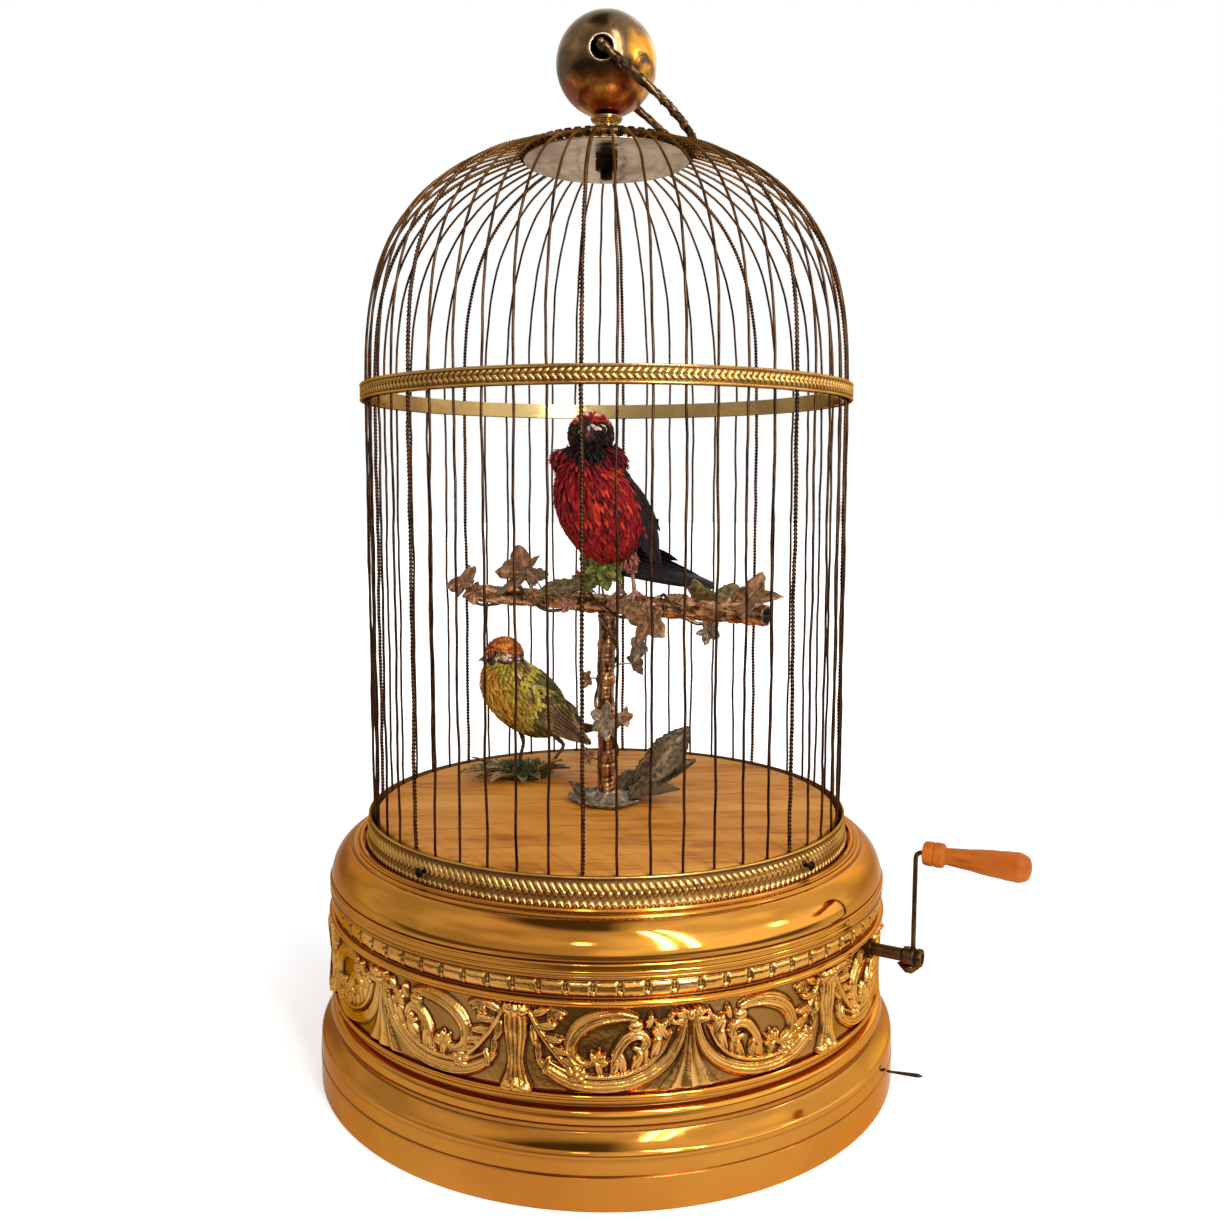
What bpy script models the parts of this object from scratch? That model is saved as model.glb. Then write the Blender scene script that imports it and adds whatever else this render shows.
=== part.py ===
"""Singing bird automaton: two birds in a domed wire cage on a turned brass base, played by a hand crank.

Metres, +Z up. The origin is the centre of the underside. The front faces -Y. Azimuths are degrees from
the front towards +X.
"""

import math

import bmesh
import bpy
from mathutils import Quaternion, Vector

# Clearances
GAP = 0.0003
SLOT_GAP = 0.0006

# Base: heights, and how far each face stands outside the circle of the cage wires
FOOT_HEIGHT = 0.0449
DRUM_HEIGHT = 0.0512
SHOULDER_HEIGHT = 0.0195
SEAT_DEPTH = 0.0038
SEAT_WIDTH = 0.017
DRUM_PROJECTION = 0.019
SHELL_WALL = 0.0014
BOTTOM_BOARD_THICKNESS = 0.004
STAGE_THICKNESS = 0.015
RING_STEPS = 40

# Mouldings, as (distance outside the drum's face, share of the piece's height), from the top down
FOOT_MOULDING = (
    (0.0017, 1.0),
    (0.0017, 0.96),
    (-0.0004, 0.94),
    (-0.0004, 0.87),
    (0.0032, 0.85),
    (0.0035, 0.78),
    (0.0029, 0.715),
    (0.0052, 0.63),
    (0.0076, 0.50),
    (0.0086, 0.325),
    (0.0086, 0.0),
)
FOOT_HOLLOW = ((0.0072, 0.0), (0.0072, 0.31), (-0.0018, 0.84), (-0.0018, 1.0))
DRUM_MOULDING = (
    (0.0024, 1.0),
    (0.0024, 0.94),
    (0.0008, 0.92),
    (0.0011, 0.78),
    (0.0023, 0.765),
    (0.0023, 0.71),
    (0.0, 0.70),
    (0.0, 0.0),
)
SHOULDER_MOULDING = (
    (-0.0121, 1.0),
    (-0.0075, 0.86),
    (-0.0044, 0.67),
    (-0.0015, 0.42),
    (0.0016, 0.14),
    (0.0025, 0.0),
)
SHOULDER_HOLLOW = ((0.0008, 0.0), (-0.0022, 0.28), (-0.0080, 0.66))

# Cage
CAGE_RADIUS = 0.115
STRAIGHT_HEIGHT = 0.1882
DOME_HEIGHT = 0.1294
DOME_SIDE_POWER = 2.345
DOME_TOP_POWER = 3.245
DOME_POINTS = 7
WIRE_RADIUS = 0.00065
POST_WIRE_RADIUS = 0.00095
FIRST_POST_AZIMUTH = -46.4
PANEL_WIRES = (6, 7, 6, 7, 6, 7, 6, 7)
LOWER_RING_HEIGHT = 0.0155
LOWER_RING_SPREAD = 0.0021
RING_WALL = 0.0012
RAIL_HEIGHT = 0.0029
BAND_RISE = 0.009
BAND_HEIGHT = 0.0077
BAND_WALL = 0.0011
RING_SCREW_AZIMUTHS = (-42.0, 48.0, 138.0, 228.0)
RING_SCREW_HEAD_RADIUS = 0.0023
RING_SCREW_HEAD_HEIGHT = 0.001
RING_SCREW_SHANK_RADIUS = 0.0009
RING_SCREW_GRIP = 0.006
SCREW_SLOT = 0.0007

# Crown and finial
CROWN_RADIUS = 0.0395
CROWN_BAR_RADIUS = 0.0016
CROWN_DISC_THICKNESS = 0.0012
CROWN_DISC_RISE = 0.0015
STEM_RADIUS = 0.003
NECK_RADIUS = 0.0045
NECK_HEIGHT = 0.0156
COLLAR_RADIUS = 0.0074
COLLAR_HEIGHT = 0.0024
STEM_FOOT_RADIUS = 0.0062
STEM_FOOT_HEIGHT = 0.0018
NUT_RADIUS = 0.0052
NUT_HEIGHT = 0.005
STEM_BELOW_NUT = 0.002
BALL_RADIUS = 0.0238
BALL_MOUTH_RADIUS = 0.0056
BALL_MOUTH_DEPTH = 0.004
STEM_IN_BALL = 0.003
BAIL_WIRE_RADIUS = 0.0021
BAIL_REACH = 0.0565
BAIL_CLEARANCE = 0.0047
BAIL_CORNER = 0.0042
BAIL_END = 0.024
BAIL_YAW = -5.4

# Perch and leaves
PLATE_RADIUS = 0.0185
PLATE_EDGE_HEIGHT = 0.0014
PLATE_HUB_HEIGHT = 0.0050
POST_RADIUS = 0.0045
POST_BORE_RADIUS = 0.002
BAR_HEIGHT = 0.1
BAR_RADIUS = 0.0049
BAR_HALF_LENGTH = 0.0905
BAR_TURN = -37.6
VINE_RADIUS = 0.0007
VINE_LIFT = 0.0006
VINE_PITCH = 0.0459
VINE_HALF_LENGTH = 0.086
POST_VINE_DROP = 0.078
POST_VINE_PITCH = 0.0624
LEAF_THICKNESS = 0.0006
MOUND_PLACE = (-0.046, 0.050)
MOUND_RADIUS = 0.012
MOUND_HEIGHT = 0.0045

# Crank: its axis is level and points straight out of the drum
CRANK_AZIMUTH = 60.0
CRANK_HEIGHT = 0.0784
CRANK_SHAFT_RADIUS = 0.002
CRANK_ARM_STANDOFF = 0.0225
CRANK_THROW = 0.0478
CRANK_ARM_RADIUS = 0.0011
CRANK_ARM_BEND = 0.003
SLEEVE_WALL = 0.00055
BOSS_RADIUS = 0.004
BOSS_LENGTH = 0.0085
BUSH_WALL = 0.0015
BUSH_FLANGE_RADIUS = 0.0062
BUSH_FLANGE_THICKNESS = 0.0014
BUSH_LENGTH = 0.012
CLAMP_SCREW_RADIUS = 0.001
CLAMP_HEAD_RADIUS = 0.0022
CLAMP_HEAD_HEIGHT = 0.0022
HANDLE_LENGTH = 0.0452
HANDLE_END_RADIUS = 0.0055
HANDLE_WAIST_RADIUS = 0.0038
HANDLE_SWELL_RADIUS = 0.0062
HANDLE_END_WALL = 0.004

# Movement: u runs along the crank, v across it
REAR_PLATE_U = -0.035
FRONT_PLATE_U = 0.045
PLATE_THICKNESS = 0.0025
PLATE_HALF_WIDTH = 0.062
PLATE_TOP_CLEARANCE = 0.006
PILLAR_RADIUS = 0.0022
LEVER_PIVOT = (0.012, 0.092)
PILLARS = (LEVER_PIVOT, (-0.056, 0.016), (0.056, 0.016), (0.052, 0.098))
GEAR_MODULE = 0.001
PINION_TEETH = 12
WHEEL_TEETH = 48
TOOTH_HEIGHT = 0.0009
TOOTH_WIDTH = 0.0011
GEAR_BACKLASH_ROOM = 0.0001
GEAR_U = 0.027
GEAR_THICKNESS = 0.004
WHEEL_DROP_ANGLE = 33.7
CAM_SHAFT_RADIUS = 0.002
SONG_CAM_U = 0.0095
SONG_CAM_RADIUS = 0.019
BIRD_CAM_RADIUS = 0.015
CAM_LIFT = 0.0012
CAM_THICKNESS = 0.003
CAM_HUB_RADIUS = 0.006
ECCENTRIC_U = -0.020
ECCENTRIC_RADIUS = 0.006
ECCENTRIC_THROW = 0.0025
ECCENTRIC_THICKNESS = 0.004
LEVER_HUB_RADIUS = 0.0042
LEVER_BAR = 0.003
LEVER_THICKNESS = 0.003
PISTON_V = 0.038
WHISTLE_RADIUS = 0.005
WHISTLE_BORE_RADIUS = 0.0032
WHISTLE_LOW = 0.048
WHISTLE_HIGH = 0.080
PISTON_ROD_RADIUS = 0.0012
PISTON_LENGTH = 0.008
PUSH_ROD_RADIUS = 0.0012
PUSH_ROD_TRAVEL = 0.0018
BELLOWS_HINGE = (0.052, 0.030)
BELLOWS_DEPTH = 0.044
BELLOWS_HALF_WIDTH = 0.026
BELLOWS_ANGLE = 12.0
BELLOWS_BOARD = 0.0025

# Start and stop lever
STOP_AZIMUTH = 73.0
STOP_PIVOT_INSET = 0.022
STOP_LEVER_STANDOFF = 0.0235
STOP_ROD_RADIUS = 0.0006
STOP_TIP_RADIUS = 0.0010
STOP_HUB_RADIUS = 0.0032
STOP_HUB_HEIGHT = 0.003
STOP_PIN_RADIUS = 0.0012
STOP_PIN_HEIGHT = 0.008
STOP_SWING = 4.0

# Birds, each in its own frame: x forwards, y to its left, z up from its perch
UPPER_BIRD = {
    "heading": -45.0,
    "look": -6.0,
    "body_centre": (0.0185, 0.0400),
    "body_pitch": 60.0,
    "body_half_sizes": (0.0305, 0.0195, 0.0195),
    "head_centre": (0.0255, 0.0765),
    "head_radius": 0.0112,
    "wing_centre": (0.0030, 0.0360),
    "wing_pitch": 52.0,
    "wing_half_sizes": (0.0255, 0.0035, 0.0100),
    "wing_spread": 0.0125,
    "tail_root": (-0.0018, 0.0240),
    "tail_tip": (-0.0570, 0.0040),
    "tail_width": 0.012,
    "leg_spread": 0.0048,
    "leg_top": 0.0240,
    "beak_length": 0.0065,
    "beak_radius": 0.0026,
}
LOWER_BIRD = {
    "heading": -75.0,
    "look": -62.0,
    "body_centre": (-0.0015, 0.0385),
    "body_pitch": 40.0,
    "body_half_sizes": (0.0265, 0.0150, 0.0170),
    "head_centre": (0.0100, 0.0625),
    "head_radius": 0.0103,
    "wing_centre": (-0.013, 0.0330),
    "wing_pitch": 36.0,
    "wing_half_sizes": (0.0240, 0.0030, 0.0095),
    "wing_spread": 0.0130,
    "tail_root": (-0.0215, 0.0245),
    "tail_tip": (-0.0440, 0.0215),
    "tail_width": 0.009,
    "leg_spread": 0.0042,
    "leg_top": 0.0290,
    "beak_length": 0.0060,
    "beak_radius": 0.0022,
}
UPPER_BIRD_ALONG_BAR = 0.0135
LEG_RADIUS = 0.0008
TOE_REACH = 0.0045
TAIL_THICKNESS = 0.0022

# Heights and radii that follow from the sizes above
DRUM_FACE = CAGE_RADIUS + DRUM_PROJECTION
DRUM_BASE = FOOT_HEIGHT + GAP
SHOULDER_BASE = DRUM_BASE + DRUM_HEIGHT + GAP
SHOULDER_TOP = SHOULDER_BASE + SHOULDER_HEIGHT
SEAT = SHOULDER_TOP - SEAT_DEPTH
CAGE_BASE = SEAT + GAP
STAGE_TOP = CAGE_BASE + STAGE_THICKNESS
STAGE_RADIUS = CAGE_RADIUS - POST_WIRE_RADIUS - 2 * GAP
SPRING_LINE = STAGE_TOP + STRAIGHT_HEIGHT
RING_BORE = (CAGE_RADIUS + POST_WIRE_RADIUS + GAP) / math.cos(math.pi / RING_STEPS)
RING_TOP_FACE = RING_BORE + RING_WALL
RING_BOTTOM_FACE = RING_TOP_FACE + LOWER_RING_SPREAD
BAND_BASE = SPRING_LINE + BAND_RISE
BAR_LEVEL = STAGE_TOP + BAR_HEIGHT
MOVEMENT_FLOOR = BOTTOM_BOARD_THICKNESS + GAP
SLEEVE_BORE = CRANK_SHAFT_RADIUS + GAP
SLEEVE_RADIUS = SLEEVE_BORE + SLEEVE_WALL
HANDLE_LEVEL = CRANK_HEIGHT + CRANK_THROW
CRANK_ARM_REACH = DRUM_FACE + CRANK_ARM_STANDOFF
STOP_PIVOT_RADIUS = DRUM_FACE - STOP_PIVOT_INSET
STOP_LEVER_REACH = DRUM_FACE + STOP_LEVER_STANDOFF
BAIL_HALF_WIDTH = BALL_RADIUS + BAIL_CLEARANCE
CAM_DISTANCE = GEAR_MODULE * (PINION_TEETH + WHEEL_TEETH) / 2 + GEAR_BACKLASH_ROOM
CAM_V = -CAM_DISTANCE * math.cos(math.radians(WHEEL_DROP_ANGLE))
CAM_Z = CRANK_HEIGHT - CAM_DISTANCE * math.sin(math.radians(WHEEL_DROP_ANGLE))

PARTS = bpy.data.collections.new("singing_bird_automaton")
CUTTERS = bpy.data.collections.new("cutters")


def clear_scene():
    for obj in list(bpy.data.objects):
        bpy.data.objects.remove(obj, do_unlink=True)
    bpy.context.scene.collection.children.link(PARTS)
    bpy.context.scene.collection.children.link(CUTTERS)


def finish(name, colour, roughness, metallic):
    """A plain Principled finish."""
    material = bpy.data.materials.new(name)
    material.use_nodes = True
    shader = material.node_tree.nodes["Principled BSDF"]
    shader.inputs["Base Color"].default_value = (*colour, 1.0)
    shader.inputs["Roughness"].default_value = roughness
    shader.inputs["Metallic"].default_value = metallic
    return material


def placed(obj, material, parent=None):
    """Gives the object its finish, its parent and its place among the parts."""
    PARTS.objects.link(obj)
    obj.data.materials.append(material)
    obj.parent = parent
    return obj


def as_cutter(obj):
    """Moves a helper out of the parts, so that only the shape it cuts or joins shows."""
    if obj.name in PARTS.objects:
        PARTS.objects.unlink(obj)
    CUTTERS.objects.link(obj)
    obj.hide_render = True
    obj.display_type = "WIRE"
    return obj


def boolean(obj, helper, operation, solver="EXACT"):
    modifier = obj.modifiers.new(helper.name, "BOOLEAN")
    modifier.operation = operation
    modifier.solver = solver
    modifier.object = as_cutter(helper)


def cut(obj, *helpers):
    for helper in helpers:
        boolean(obj, helper, "DIFFERENCE")


def join(obj, *helpers):
    for helper in helpers:
        boolean(obj, helper, "UNION")


def frame(name, location, turn=0.0, pitch=0.0, parent=None):
    """An empty whose X axis is turned about Z, then pitched about its own Y, both in degrees."""
    empty = bpy.data.objects.new(name, None)
    CUTTERS.objects.link(empty)
    empty.hide_render = True
    empty.location = location
    empty.rotation_euler = (0.0, math.radians(pitch), math.radians(turn))
    empty.parent = parent
    return empty


def at_azimuth(azimuth, radius, height=0.0):
    angle = math.radians(azimuth)
    return Vector((radius * math.sin(angle), -radius * math.cos(angle), height))


def turned(name, profile, material, steps, parent=None, loop=True):
    """A solid of revolution about Z. The profile, of (radius, height), runs down the outside first."""
    mesh = bpy.data.meshes.new(name)
    count = len(profile)
    edges = [(i, (i + 1) % count) for i in range(count if loop else count - 1)]
    mesh.from_pydata([(radius, 0.0, height) for radius, height in profile], edges, [])
    obj = placed(bpy.data.objects.new(name, mesh), material, parent)
    screw = obj.modifiers.new("turn", "SCREW")
    screw.steps = screw.render_steps = steps
    screw.use_merge_vertices = True
    screw.merge_threshold = 0.00001
    return obj


def tube(name, points, radius, material, parent=None, resolution=1, cyclic=False, radii=None):
    """A round bar along straight runs between the points."""
    curve = bpy.data.curves.new(name, "CURVE")
    curve.dimensions = "3D"
    curve.bevel_depth = radius
    curve.bevel_resolution = resolution
    curve.use_fill_caps = not cyclic
    spline = curve.splines.new("POLY")
    spline.points.add(len(points) - 1)
    for index, point in enumerate(points):
        spline.points[index].co = (*point, 1.0)
        if radii:
            spline.points[index].radius = radii[index] / radius
    spline.use_cyclic_u = cyclic
    return placed(bpy.data.objects.new(name, curve), material, parent)


def plate(name, outlines, thickness, material, parent=None):
    """A flat piece: its first outline filled, less the others, centred on its own XY plane."""
    curve = bpy.data.curves.new(name, "CURVE")
    curve.dimensions = "2D"
    curve.fill_mode = "BOTH"
    curve.extrude = thickness / 2
    for outline in outlines:
        spline = curve.splines.new("POLY")
        spline.points.add(len(outline) - 1)
        for index, (x, y) in enumerate(outline):
            spline.points[index].co = (x, y, 0.0, 1.0)
        spline.use_cyclic_u = True
    return placed(bpy.data.objects.new(name, curve), material, parent)


def solid(obj):
    """The curve made a mesh object with welded caps, so that it can be cut, joined or be a cutter."""
    bpy.context.view_layer.update()
    evaluated = obj.evaluated_get(bpy.context.evaluated_depsgraph_get())
    mesh = bpy.data.meshes.new_from_object(evaluated)
    name, matrix = obj.name, obj.matrix_world.copy()
    bpy.data.objects.remove(obj, do_unlink=True)
    shape = bmesh.new()
    shape.from_mesh(mesh)
    bmesh.ops.remove_doubles(shape, verts=shape.verts, dist=0.000005)
    bmesh.ops.recalc_face_normals(shape, faces=shape.faces)
    shape.to_mesh(mesh)
    shape.free()
    made = bpy.data.objects.new(name, mesh)
    PARTS.objects.link(made)
    made.matrix_world = matrix
    return made


def block(name, low, high, material, parent=None):
    shape = bmesh.new()
    bmesh.ops.create_cube(shape, size=1.0)
    sides = Vector(high) - Vector(low)
    bmesh.ops.scale(shape, vec=sides, verts=shape.verts)
    bmesh.ops.translate(shape, vec=(Vector(low) + Vector(high)) / 2, verts=shape.verts)
    mesh = bpy.data.meshes.new(name)
    shape.to_mesh(mesh)
    shape.free()
    return placed(bpy.data.objects.new(name, mesh), material, parent)


def rod(name, radius, low, high, material, parent=None, sides=12):
    """A cylinder on its own Z axis from height low to height high."""
    shape = bmesh.new()
    bmesh.ops.create_cone(
        shape, cap_ends=True, segments=sides, radius1=radius, radius2=radius, depth=high - low
    )
    bmesh.ops.translate(shape, vec=(0.0, 0.0, (low + high) / 2), verts=shape.verts)
    mesh = bpy.data.meshes.new(name)
    shape.to_mesh(mesh)
    shape.free()
    return placed(bpy.data.objects.new(name, mesh), material, parent)


def ellipsoid(name, half_sizes, material, parent=None, segments=14, rings=8):
    shape = bmesh.new()
    bmesh.ops.create_uvsphere(shape, u_segments=segments, v_segments=rings, radius=1.0)
    bmesh.ops.scale(shape, vec=half_sizes, verts=shape.verts)
    mesh = bpy.data.meshes.new(name)
    shape.to_mesh(mesh)
    shape.free()
    return placed(bpy.data.objects.new(name, mesh), material, parent)


def circle(radius, sides, centre=(0.0, 0.0)):
    return [
        (
            centre[0] + radius * math.cos(2 * math.pi * i / sides),
            centre[1] + radius * math.sin(2 * math.pi * i / sides),
        )
        for i in range(sides)
    ]


def lay_along_crank(obj, u, v=0.0, z=0.0):
    """Turns a piece made about Z so that its axis runs along u."""
    obj.location = (u, v, z)
    obj.rotation_euler = (0.0, math.pi / 2, 0.0)
    return obj


def moulded(moulding, base, height):
    return [(DRUM_FACE + out, base + share * height) for out, share in moulding]


def build_base(brass, board, movement):
    foot = turned(
        "foot_shell", moulded(FOOT_MOULDING + FOOT_HOLLOW, 0.0, FOOT_HEIGHT), brass, RING_STEPS
    )
    drum_hollow = [
        (DRUM_FACE - SHELL_WALL, DRUM_BASE),
        (DRUM_FACE - SHELL_WALL, DRUM_BASE + DRUM_HEIGHT),
    ]
    drum = turned(
        "drum_shell", moulded(DRUM_MOULDING, DRUM_BASE, DRUM_HEIGHT) + drum_hollow, brass, RING_STEPS
    )
    lip = RING_BOTTOM_FACE + 2 * GAP
    seat = [
        (CAGE_RADIUS - SEAT_WIDTH, SEAT - SHELL_WALL),
        (CAGE_RADIUS - SEAT_WIDTH, SEAT),
        (lip, SEAT),
        (lip, SHOULDER_TOP),
    ]
    shoulder = moulded(SHOULDER_MOULDING + SHOULDER_HOLLOW, SHOULDER_BASE, SHOULDER_HEIGHT)
    turned("shoulder_shell", shoulder + seat, brass, RING_STEPS)

    board_radius = DRUM_FACE + FOOT_HOLLOW[0][0] - GAP
    board_edge = [(0.0, BOTTOM_BOARD_THICKNESS), (board_radius, BOTTOM_BOARD_THICKNESS)]
    board_edge += [(board_radius, 0.0), (0.0, 0.0)]
    turned("bottom_board", board_edge, board, RING_STEPS, loop=False)

    way = SLEEVE_RADIUS + BUSH_WALL + 2 * GAP
    wall = 10 * SHELL_WALL
    shaft_way = rod("shaft_way", way, DRUM_FACE - wall, DRUM_FACE + wall, brass, movement, 16)
    lay_along_crank(shaft_way, 0.0, z=CRANK_HEIGHT)
    cut(drum, shaft_way)
    return foot


def build_stage(veneer):
    edge = [
        (STAGE_RADIUS, STAGE_TOP),
        (STAGE_RADIUS, CAGE_BASE),
        (POST_BORE_RADIUS, CAGE_BASE),
        (POST_BORE_RADIUS, STAGE_TOP),
    ]
    return turned("stage_board", edge, veneer, RING_STEPS)


def build_lower_ring(gilt, steel, stage):
    top = CAGE_BASE + LOWER_RING_HEIGHT
    face = [
        (RING_TOP_FACE + 0.0004, top),
        (RING_TOP_FACE + 0.0004, top - RAIL_HEIGHT),
        (RING_TOP_FACE, top - RAIL_HEIGHT),
        (RING_BOTTOM_FACE - 0.0004, CAGE_BASE + RAIL_HEIGHT),
        (RING_BOTTOM_FACE, CAGE_BASE + RAIL_HEIGHT),
        (RING_BOTTOM_FACE, CAGE_BASE),
        (RING_BORE, CAGE_BASE),
        (RING_BORE, top),
    ]
    ring = turned("lower_ring", face, gilt, RING_STEPS)
    level = CAGE_BASE + LOWER_RING_HEIGHT / 2
    outside = RING_BOTTOM_FACE + GAP
    inside = STAGE_RADIUS - RING_SCREW_GRIP
    for number, azimuth in enumerate(RING_SCREW_AZIMUTHS, 1):
        holder = frame(f"ring_screw_axis_{number}", (0.0, 0.0, level), azimuth - 90.0)
        hole = rod(f"ring_hole_{number}", RING_SCREW_SHANK_RADIUS + GAP, inside - GAP, outside, steel)
        hole.parent = holder
        lay_along_crank(hole, 0.0)
        cut(ring, hole)
        socket = rod(
            f"stage_hole_{number}", RING_SCREW_SHANK_RADIUS + GAP, inside - GAP, outside, steel, holder
        )
        lay_along_crank(socket, 0.0)
        cut(stage, socket)
        profile = [
            (0.0, outside + RING_SCREW_HEAD_HEIGHT),
            (RING_SCREW_HEAD_RADIUS * 0.7, outside + RING_SCREW_HEAD_HEIGHT),
            (RING_SCREW_HEAD_RADIUS, outside + RING_SCREW_HEAD_HEIGHT * 0.4),
            (RING_SCREW_HEAD_RADIUS, outside),
            (RING_SCREW_SHANK_RADIUS, outside),
            (RING_SCREW_SHANK_RADIUS, inside),
            (0.0, inside),
        ]
        screw = turned(f"ring_screw_{number}", profile, steel, 12, holder, loop=False)
        lay_along_crank(screw, 0.0)
        half = RING_SCREW_HEAD_RADIUS + GAP
        slot = block(
            f"screw_slot_{number}",
            (outside + RING_SCREW_HEAD_HEIGHT / 2, -half, -SCREW_SLOT / 2),
            (outside + 2 * RING_SCREW_HEAD_HEIGHT, half, SCREW_SLOT / 2),
            steel,
            holder,
        )
        cut(screw, slot)


def dome_point(share):
    """Radius and height on the wire's dome, from the spring line (0) to the crown bar (1).

    The curve is a superellipse: the radius follows the cosine and the height the sine of one angle,
    each raised to two over its own power.
    """
    last = math.acos((CROWN_RADIUS / CAGE_RADIUS) ** (DOME_SIDE_POWER / 2))
    angle = last * share
    radius = CAGE_RADIUS * math.cos(angle) ** (2 / DOME_SIDE_POWER)
    height = SPRING_LINE + DOME_HEIGHT * math.sin(angle) ** (2 / DOME_TOP_POWER)
    return radius, height


CROWN_LEVEL = dome_point(1.0)[1]
DISC_LEVEL = CROWN_LEVEL - CROWN_BAR_RADIUS - GAP
STEM_FOOT = DISC_LEVEL + CROWN_DISC_RISE + GAP
COLLAR_LEVEL = STEM_FOOT + STEM_FOOT_HEIGHT + NECK_HEIGHT
BALL_CENTRE = COLLAR_LEVEL + GAP + BALL_RADIUS


def wire_path(azimuth, is_post):
    steps = [(CAGE_RADIUS, CAGE_BASE)]
    steps += [dome_point(i / DOME_POINTS) for i in range(DOME_POINTS + 1)]
    if is_post:
        spoke_end = COLLAR_LEVEL - NECK_HEIGHT / 3
        steps.append((NECK_RADIUS + GAP + POST_WIRE_RADIUS, spoke_end))
    return [at_azimuth(azimuth, radius, height) for radius, height in steps]


def build_cage(bronze):
    """Eight panels. Each is a twisted post, the plain wires after it and an arc of the crown bar."""
    pitch = 360.0 / sum(PANEL_WIRES)
    azimuth = FIRST_POST_AZIMUTH
    end_gap = math.degrees(GAP / CROWN_RADIUS)
    for number, count in enumerate(PANEL_WIRES, 1):
        low = azimuth - pitch / 2 + end_gap
        high = low + count * pitch - 2 * end_gap
        arc = [
            at_azimuth(low + (high - low) * i / count, CROWN_RADIUS, CROWN_LEVEL)
            for i in range(count + 1)
        ]
        panel = solid(tube(f"cage_panel_{number}", arc, CROWN_BAR_RADIUS, bronze))
        for index in range(count):
            radius = POST_WIRE_RADIUS if index == 0 else WIRE_RADIUS
            path = wire_path(azimuth + index * pitch, index == 0)
            wire = tube(f"wire_{number}_{index}", path, radius, bronze, resolution=0)
            join(panel, solid(wire))
        azimuth += count * pitch


def build_bands(gilt, brass):
    def strip(name, inner, outer, material):
        top = BAND_BASE + BAND_HEIGHT
        corners = [(outer, top), (outer, BAND_BASE), (inner, BAND_BASE), (inner, top)]
        turned(name, corners, material, RING_STEPS)

    strip("band_outer", RING_BORE, RING_BORE + BAND_WALL, gilt)
    strip("band_inner", STAGE_RADIUS - BAND_WALL, STAGE_RADIUS, brass)


def build_crown(silvered, brass, steel):
    hole = STEM_RADIUS + GAP
    under = DISC_LEVEL - CROWN_DISC_THICKNESS
    disc = [
        (STEM_FOOT_RADIUS, DISC_LEVEL + CROWN_DISC_RISE),
        (CROWN_RADIUS - CROWN_BAR_RADIUS, DISC_LEVEL),
        (CROWN_RADIUS, DISC_LEVEL),
        (CROWN_RADIUS, under),
        (CROWN_RADIUS - CROWN_BAR_RADIUS, under),
        (STEM_FOOT_RADIUS, under + CROWN_DISC_RISE),
        (hole, under + CROWN_DISC_RISE),
        (hole, DISC_LEVEL + CROWN_DISC_RISE),
    ]
    turned("crown_disc", disc, silvered, 24)
    nut_top = under + CROWN_DISC_RISE - GAP
    nut = plate("finial_nut", [circle(NUT_RADIUS, 6), circle(hole, 16)], NUT_HEIGHT, steel)
    nut.location.z = nut_top - NUT_HEIGHT / 2
    stem_end = nut_top - NUT_HEIGHT - STEM_BELOW_NUT
    neck_top = COLLAR_LEVEL - COLLAR_HEIGHT
    stem = [
        (0.0, COLLAR_LEVEL + STEM_IN_BALL),
        (STEM_RADIUS, COLLAR_LEVEL + STEM_IN_BALL),
        (STEM_RADIUS, COLLAR_LEVEL),
        (COLLAR_RADIUS, COLLAR_LEVEL - GAP),
        (COLLAR_RADIUS, neck_top + COLLAR_HEIGHT / 3),
        (NECK_RADIUS, neck_top),
        (NECK_RADIUS * 0.8, COLLAR_LEVEL - NECK_HEIGHT * 0.55),
        (NECK_RADIUS, STEM_FOOT + STEM_FOOT_HEIGHT),
        (STEM_FOOT_RADIUS, STEM_FOOT + STEM_FOOT_HEIGHT),
        (STEM_FOOT_RADIUS, STEM_FOOT),
        (STEM_RADIUS, STEM_FOOT),
        (STEM_RADIUS, stem_end),
        (0.0, stem_end),
    ]
    turned("finial_stem", stem, brass, 16, loop=False)
    build_ball(brass)


def build_ball(brass):
    """A ball with a hole below for the stem and a bore, countersunk at both mouths, for the bail."""
    hole = STEM_RADIUS + GAP
    count = 9
    last = math.pi - math.asin(hole / BALL_RADIUS)
    profile = [
        (BALL_RADIUS * math.sin(last * i / count), BALL_RADIUS * math.cos(last * i / count))
        for i in range(count + 1)
    ]
    top_of_hole = STEM_IN_BALL + 2 * GAP - BALL_RADIUS
    profile += [(hole, top_of_hole), (0.0, top_of_hole)]
    profile[0] = (0.0, BALL_RADIUS)
    centre = frame("bail_axis", (0.0, 0.0, BALL_CENTRE), BAIL_YAW)
    ball = turned("finial_ball", profile, brass, 20, centre, loop=False)
    bore = (BAIL_WIRE_RADIUS + GAP) / math.cos(math.pi / 16)
    outside = BALL_RADIUS * 1.1
    neck = BALL_RADIUS - BALL_MOUTH_DEPTH
    bore_profile = [
        (0.0, outside),
        (BALL_MOUTH_RADIUS, outside),
        (BALL_MOUTH_RADIUS, BALL_RADIUS * 0.96),
        (bore, neck),
        (bore, -neck),
        (BALL_MOUTH_RADIUS, -BALL_RADIUS * 0.96),
        (BALL_MOUTH_RADIUS, -outside),
        (0.0, -outside),
    ]
    way = turned("ball_bore", bore_profile, brass, 16, centre, loop=False)
    way.rotation_euler = (math.pi / 2, 0.0, 0.0)
    cut(ball, way)
    build_bail(brass, centre)


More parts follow.
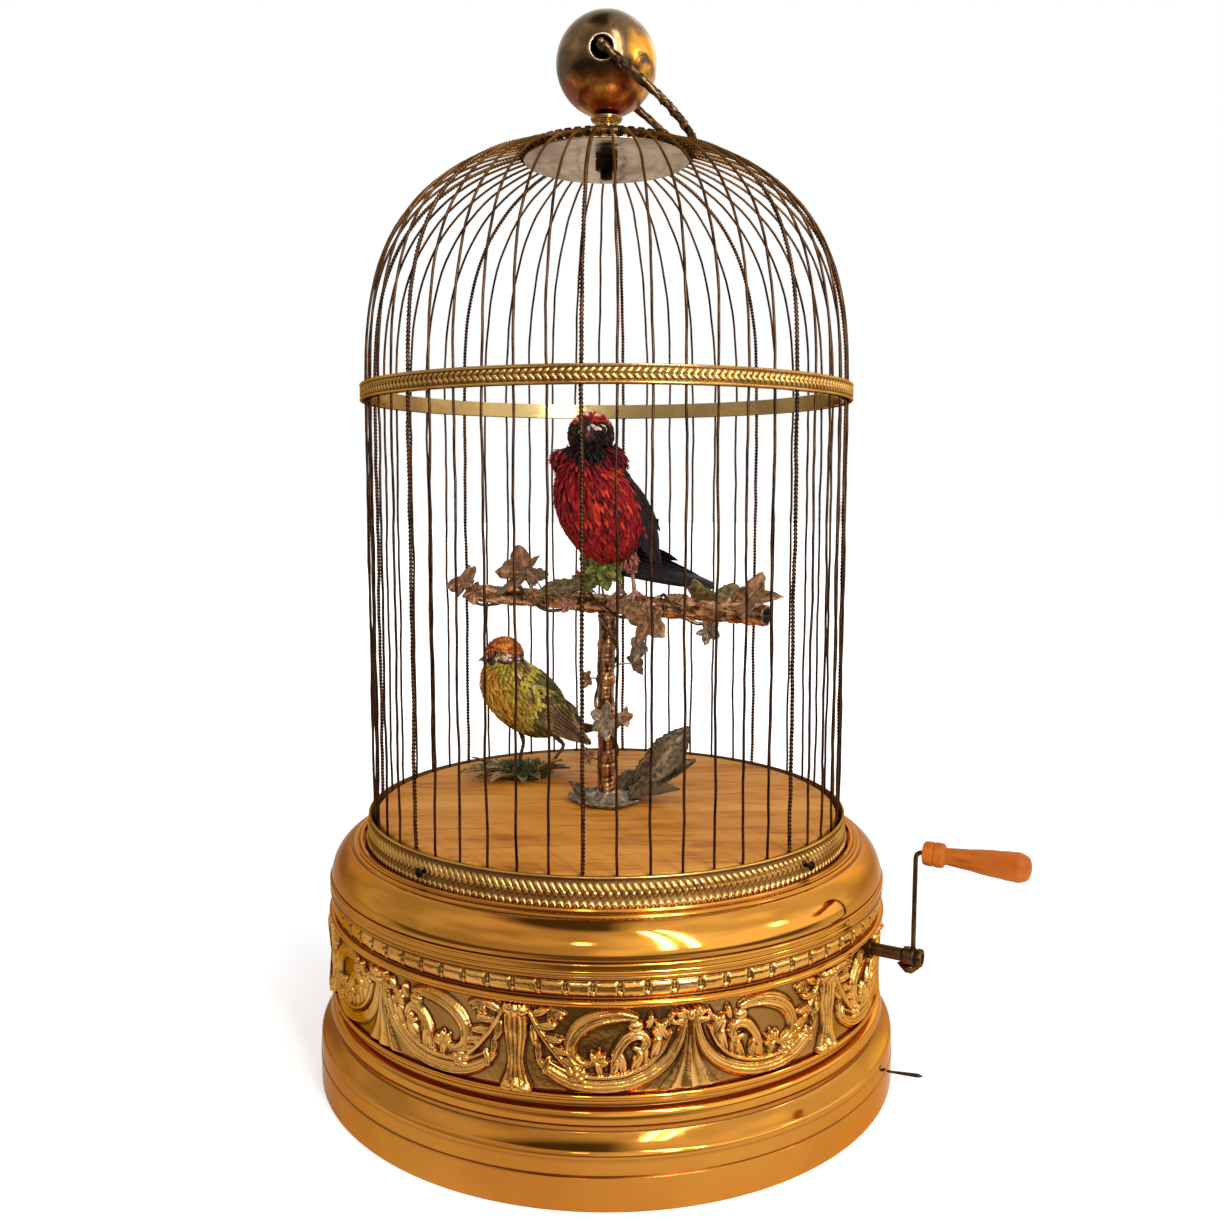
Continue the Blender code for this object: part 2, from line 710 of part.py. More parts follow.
def build_bail(brass, centre):
    """A closed stirrup: a pin through the ball, two straight arms and a rounded far end."""
    rest_radius, rest_height = bail_rest(BAIL_REACH)
    slope = math.atan2(BALL_CENTRE - rest_height, rest_radius)
    lean = Vector((math.cos(slope), 0.0, -math.sin(slope)))
    half = []
    for degrees in (0, 30, 60, 90):
        angle = math.radians(degrees)
        half.append(
            (
                BAIL_CORNER * (1 - math.cos(angle)),
                BAIL_HALF_WIDTH - BAIL_CORNER * (1 - math.sin(angle)),
            )
        )
    for degrees in (0, 25, 45, 65, 90):
        angle = math.radians(degrees)
        half.append(
            (
                BAIL_REACH - BAIL_END * (1 - math.sin(angle)),
                BAIL_HALF_WIDTH * math.cos(angle),
            )
        )
    loop = half + [(along, -across) for along, across in reversed(half[:-1])]
    points = [lean * along + Vector((0.0, across, 0.0)) for along, across in loop]
    tube("bail_ring", points, BAIL_WIRE_RADIUS, brass, centre, cyclic=True)


def bail_rest(reach):
    """Where the far side of the bail, this far from the ball's centre, comes to rest on the dome."""
    lift = BAIL_WIRE_RADIUS + CROWN_BAR_RADIUS + GAP
    best = None
    for step in range(400):
        radius, height = dome_point(step / 400)
        height += lift
        miss = abs(math.hypot(radius, BALL_CENTRE - height) - reach)
        if best is None or miss < best[0]:
            best = (miss, radius, height)
    return best[1], best[2]


def leaf_outline(length, width):
    """Half-width follows the sine of the way along to the 0.8, from a stalk to a point."""
    count = 4
    edge = []
    for i in range(1, count):
        share = i / count
        edge.append((length * share, width / 2 * math.sin(math.pi * share) ** 0.8))
    stalk = LEAF_THICKNESS
    upper = [(-stalk, stalk / 2)] + edge + [(length, stalk / 4)]
    return upper + [(x, -y) for x, y in reversed(upper)]


def leaf(name, root, direction, length, width, material, parent, roll=0.0):
    """A flat leaf from its root along the direction, turned about that direction by roll degrees."""
    made = plate(name, [leaf_outline(length, width)], LEAF_THICKNESS, material, parent)
    made.location = root
    made.rotation_mode = "QUATERNION"
    aim = Vector(direction).to_track_quat("X", "Z")
    made.rotation_quaternion = aim @ Quaternion((1.0, 0.0, 0.0), math.radians(roll))
    return solid(made)


def build_perch(bark, leafy, bird_wood):
    base = STAGE_TOP + GAP
    hole = POST_RADIUS + GAP
    dish = [
        (hole + 0.0025, base + PLATE_HUB_HEIGHT),
        (PLATE_RADIUS * 0.55, base + PLATE_EDGE_HEIGHT),
        (PLATE_RADIUS, base + PLATE_EDGE_HEIGHT),
        (PLATE_RADIUS, base),
        (hole, base),
        (hole, base + PLATE_HUB_HEIGHT),
    ]
    foot = turned("perch_plate", dish, leafy, 24)
    edge = base + PLATE_EDGE_HEIGHT
    plate_leaves = (
        (118.0, (0.62, 0.20, 0.78), 0.045, 0.019),
        (95.0, (0.86, 0.35, 0.42), 0.040, 0.013),
        (-60.0, (-0.60, -0.20, 0.75), 0.013, 0.008),
    )
    for number, (azimuth, direction, length, width) in enumerate(plate_leaves):
        root = at_azimuth(azimuth, PLATE_RADIUS * 0.7, edge - LEAF_THICKNESS)
        join(foot, leaf(f"plate_leaf_{number}", root, direction, length, width, leafy, None, 60.0))

    axis = frame("perch_axis", (0.0, 0.0, BAR_LEVEL), BAR_TURN)
    post_top = -BAR_RADIUS - GAP
    post_foot = base - BAR_LEVEL
    post = [
        (POST_RADIUS, post_top),
        (POST_RADIUS, post_foot),
        (POST_BORE_RADIUS, post_foot),
        (POST_BORE_RADIUS, post_top),
    ]
    turned("perch_post", post, bark, 12, axis)
    bar = rod("perch_bar", BAR_RADIUS, -BAR_HALF_LENGTH, BAR_HALF_LENGTH, bark, axis, sides=12)
    bar.rotation_euler = (0.0, math.pi / 2, 0.0)
    build_vine(leafy, axis)

    mound = frame("mound_axis", (*MOUND_PLACE, base))
    heap = turned(
        "leaf_mound",
        [
            (0.0, MOUND_HEIGHT),
            (MOUND_RADIUS * 0.6, MOUND_HEIGHT),
            (MOUND_RADIUS, MOUND_HEIGHT * 0.45),
            (MOUND_RADIUS, 0.0),
            (0.0, 0.0),
        ],
        leafy,
        16,
        mound,
        loop=False,
    )
    mound_leaves = (
        (-95.0, 0.12, 0.022, 0.010),
        (-50.0, 0.05, 0.020, 0.009),
        (60.0, 0.25, 0.018, 0.009),
        (110.0, 0.35, 0.016, 0.008),
    )
    for number, (azimuth, rise, length, width) in enumerate(mound_leaves):
        out = at_azimuth(azimuth, 1.0)
        root = out * (MOUND_RADIUS * 0.8)
        root.z = MOUND_HEIGHT * 0.4
        aim = (out.x, out.y, rise)
        join(heap, leaf(f"mound_leaf_{number}", root, aim, length, width, leafy, mound, 0.0))


def bar_vine_point(along):
    """The vine winds round the bar: along is the way from the bar's middle, and it is in front there."""
    reach = BAR_RADIUS + GAP + VINE_RADIUS + VINE_LIFT
    angle = math.pi / 2 + 2 * math.pi * along / VINE_PITCH
    return Vector((along, -reach * math.sin(angle), reach * math.cos(angle)))


def post_vine_point(drop):
    reach = POST_RADIUS + GAP + VINE_RADIUS + VINE_LIFT
    angle = 2 * math.pi * drop / POST_VINE_PITCH
    return Vector((-reach * math.sin(angle), -reach * math.cos(angle), -BAR_RADIUS - drop))


def build_vine(leafy, axis):
    count = 30
    main = [
        bar_vine_point(-VINE_HALF_LENGTH + 2 * VINE_HALF_LENGTH * i / count) for i in range(count + 1)
    ]
    vine = solid(tube("vine", main, VINE_RADIUS, leafy, axis, resolution=0))
    drop_count = 10
    branch = [bar_vine_point(0.0)]
    branch += [post_vine_point(POST_VINE_DROP * i / drop_count) for i in range(1, drop_count + 1)]
    branch_tube = solid(tube("post_vine", branch, VINE_RADIUS, leafy, axis, resolution=0))
    boolean(vine, branch_tube, "UNION", "MANIFOLD")
    leaves = (
        (0, (-0.80, -0.30, 0.25), 0.021, 0.010, 20.0),
        (5, (-0.30, -0.20, 1.00), 0.014, 0.010, 90.0),
        (13, (-0.90, -0.30, 0.60), 0.022, 0.011, 60.0),
        (15, (0.10, -1.00, 0.90), 0.013, 0.011, 70.0),
        (22, (-0.30, -0.30, 1.00), 0.010, 0.008, 90.0),
        (23, (-0.30, -0.50, -1.00), 0.020, 0.013, 0.0),
        (25, (0.20, -0.30, -1.00), 0.015, 0.007, 0.0),
        (29, (0.80, -0.10, 0.40), 0.020, 0.012, 60.0),
        (30, (0.80, -0.50, 0.20), 0.015, 0.008, 0.0),
    )
    for step, aim, length, width, roll in leaves:
        blade = leaf(f"vine_leaf_{step}", main[step], aim, length, width, leafy, axis, roll)
        boolean(vine, blade, "UNION", "MANIFOLD")
    for step in (5, 8):
        root = branch[step]
        aim = (root.x, root.y, 0.002)
        blade = leaf(f"post_leaf_{step}", root, aim, 0.012, 0.009, leafy, axis, 40.0)
        boolean(vine, blade, "UNION", "MANIFOLD")


def build_bird(prefix, sizes, place, feathers, cap, horn):
    """Body with wings, legs and a socket for the head, the head with its upper beak, lower beak, tail."""
    perch = frame(f"{prefix}_perch", place, sizes["heading"] - 90.0)
    centre_x, centre_z = sizes["body_centre"]
    body_frame = frame(f"{prefix}_spine", (centre_x, 0.0, centre_z), pitch=-sizes["body_pitch"], parent=perch)
    body = ellipsoid(f"{prefix}_body", sizes["body_half_sizes"], feathers, body_frame)
    wing_x, wing_z = sizes["wing_centre"]
    for side in (-1, 1):
        spread = side * sizes["wing_spread"]
        wing_frame = frame(
            f"{prefix}_wing_frame_{side + 1}",
            (wing_x, spread, wing_z),
            side * 4.0,
            -sizes["wing_pitch"],
            perch,
        )
        wing = ellipsoid(
            f"{prefix}_wing_{side + 1}", sizes["wing_half_sizes"], feathers, wing_frame, 10, 6
        )
        join(body, wing)
        foot = side * sizes["leg_spread"]
        leg = tube(
            f"{prefix}_leg_{side + 1}",
            [(0.0, foot, LEG_RADIUS + GAP), (-0.001, foot, sizes["leg_top"])],
            LEG_RADIUS,
            horn,
            perch,
        )
        toes = tube(
            f"{prefix}_toes_{side + 1}",
            [(-TOE_REACH, foot, LEG_RADIUS + GAP), (TOE_REACH, foot, LEG_RADIUS + GAP)],
            LEG_RADIUS * 0.9,
            horn,
            perch,
        )
        join(body, solid(leg), solid(toes))

    head_x, head_z = sizes["head_centre"]
    neck = frame(
        f"{prefix}_neck", (head_x, 0.0, head_z), sizes["look"] - sizes["heading"], parent=perch
    )
    radius = sizes["head_radius"]
    head = ellipsoid(f"{prefix}_head", (radius, radius, radius), cap, neck)
    socket = ellipsoid(f"{prefix}_socket", (radius + GAP * 2,) * 3, cap, neck)
    cut(body, socket)

    beak = sizes["beak_radius"]
    root = radius * 0.93
    tip = radius + sizes["beak_length"]
    upper = tube(
        f"{prefix}_upper_beak",
        [(root - beak, 0.0, beak / 2), (root, 0.0, beak / 2), (tip, 0.0, -beak / 4)],
        beak,
        horn,
        neck,
        radii=(beak, beak, beak * 0.15),
    )
    join(head, solid(upper))
    jaw_frame = frame(
        f"{prefix}_jaw", (radius * 0.97 + GAP, 0.0, -beak * 0.8), parent=neck
    )
    tube(
        f"{prefix}_beak",
        [(0.0, 0.0, -beak * 0.3), (sizes["beak_length"] * 0.75, 0.0, -beak * 0.35)],
        beak * 0.42,
        horn,
        jaw_frame,
        radii=(beak * 0.42, beak * 0.1),
    )

    root_x, root_z = sizes["tail_root"]
    tip_x, tip_z = sizes["tail_tip"]
    fall = math.degrees(math.atan2(root_z - tip_z, root_x - tip_x))
    tail_frame = frame(f"{prefix}_rump", (root_x, 0.0, root_z), 180.0, fall, perch)
    length = math.hypot(tip_x - root_x, tip_z - root_z)
    width = sizes["tail_width"]
    root = width * 0.3
    outline = [
        (-root * math.sin(math.pi * i / 6), root * math.cos(math.pi * i / 6)) for i in range(7)
    ]
    outline += [(length, -width / 2), (length * 0.96, 0.0), (length, width / 2)]
    plate(f"{prefix}_tail", [outline], TAIL_THICKNESS, feathers, tail_frame)
    high = TAIL_THICKNESS / 2 + 2 * GAP
    room = rod(f"{prefix}_tail_room", root + 2 * GAP, -high, high, feathers, tail_frame, 16)
    cut(body, room)


def build_crank(bronze, wood, brass, movement):
    """Shaft with its eccentric, the sleeve clamped on its end, the bent arm and the turned handle."""
    wall_inside = DRUM_FACE - BUSH_LENGTH + BUSH_FLANGE_THICKNESS
    wall_outside = DRUM_FACE + DRUM_MOULDING[4][0] + 2 * GAP
    sleeve_start = wall_outside + BUSH_FLANGE_THICKNESS - BUSH_LENGTH / 2
    boss_start = CRANK_ARM_REACH - BOSS_LENGTH / 2
    boss_end = CRANK_ARM_REACH + BOSS_LENGTH / 2
    shaft_end = CRANK_ARM_REACH - CRANK_ARM_RADIUS - 2 * GAP
    shaft = rod(
        "crank_shaft",
        CRANK_SHAFT_RADIUS,
        REAR_PLATE_U - PLATE_THICKNESS,
        shaft_end,
        bronze,
        movement,
    )
    lay_along_crank(shaft, 0.0, z=CRANK_HEIGHT)
    eccentric = rod(
        "eccentric", ECCENTRIC_RADIUS, -ECCENTRIC_THICKNESS / 2, ECCENTRIC_THICKNESS / 2, bronze, movement
    )
    lay_along_crank(eccentric, ECCENTRIC_U, 0.0, CRANK_HEIGHT - ECCENTRIC_THROW)
    join(shaft, eccentric)

    bush_bore = SLEEVE_RADIUS + GAP
    bush_radius = SLEEVE_RADIUS + BUSH_WALL
    bush = [
        (bush_bore, wall_outside + BUSH_FLANGE_THICKNESS),
        (BUSH_FLANGE_RADIUS, wall_outside + BUSH_FLANGE_THICKNESS),
        (BUSH_FLANGE_RADIUS, wall_outside),
        (bush_radius, wall_outside),
        (bush_radius, wall_inside),
        (bush_bore, wall_inside),
    ]
    lay_along_crank(turned("crank_bush", bush, brass, 16, movement), 0.0, z=CRANK_HEIGHT)

    sleeve = [
        (BOSS_RADIUS * 0.8, boss_end),
        (BOSS_RADIUS, boss_end - BOSS_RADIUS * 0.2),
        (BOSS_RADIUS, boss_start),
        (SLEEVE_RADIUS, boss_start),
        (SLEEVE_RADIUS, sleeve_start),
        (SLEEVE_BORE, sleeve_start),
        (SLEEVE_BORE, boss_end),
    ]
    socket = turned("crank_sleeve", sleeve, bronze, 16, movement)
    lay_along_crank(socket, 0.0, z=CRANK_HEIGHT)
    arm_hole = rod("arm_hole", CRANK_ARM_RADIUS + GAP, CRANK_HEIGHT, CRANK_HEIGHT + 0.01, bronze, movement)
    arm_hole.location.x = CRANK_ARM_REACH
    clamp_u = boss_start + CLAMP_HEAD_RADIUS + GAP
    clamp_hole = rod(
        "clamp_hole", CLAMP_SCREW_RADIUS + GAP, CRANK_HEIGHT - 0.01, CRANK_HEIGHT, bronze, movement
    )
    clamp_hole.location.x = clamp_u
    cut(socket, arm_hole, clamp_hole)

    head_top = CRANK_HEIGHT - BOSS_RADIUS - GAP
    clamp = [
        (0.0, CRANK_HEIGHT - CRANK_SHAFT_RADIUS - GAP),
        (CLAMP_SCREW_RADIUS, CRANK_HEIGHT - CRANK_SHAFT_RADIUS - GAP),
        (CLAMP_SCREW_RADIUS, head_top),
        (CLAMP_HEAD_RADIUS, head_top),
        (CLAMP_HEAD_RADIUS, head_top - CLAMP_HEAD_HEIGHT * 0.6),
        (CLAMP_HEAD_RADIUS * 0.5, head_top - CLAMP_HEAD_HEIGHT),
        (0.0, head_top - CLAMP_HEAD_HEIGHT),
    ]
    screw = turned("crank_screw", clamp, bronze, 12, movement, loop=False)
    screw.location.x = clamp_u

    handle_start = CRANK_ARM_REACH + CRANK_ARM_BEND + 2 * GAP
    handle_end = handle_start + HANDLE_LENGTH
    bend_steps = 4
    arm = [(CRANK_ARM_REACH, 0.0, CRANK_HEIGHT + CRANK_SHAFT_RADIUS)]
    for i in range(bend_steps + 1):
        angle = math.pi / 2 * i / bend_steps
        arm.append(
            (
                CRANK_ARM_REACH + CRANK_ARM_BEND * (1 - math.cos(angle)),
                0.0,
                HANDLE_LEVEL - CRANK_ARM_BEND * (1 - math.sin(angle)),
            )
        )
    arm.append((handle_end - HANDLE_END_WALL, 0.0, HANDLE_LEVEL))
    tube("crank_arm", arm, CRANK_ARM_RADIUS, bronze, movement, resolution=2)

    grip = frame("grip_axis", (handle_start, 0.0, HANDLE_LEVEL), parent=movement)
    bore = CRANK_ARM_RADIUS + GAP
    handle = [
        (0.0, HANDLE_LENGTH),
        (HANDLE_SWELL_RADIUS * 0.55, HANDLE_LENGTH * 0.99),
        (HANDLE_SWELL_RADIUS * 0.9, HANDLE_LENGTH * 0.945),
        (HANDLE_SWELL_RADIUS, HANDLE_LENGTH * 0.87),
        (HANDLE_WAIST_RADIUS, HANDLE_LENGTH * 0.20),
        (HANDLE_END_RADIUS * 0.92, HANDLE_LENGTH * 0.17),
        (HANDLE_END_RADIUS, HANDLE_LENGTH * 0.13),
        (HANDLE_END_RADIUS, HANDLE_LENGTH * 0.03),
        (HANDLE_END_RADIUS * 0.85, 0.0),
        (bore, 0.0),
        (bore, HANDLE_LENGTH - HANDLE_END_WALL + GAP),
        (0.0, HANDLE_LENGTH - HANDLE_END_WALL + GAP),
    ]
    lay_along_crank(turned("crank_handle", handle, wood, 16, grip, loop=False), 0.0)


def gear(name, teeth, bore, phase, material, movement):
    """Straight-sided teeth of one width, with a tooth's centre at the phase, in degrees."""
    pitch_radius = GEAR_MODULE * teeth / 2
    outline = []
    for tooth in range(teeth):
        centre = math.radians(phase) + 2 * math.pi * tooth / teeth
        for radius, half in (
            (pitch_radius - TOOTH_HEIGHT, -TOOTH_WIDTH * 0.7),
            (pitch_radius + TOOTH_HEIGHT * 0.75, -TOOTH_WIDTH * 0.32),
            (pitch_radius + TOOTH_HEIGHT * 0.75, TOOTH_WIDTH * 0.32),
            (pitch_radius - TOOTH_HEIGHT, TOOTH_WIDTH * 0.7),
        ):
            angle = centre + half / radius
            outline.append((radius * math.cos(angle), radius * math.sin(angle)))
    return plate(name, [outline, circle(bore, 12)], GEAR_THICKNESS, material, movement)


def lay_in_plane(obj, u, v, z):
    """Turns a flat piece so that its own X runs along v and its own Y along z."""
    obj.location = (u, v, z)
    obj.rotation_euler = (math.pi / 2, 0.0, math.pi / 2)
    return obj


def build_movement(brass, steel, board, leather, movement):
    top = CAGE_BASE - PLATE_TOP_CLEARANCE

    def wall(name, u):
        outline = [
            (-PLATE_HALF_WIDTH, MOVEMENT_FLOOR),
            (PLATE_HALF_WIDTH, MOVEMENT_FLOOR),
            (PLATE_HALF_WIDTH, top),
            (-PLATE_HALF_WIDTH, top),
        ]
        holes = [
            circle(CRANK_SHAFT_RADIUS + GAP, 12, (0.0, CRANK_HEIGHT)),
            circle(CAM_SHAFT_RADIUS + GAP, 12, (CAM_V, CAM_Z)),
        ]
        return lay_in_plane(plate(name, [outline] + holes, PLATE_THICKNESS, brass, movement), u, 0.0, 0.0)

    wall("front_plate", FRONT_PLATE_U)
    rear = solid(wall("rear_plate", REAR_PLATE_U))
    span_end = FRONT_PLATE_U - PLATE_THICKNESS / 2 - GAP
    for number, (v, z) in enumerate(PILLARS):
        pillar = rod(f"pillar_{number}", PILLAR_RADIUS, REAR_PLATE_U, span_end, brass, movement, sides=10)
        lay_along_crank(pillar, 0.0, v, z)
        join(rear, pillar)

    wheel_direction = 180.0 + WHEEL_DROP_ANGLE
    pinion = gear("crank_pinion", PINION_TEETH, CRANK_SHAFT_RADIUS + GAP, wheel_direction, steel, movement)
    lay_in_plane(pinion, GEAR_U, 0.0, CRANK_HEIGHT)
    half_tooth = 180.0 / WHEEL_TEETH
    wheel = gear(
        "cam_wheel",
        WHEEL_TEETH,
        CAM_SHAFT_RADIUS + GAP,
        WHEEL_DROP_ANGLE + half_tooth,
        brass,
        movement,
    )
    lay_in_plane(wheel, GEAR_U, CAM_V, CAM_Z)
    shaft = rod(
        "cam_shaft",
        CAM_SHAFT_RADIUS,
        REAR_PLATE_U - PLATE_THICKNESS,
        FRONT_PLATE_U + PLATE_THICKNESS,
        steel,
        movement,
    )
    lay_along_crank(shaft, 0.0, CAM_V, CAM_Z)
    build_cams(brass, movement)
    build_levers(steel, movement)
    build_whistle(brass, steel, movement)
    build_bellows(board, leather, movement)


def cam_outline(radius, lobes, phase):
    count = 28
    edge = []
    for i in range(count):
        angle = 2 * math.pi * i / count
        reach = radius - CAM_LIFT * (1 - math.cos(lobes * angle + phase)) / 2
        edge.append((reach * math.cos(angle), reach * math.sin(angle)))
    return edge


def build_cams(brass, movement):
    bore = circle(CAM_SHAFT_RADIUS + GAP, 12)
    cams = solid(
        lay_in_plane(
            plate("cam_stack", [cam_outline(SONG_CAM_RADIUS, 7, 0.0), bore], CAM_THICKNESS, brass, movement),
            SONG_CAM_U,
            CAM_V,
            CAM_Z,
        )
    )
    bird_cam = lay_in_plane(
        plate("bird_cam", [cam_outline(BIRD_CAM_RADIUS, 5, 1.0), bore], CAM_THICKNESS, brass, movement),
        0.0,
        CAM_V,
        CAM_Z,
    )
    hub = turned(
        "cam_hub",
        [
            (CAM_HUB_RADIUS, SONG_CAM_U),
            (CAM_HUB_RADIUS, 0.0),
            (CAM_SHAFT_RADIUS + GAP, 0.0),
            (CAM_SHAFT_RADIUS + GAP, SONG_CAM_U),
        ],
        brass,
        12,
        movement,
    )
    lay_along_crank(hub, 0.0, CAM_V, CAM_Z)
    join(cams, solid(bird_cam), hub)


def build_levers(steel, movement):
    """Each lever turns on the upper pillar, and its foot stands just clear of its cam."""
    pivot_v, pivot_z = LEVER_PIVOT
    half = LEVER_BAR / 2

    def lever(name, u, cam_radius, far_v):
        foot_v = CAM_V - pivot_v
        foot_z = CAM_Z + cam_radius + GAP - pivot_z
        tip_v = far_v - pivot_v
        arm_z = foot_z + 0.006
        outline = [
            (foot_v - half, foot_z),
            (foot_v + half, foot_z),
            (foot_v + half, arm_z - half),
            (0.0, -half),
            (tip_v, -half),
            (tip_v, half),
            (0.0, half),
            (foot_v - half, arm_z + half),
        ]
        arm = lay_in_plane(
            plate(name, [outline], LEVER_THICKNESS, steel, movement), u, pivot_v, pivot_z
        )
        arm = solid(arm)
        hub = lay_in_plane(
            plate(f"{name}_hub", [circle(LEVER_HUB_RADIUS, 12)], LEVER_THICKNESS * 1.4, steel, movement),
            u,
            pivot_v,
            pivot_z,
        )
        hole = rod(f"{name}_hole", PILLAR_RADIUS + GAP, -0.01, 0.01, steel, movement)
        lay_along_crank(hole, u, pivot_v, pivot_z)
        join(arm, solid(hub))
        cut(arm, hole)

    lever("song_lever", SONG_CAM_U, SONG_CAM_RADIUS, PISTON_V + LEVER_BAR)
    lever("bird_lever", 0.0, BIRD_CAM_RADIUS, pivot_v + LEVER_HUB_RADIUS * 1.5)

    slope = (CAM_Z + BIRD_CAM_RADIUS + GAP + 0.006 - pivot_z) / (CAM_V - pivot_v)
    lever_top = pivot_z + half - slope * pivot_v
    rod_low = lever_top + half + GAP
    rod_high = BAR_LEVEL - BAR_RADIUS - 2 * GAP - PUSH_ROD_TRAVEL
    rod("push_rod", PUSH_ROD_RADIUS, rod_low, rod_high, steel, sides=8)


def build_whistle(brass, steel, movement):
    tube_profile = [
        (WHISTLE_RADIUS, WHISTLE_HIGH),
        (WHISTLE_RADIUS, WHISTLE_LOW),
        (WHISTLE_BORE_RADIUS, WHISTLE_LOW),
        (WHISTLE_BORE_RADIUS, WHISTLE_HIGH),
    ]
    whistle = turned("whistle_tube", tube_profile, brass, 16, movement)
    whistle.location = (SONG_CAM_U, PISTON_V, 0.0)
    wall = (WHISTLE_RADIUS + WHISTLE_BORE_RADIUS) / 2
    middle = (WHISTLE_LOW + WHISTLE_HIGH) / 2
    bracket = block(
        "whistle_bracket",
        (SONG_CAM_U + wall, PISTON_V - WHISTLE_BORE_RADIUS / 2, middle - 0.002),
        (FRONT_PLATE_U - PLATE_THICKNESS / 2 - GAP, PISTON_V + WHISTLE_BORE_RADIUS / 2, middle + 0.002),
        brass,
        movement,
    )
    join(whistle, bracket)
    rod_top = LEVER_PIVOT[1] - LEVER_BAR / 2 - GAP
    piston_top = WHISTLE_HIGH - PISTON_LENGTH
    piston = [
        (0.0, rod_top),
        (PISTON_ROD_RADIUS, rod_top),
        (PISTON_ROD_RADIUS, piston_top),
        (WHISTLE_BORE_RADIUS - GAP, piston_top),
        (WHISTLE_BORE_RADIUS - GAP, piston_top - PISTON_LENGTH),
        (0.0, piston_top - PISTON_LENGTH),
    ]
    plunger = turned("whistle_piston", piston, steel, 12, movement, loop=False)
    plunger.location = (SONG_CAM_U, PISTON_V, 0.0)


def build_bellows(board, leather, movement):
    hinge_v, hinge_z = BELLOWS_HINGE
    inner_rear = REAR_PLATE_U + PLATE_THICKNESS / 2 + GAP
    inner_front = FRONT_PLATE_U - PLATE_THICKNESS / 2 - GAP
    base_top = hinge_z - GAP
    block(
        "bellows_base",
        (inner_rear, hinge_v - BELLOWS_DEPTH, base_top - BELLOWS_BOARD),
        (inner_front, hinge_v, base_top),
        board,
        movement,
    )
    hinge = frame("bellows_hinge", (ECCENTRIC_U / 4, hinge_v, hinge_z), parent=movement)
    hinge.rotation_euler = (math.radians(-BELLOWS_ANGLE), 0.0, 0.0)
    lid = block(
        "bellows_top",
        (-BELLOWS_HALF_WIDTH, -BELLOWS_DEPTH, GAP),
        (BELLOWS_HALF_WIDTH, 0.0, GAP + BELLOWS_BOARD),
        board,
        hinge,
    )
    rise = math.tan(math.radians(BELLOWS_ANGLE))
    lid_end = hinge_z + BELLOWS_DEPTH * math.sin(math.radians(BELLOWS_ANGLE))
    stalk_v = hinge_v - BELLOWS_DEPTH + 0.004
    eccentric_low = CRANK_HEIGHT - ECCENTRIC_THROW - ECCENTRIC_RADIUS
    stalk = tube(
        "bellows_stalk",
        [
            (ECCENTRIC_U, stalk_v, lid_end),
            (ECCENTRIC_U, stalk_v, lid_end + 0.012),
            (ECCENTRIC_U, 0.0, eccentric_low - 0.005),
            (ECCENTRIC_U, 0.0, eccentric_low - GAP),
        ],
        PILLAR_RADIUS * 0.6,
        board,
        movement,
    )
    join(lid, solid(stalk))
    near, far = 0.003, BELLOWS_DEPTH - 0.003
    wedge = plate(
        "bellows_leather",
        [
            [
                (hinge_v - near, hinge_z),
                (hinge_v - near, hinge_z + near * rise - GAP),
                (hinge_v - far, hinge_z + far * rise - GAP),
                (hinge_v - far, hinge_z),
            ]
        ],
        2 * BELLOWS_HALF_WIDTH - 0.004,
        leather,
        movement,
    )
    lay_in_plane(wedge, ECCENTRIC_U / 4, 0.0, 0.0)


def build_stop_lever(steel, foot):
    """A thin rod out through a slot in the foot, turning on an upright pin on the bottom board."""
    holder = frame("stop_axis", at_azimuth(STOP_AZIMUTH, STOP_PIVOT_RADIUS), STOP_AZIMUTH - 90.0)
    low = MOVEMENT_FLOOR
    rod("stop_pivot", STOP_PIN_RADIUS, low, low + STOP_PIN_HEIGHT, steel, holder, sides=10)
    hub_low = low
    hub_high = hub_low + STOP_HUB_HEIGHT
    level = (hub_low + hub_high) / 2
    reach = STOP_LEVER_REACH - STOP_PIVOT_RADIUS
    hub = turned(
        "stop_lever",
        [
            (STOP_HUB_RADIUS, hub_high),
            (STOP_HUB_RADIUS, hub_low),
            (STOP_PIN_RADIUS + GAP, hub_low),
            (STOP_PIN_RADIUS + GAP, hub_high),
        ],
        steel,
        12,
        holder,
    )
    start = (STOP_HUB_RADIUS + STOP_PIN_RADIUS) / 2 + GAP
    arm = tube(
        "stop_rod",
        [(start, 0.0, level), (reach * 0.7, 0.0, level), (reach * 0.95, 0.0, level), (reach, 0.0, level)],
        STOP_TIP_RADIUS,
        steel,
        holder,
        radii=(STOP_ROD_RADIUS, STOP_ROD_RADIUS, STOP_TIP_RADIUS, STOP_ROD_RADIUS * 0.5),
    )
    join(hub, solid(arm))
    wall = DRUM_FACE + FOOT_MOULDING[-1][0] - STOP_PIVOT_RADIUS
    half = wall * math.tan(math.radians(STOP_SWING)) + STOP_TIP_RADIUS + SLOT_GAP
    slot = block(
        "stop_slot",
        (wall - 0.006, -half, level - STOP_TIP_RADIUS - SLOT_GAP),
        (wall + 0.006, half, level + STOP_TIP_RADIUS + SLOT_GAP),
        steel,
        holder,
    )
    cut(foot, slot)


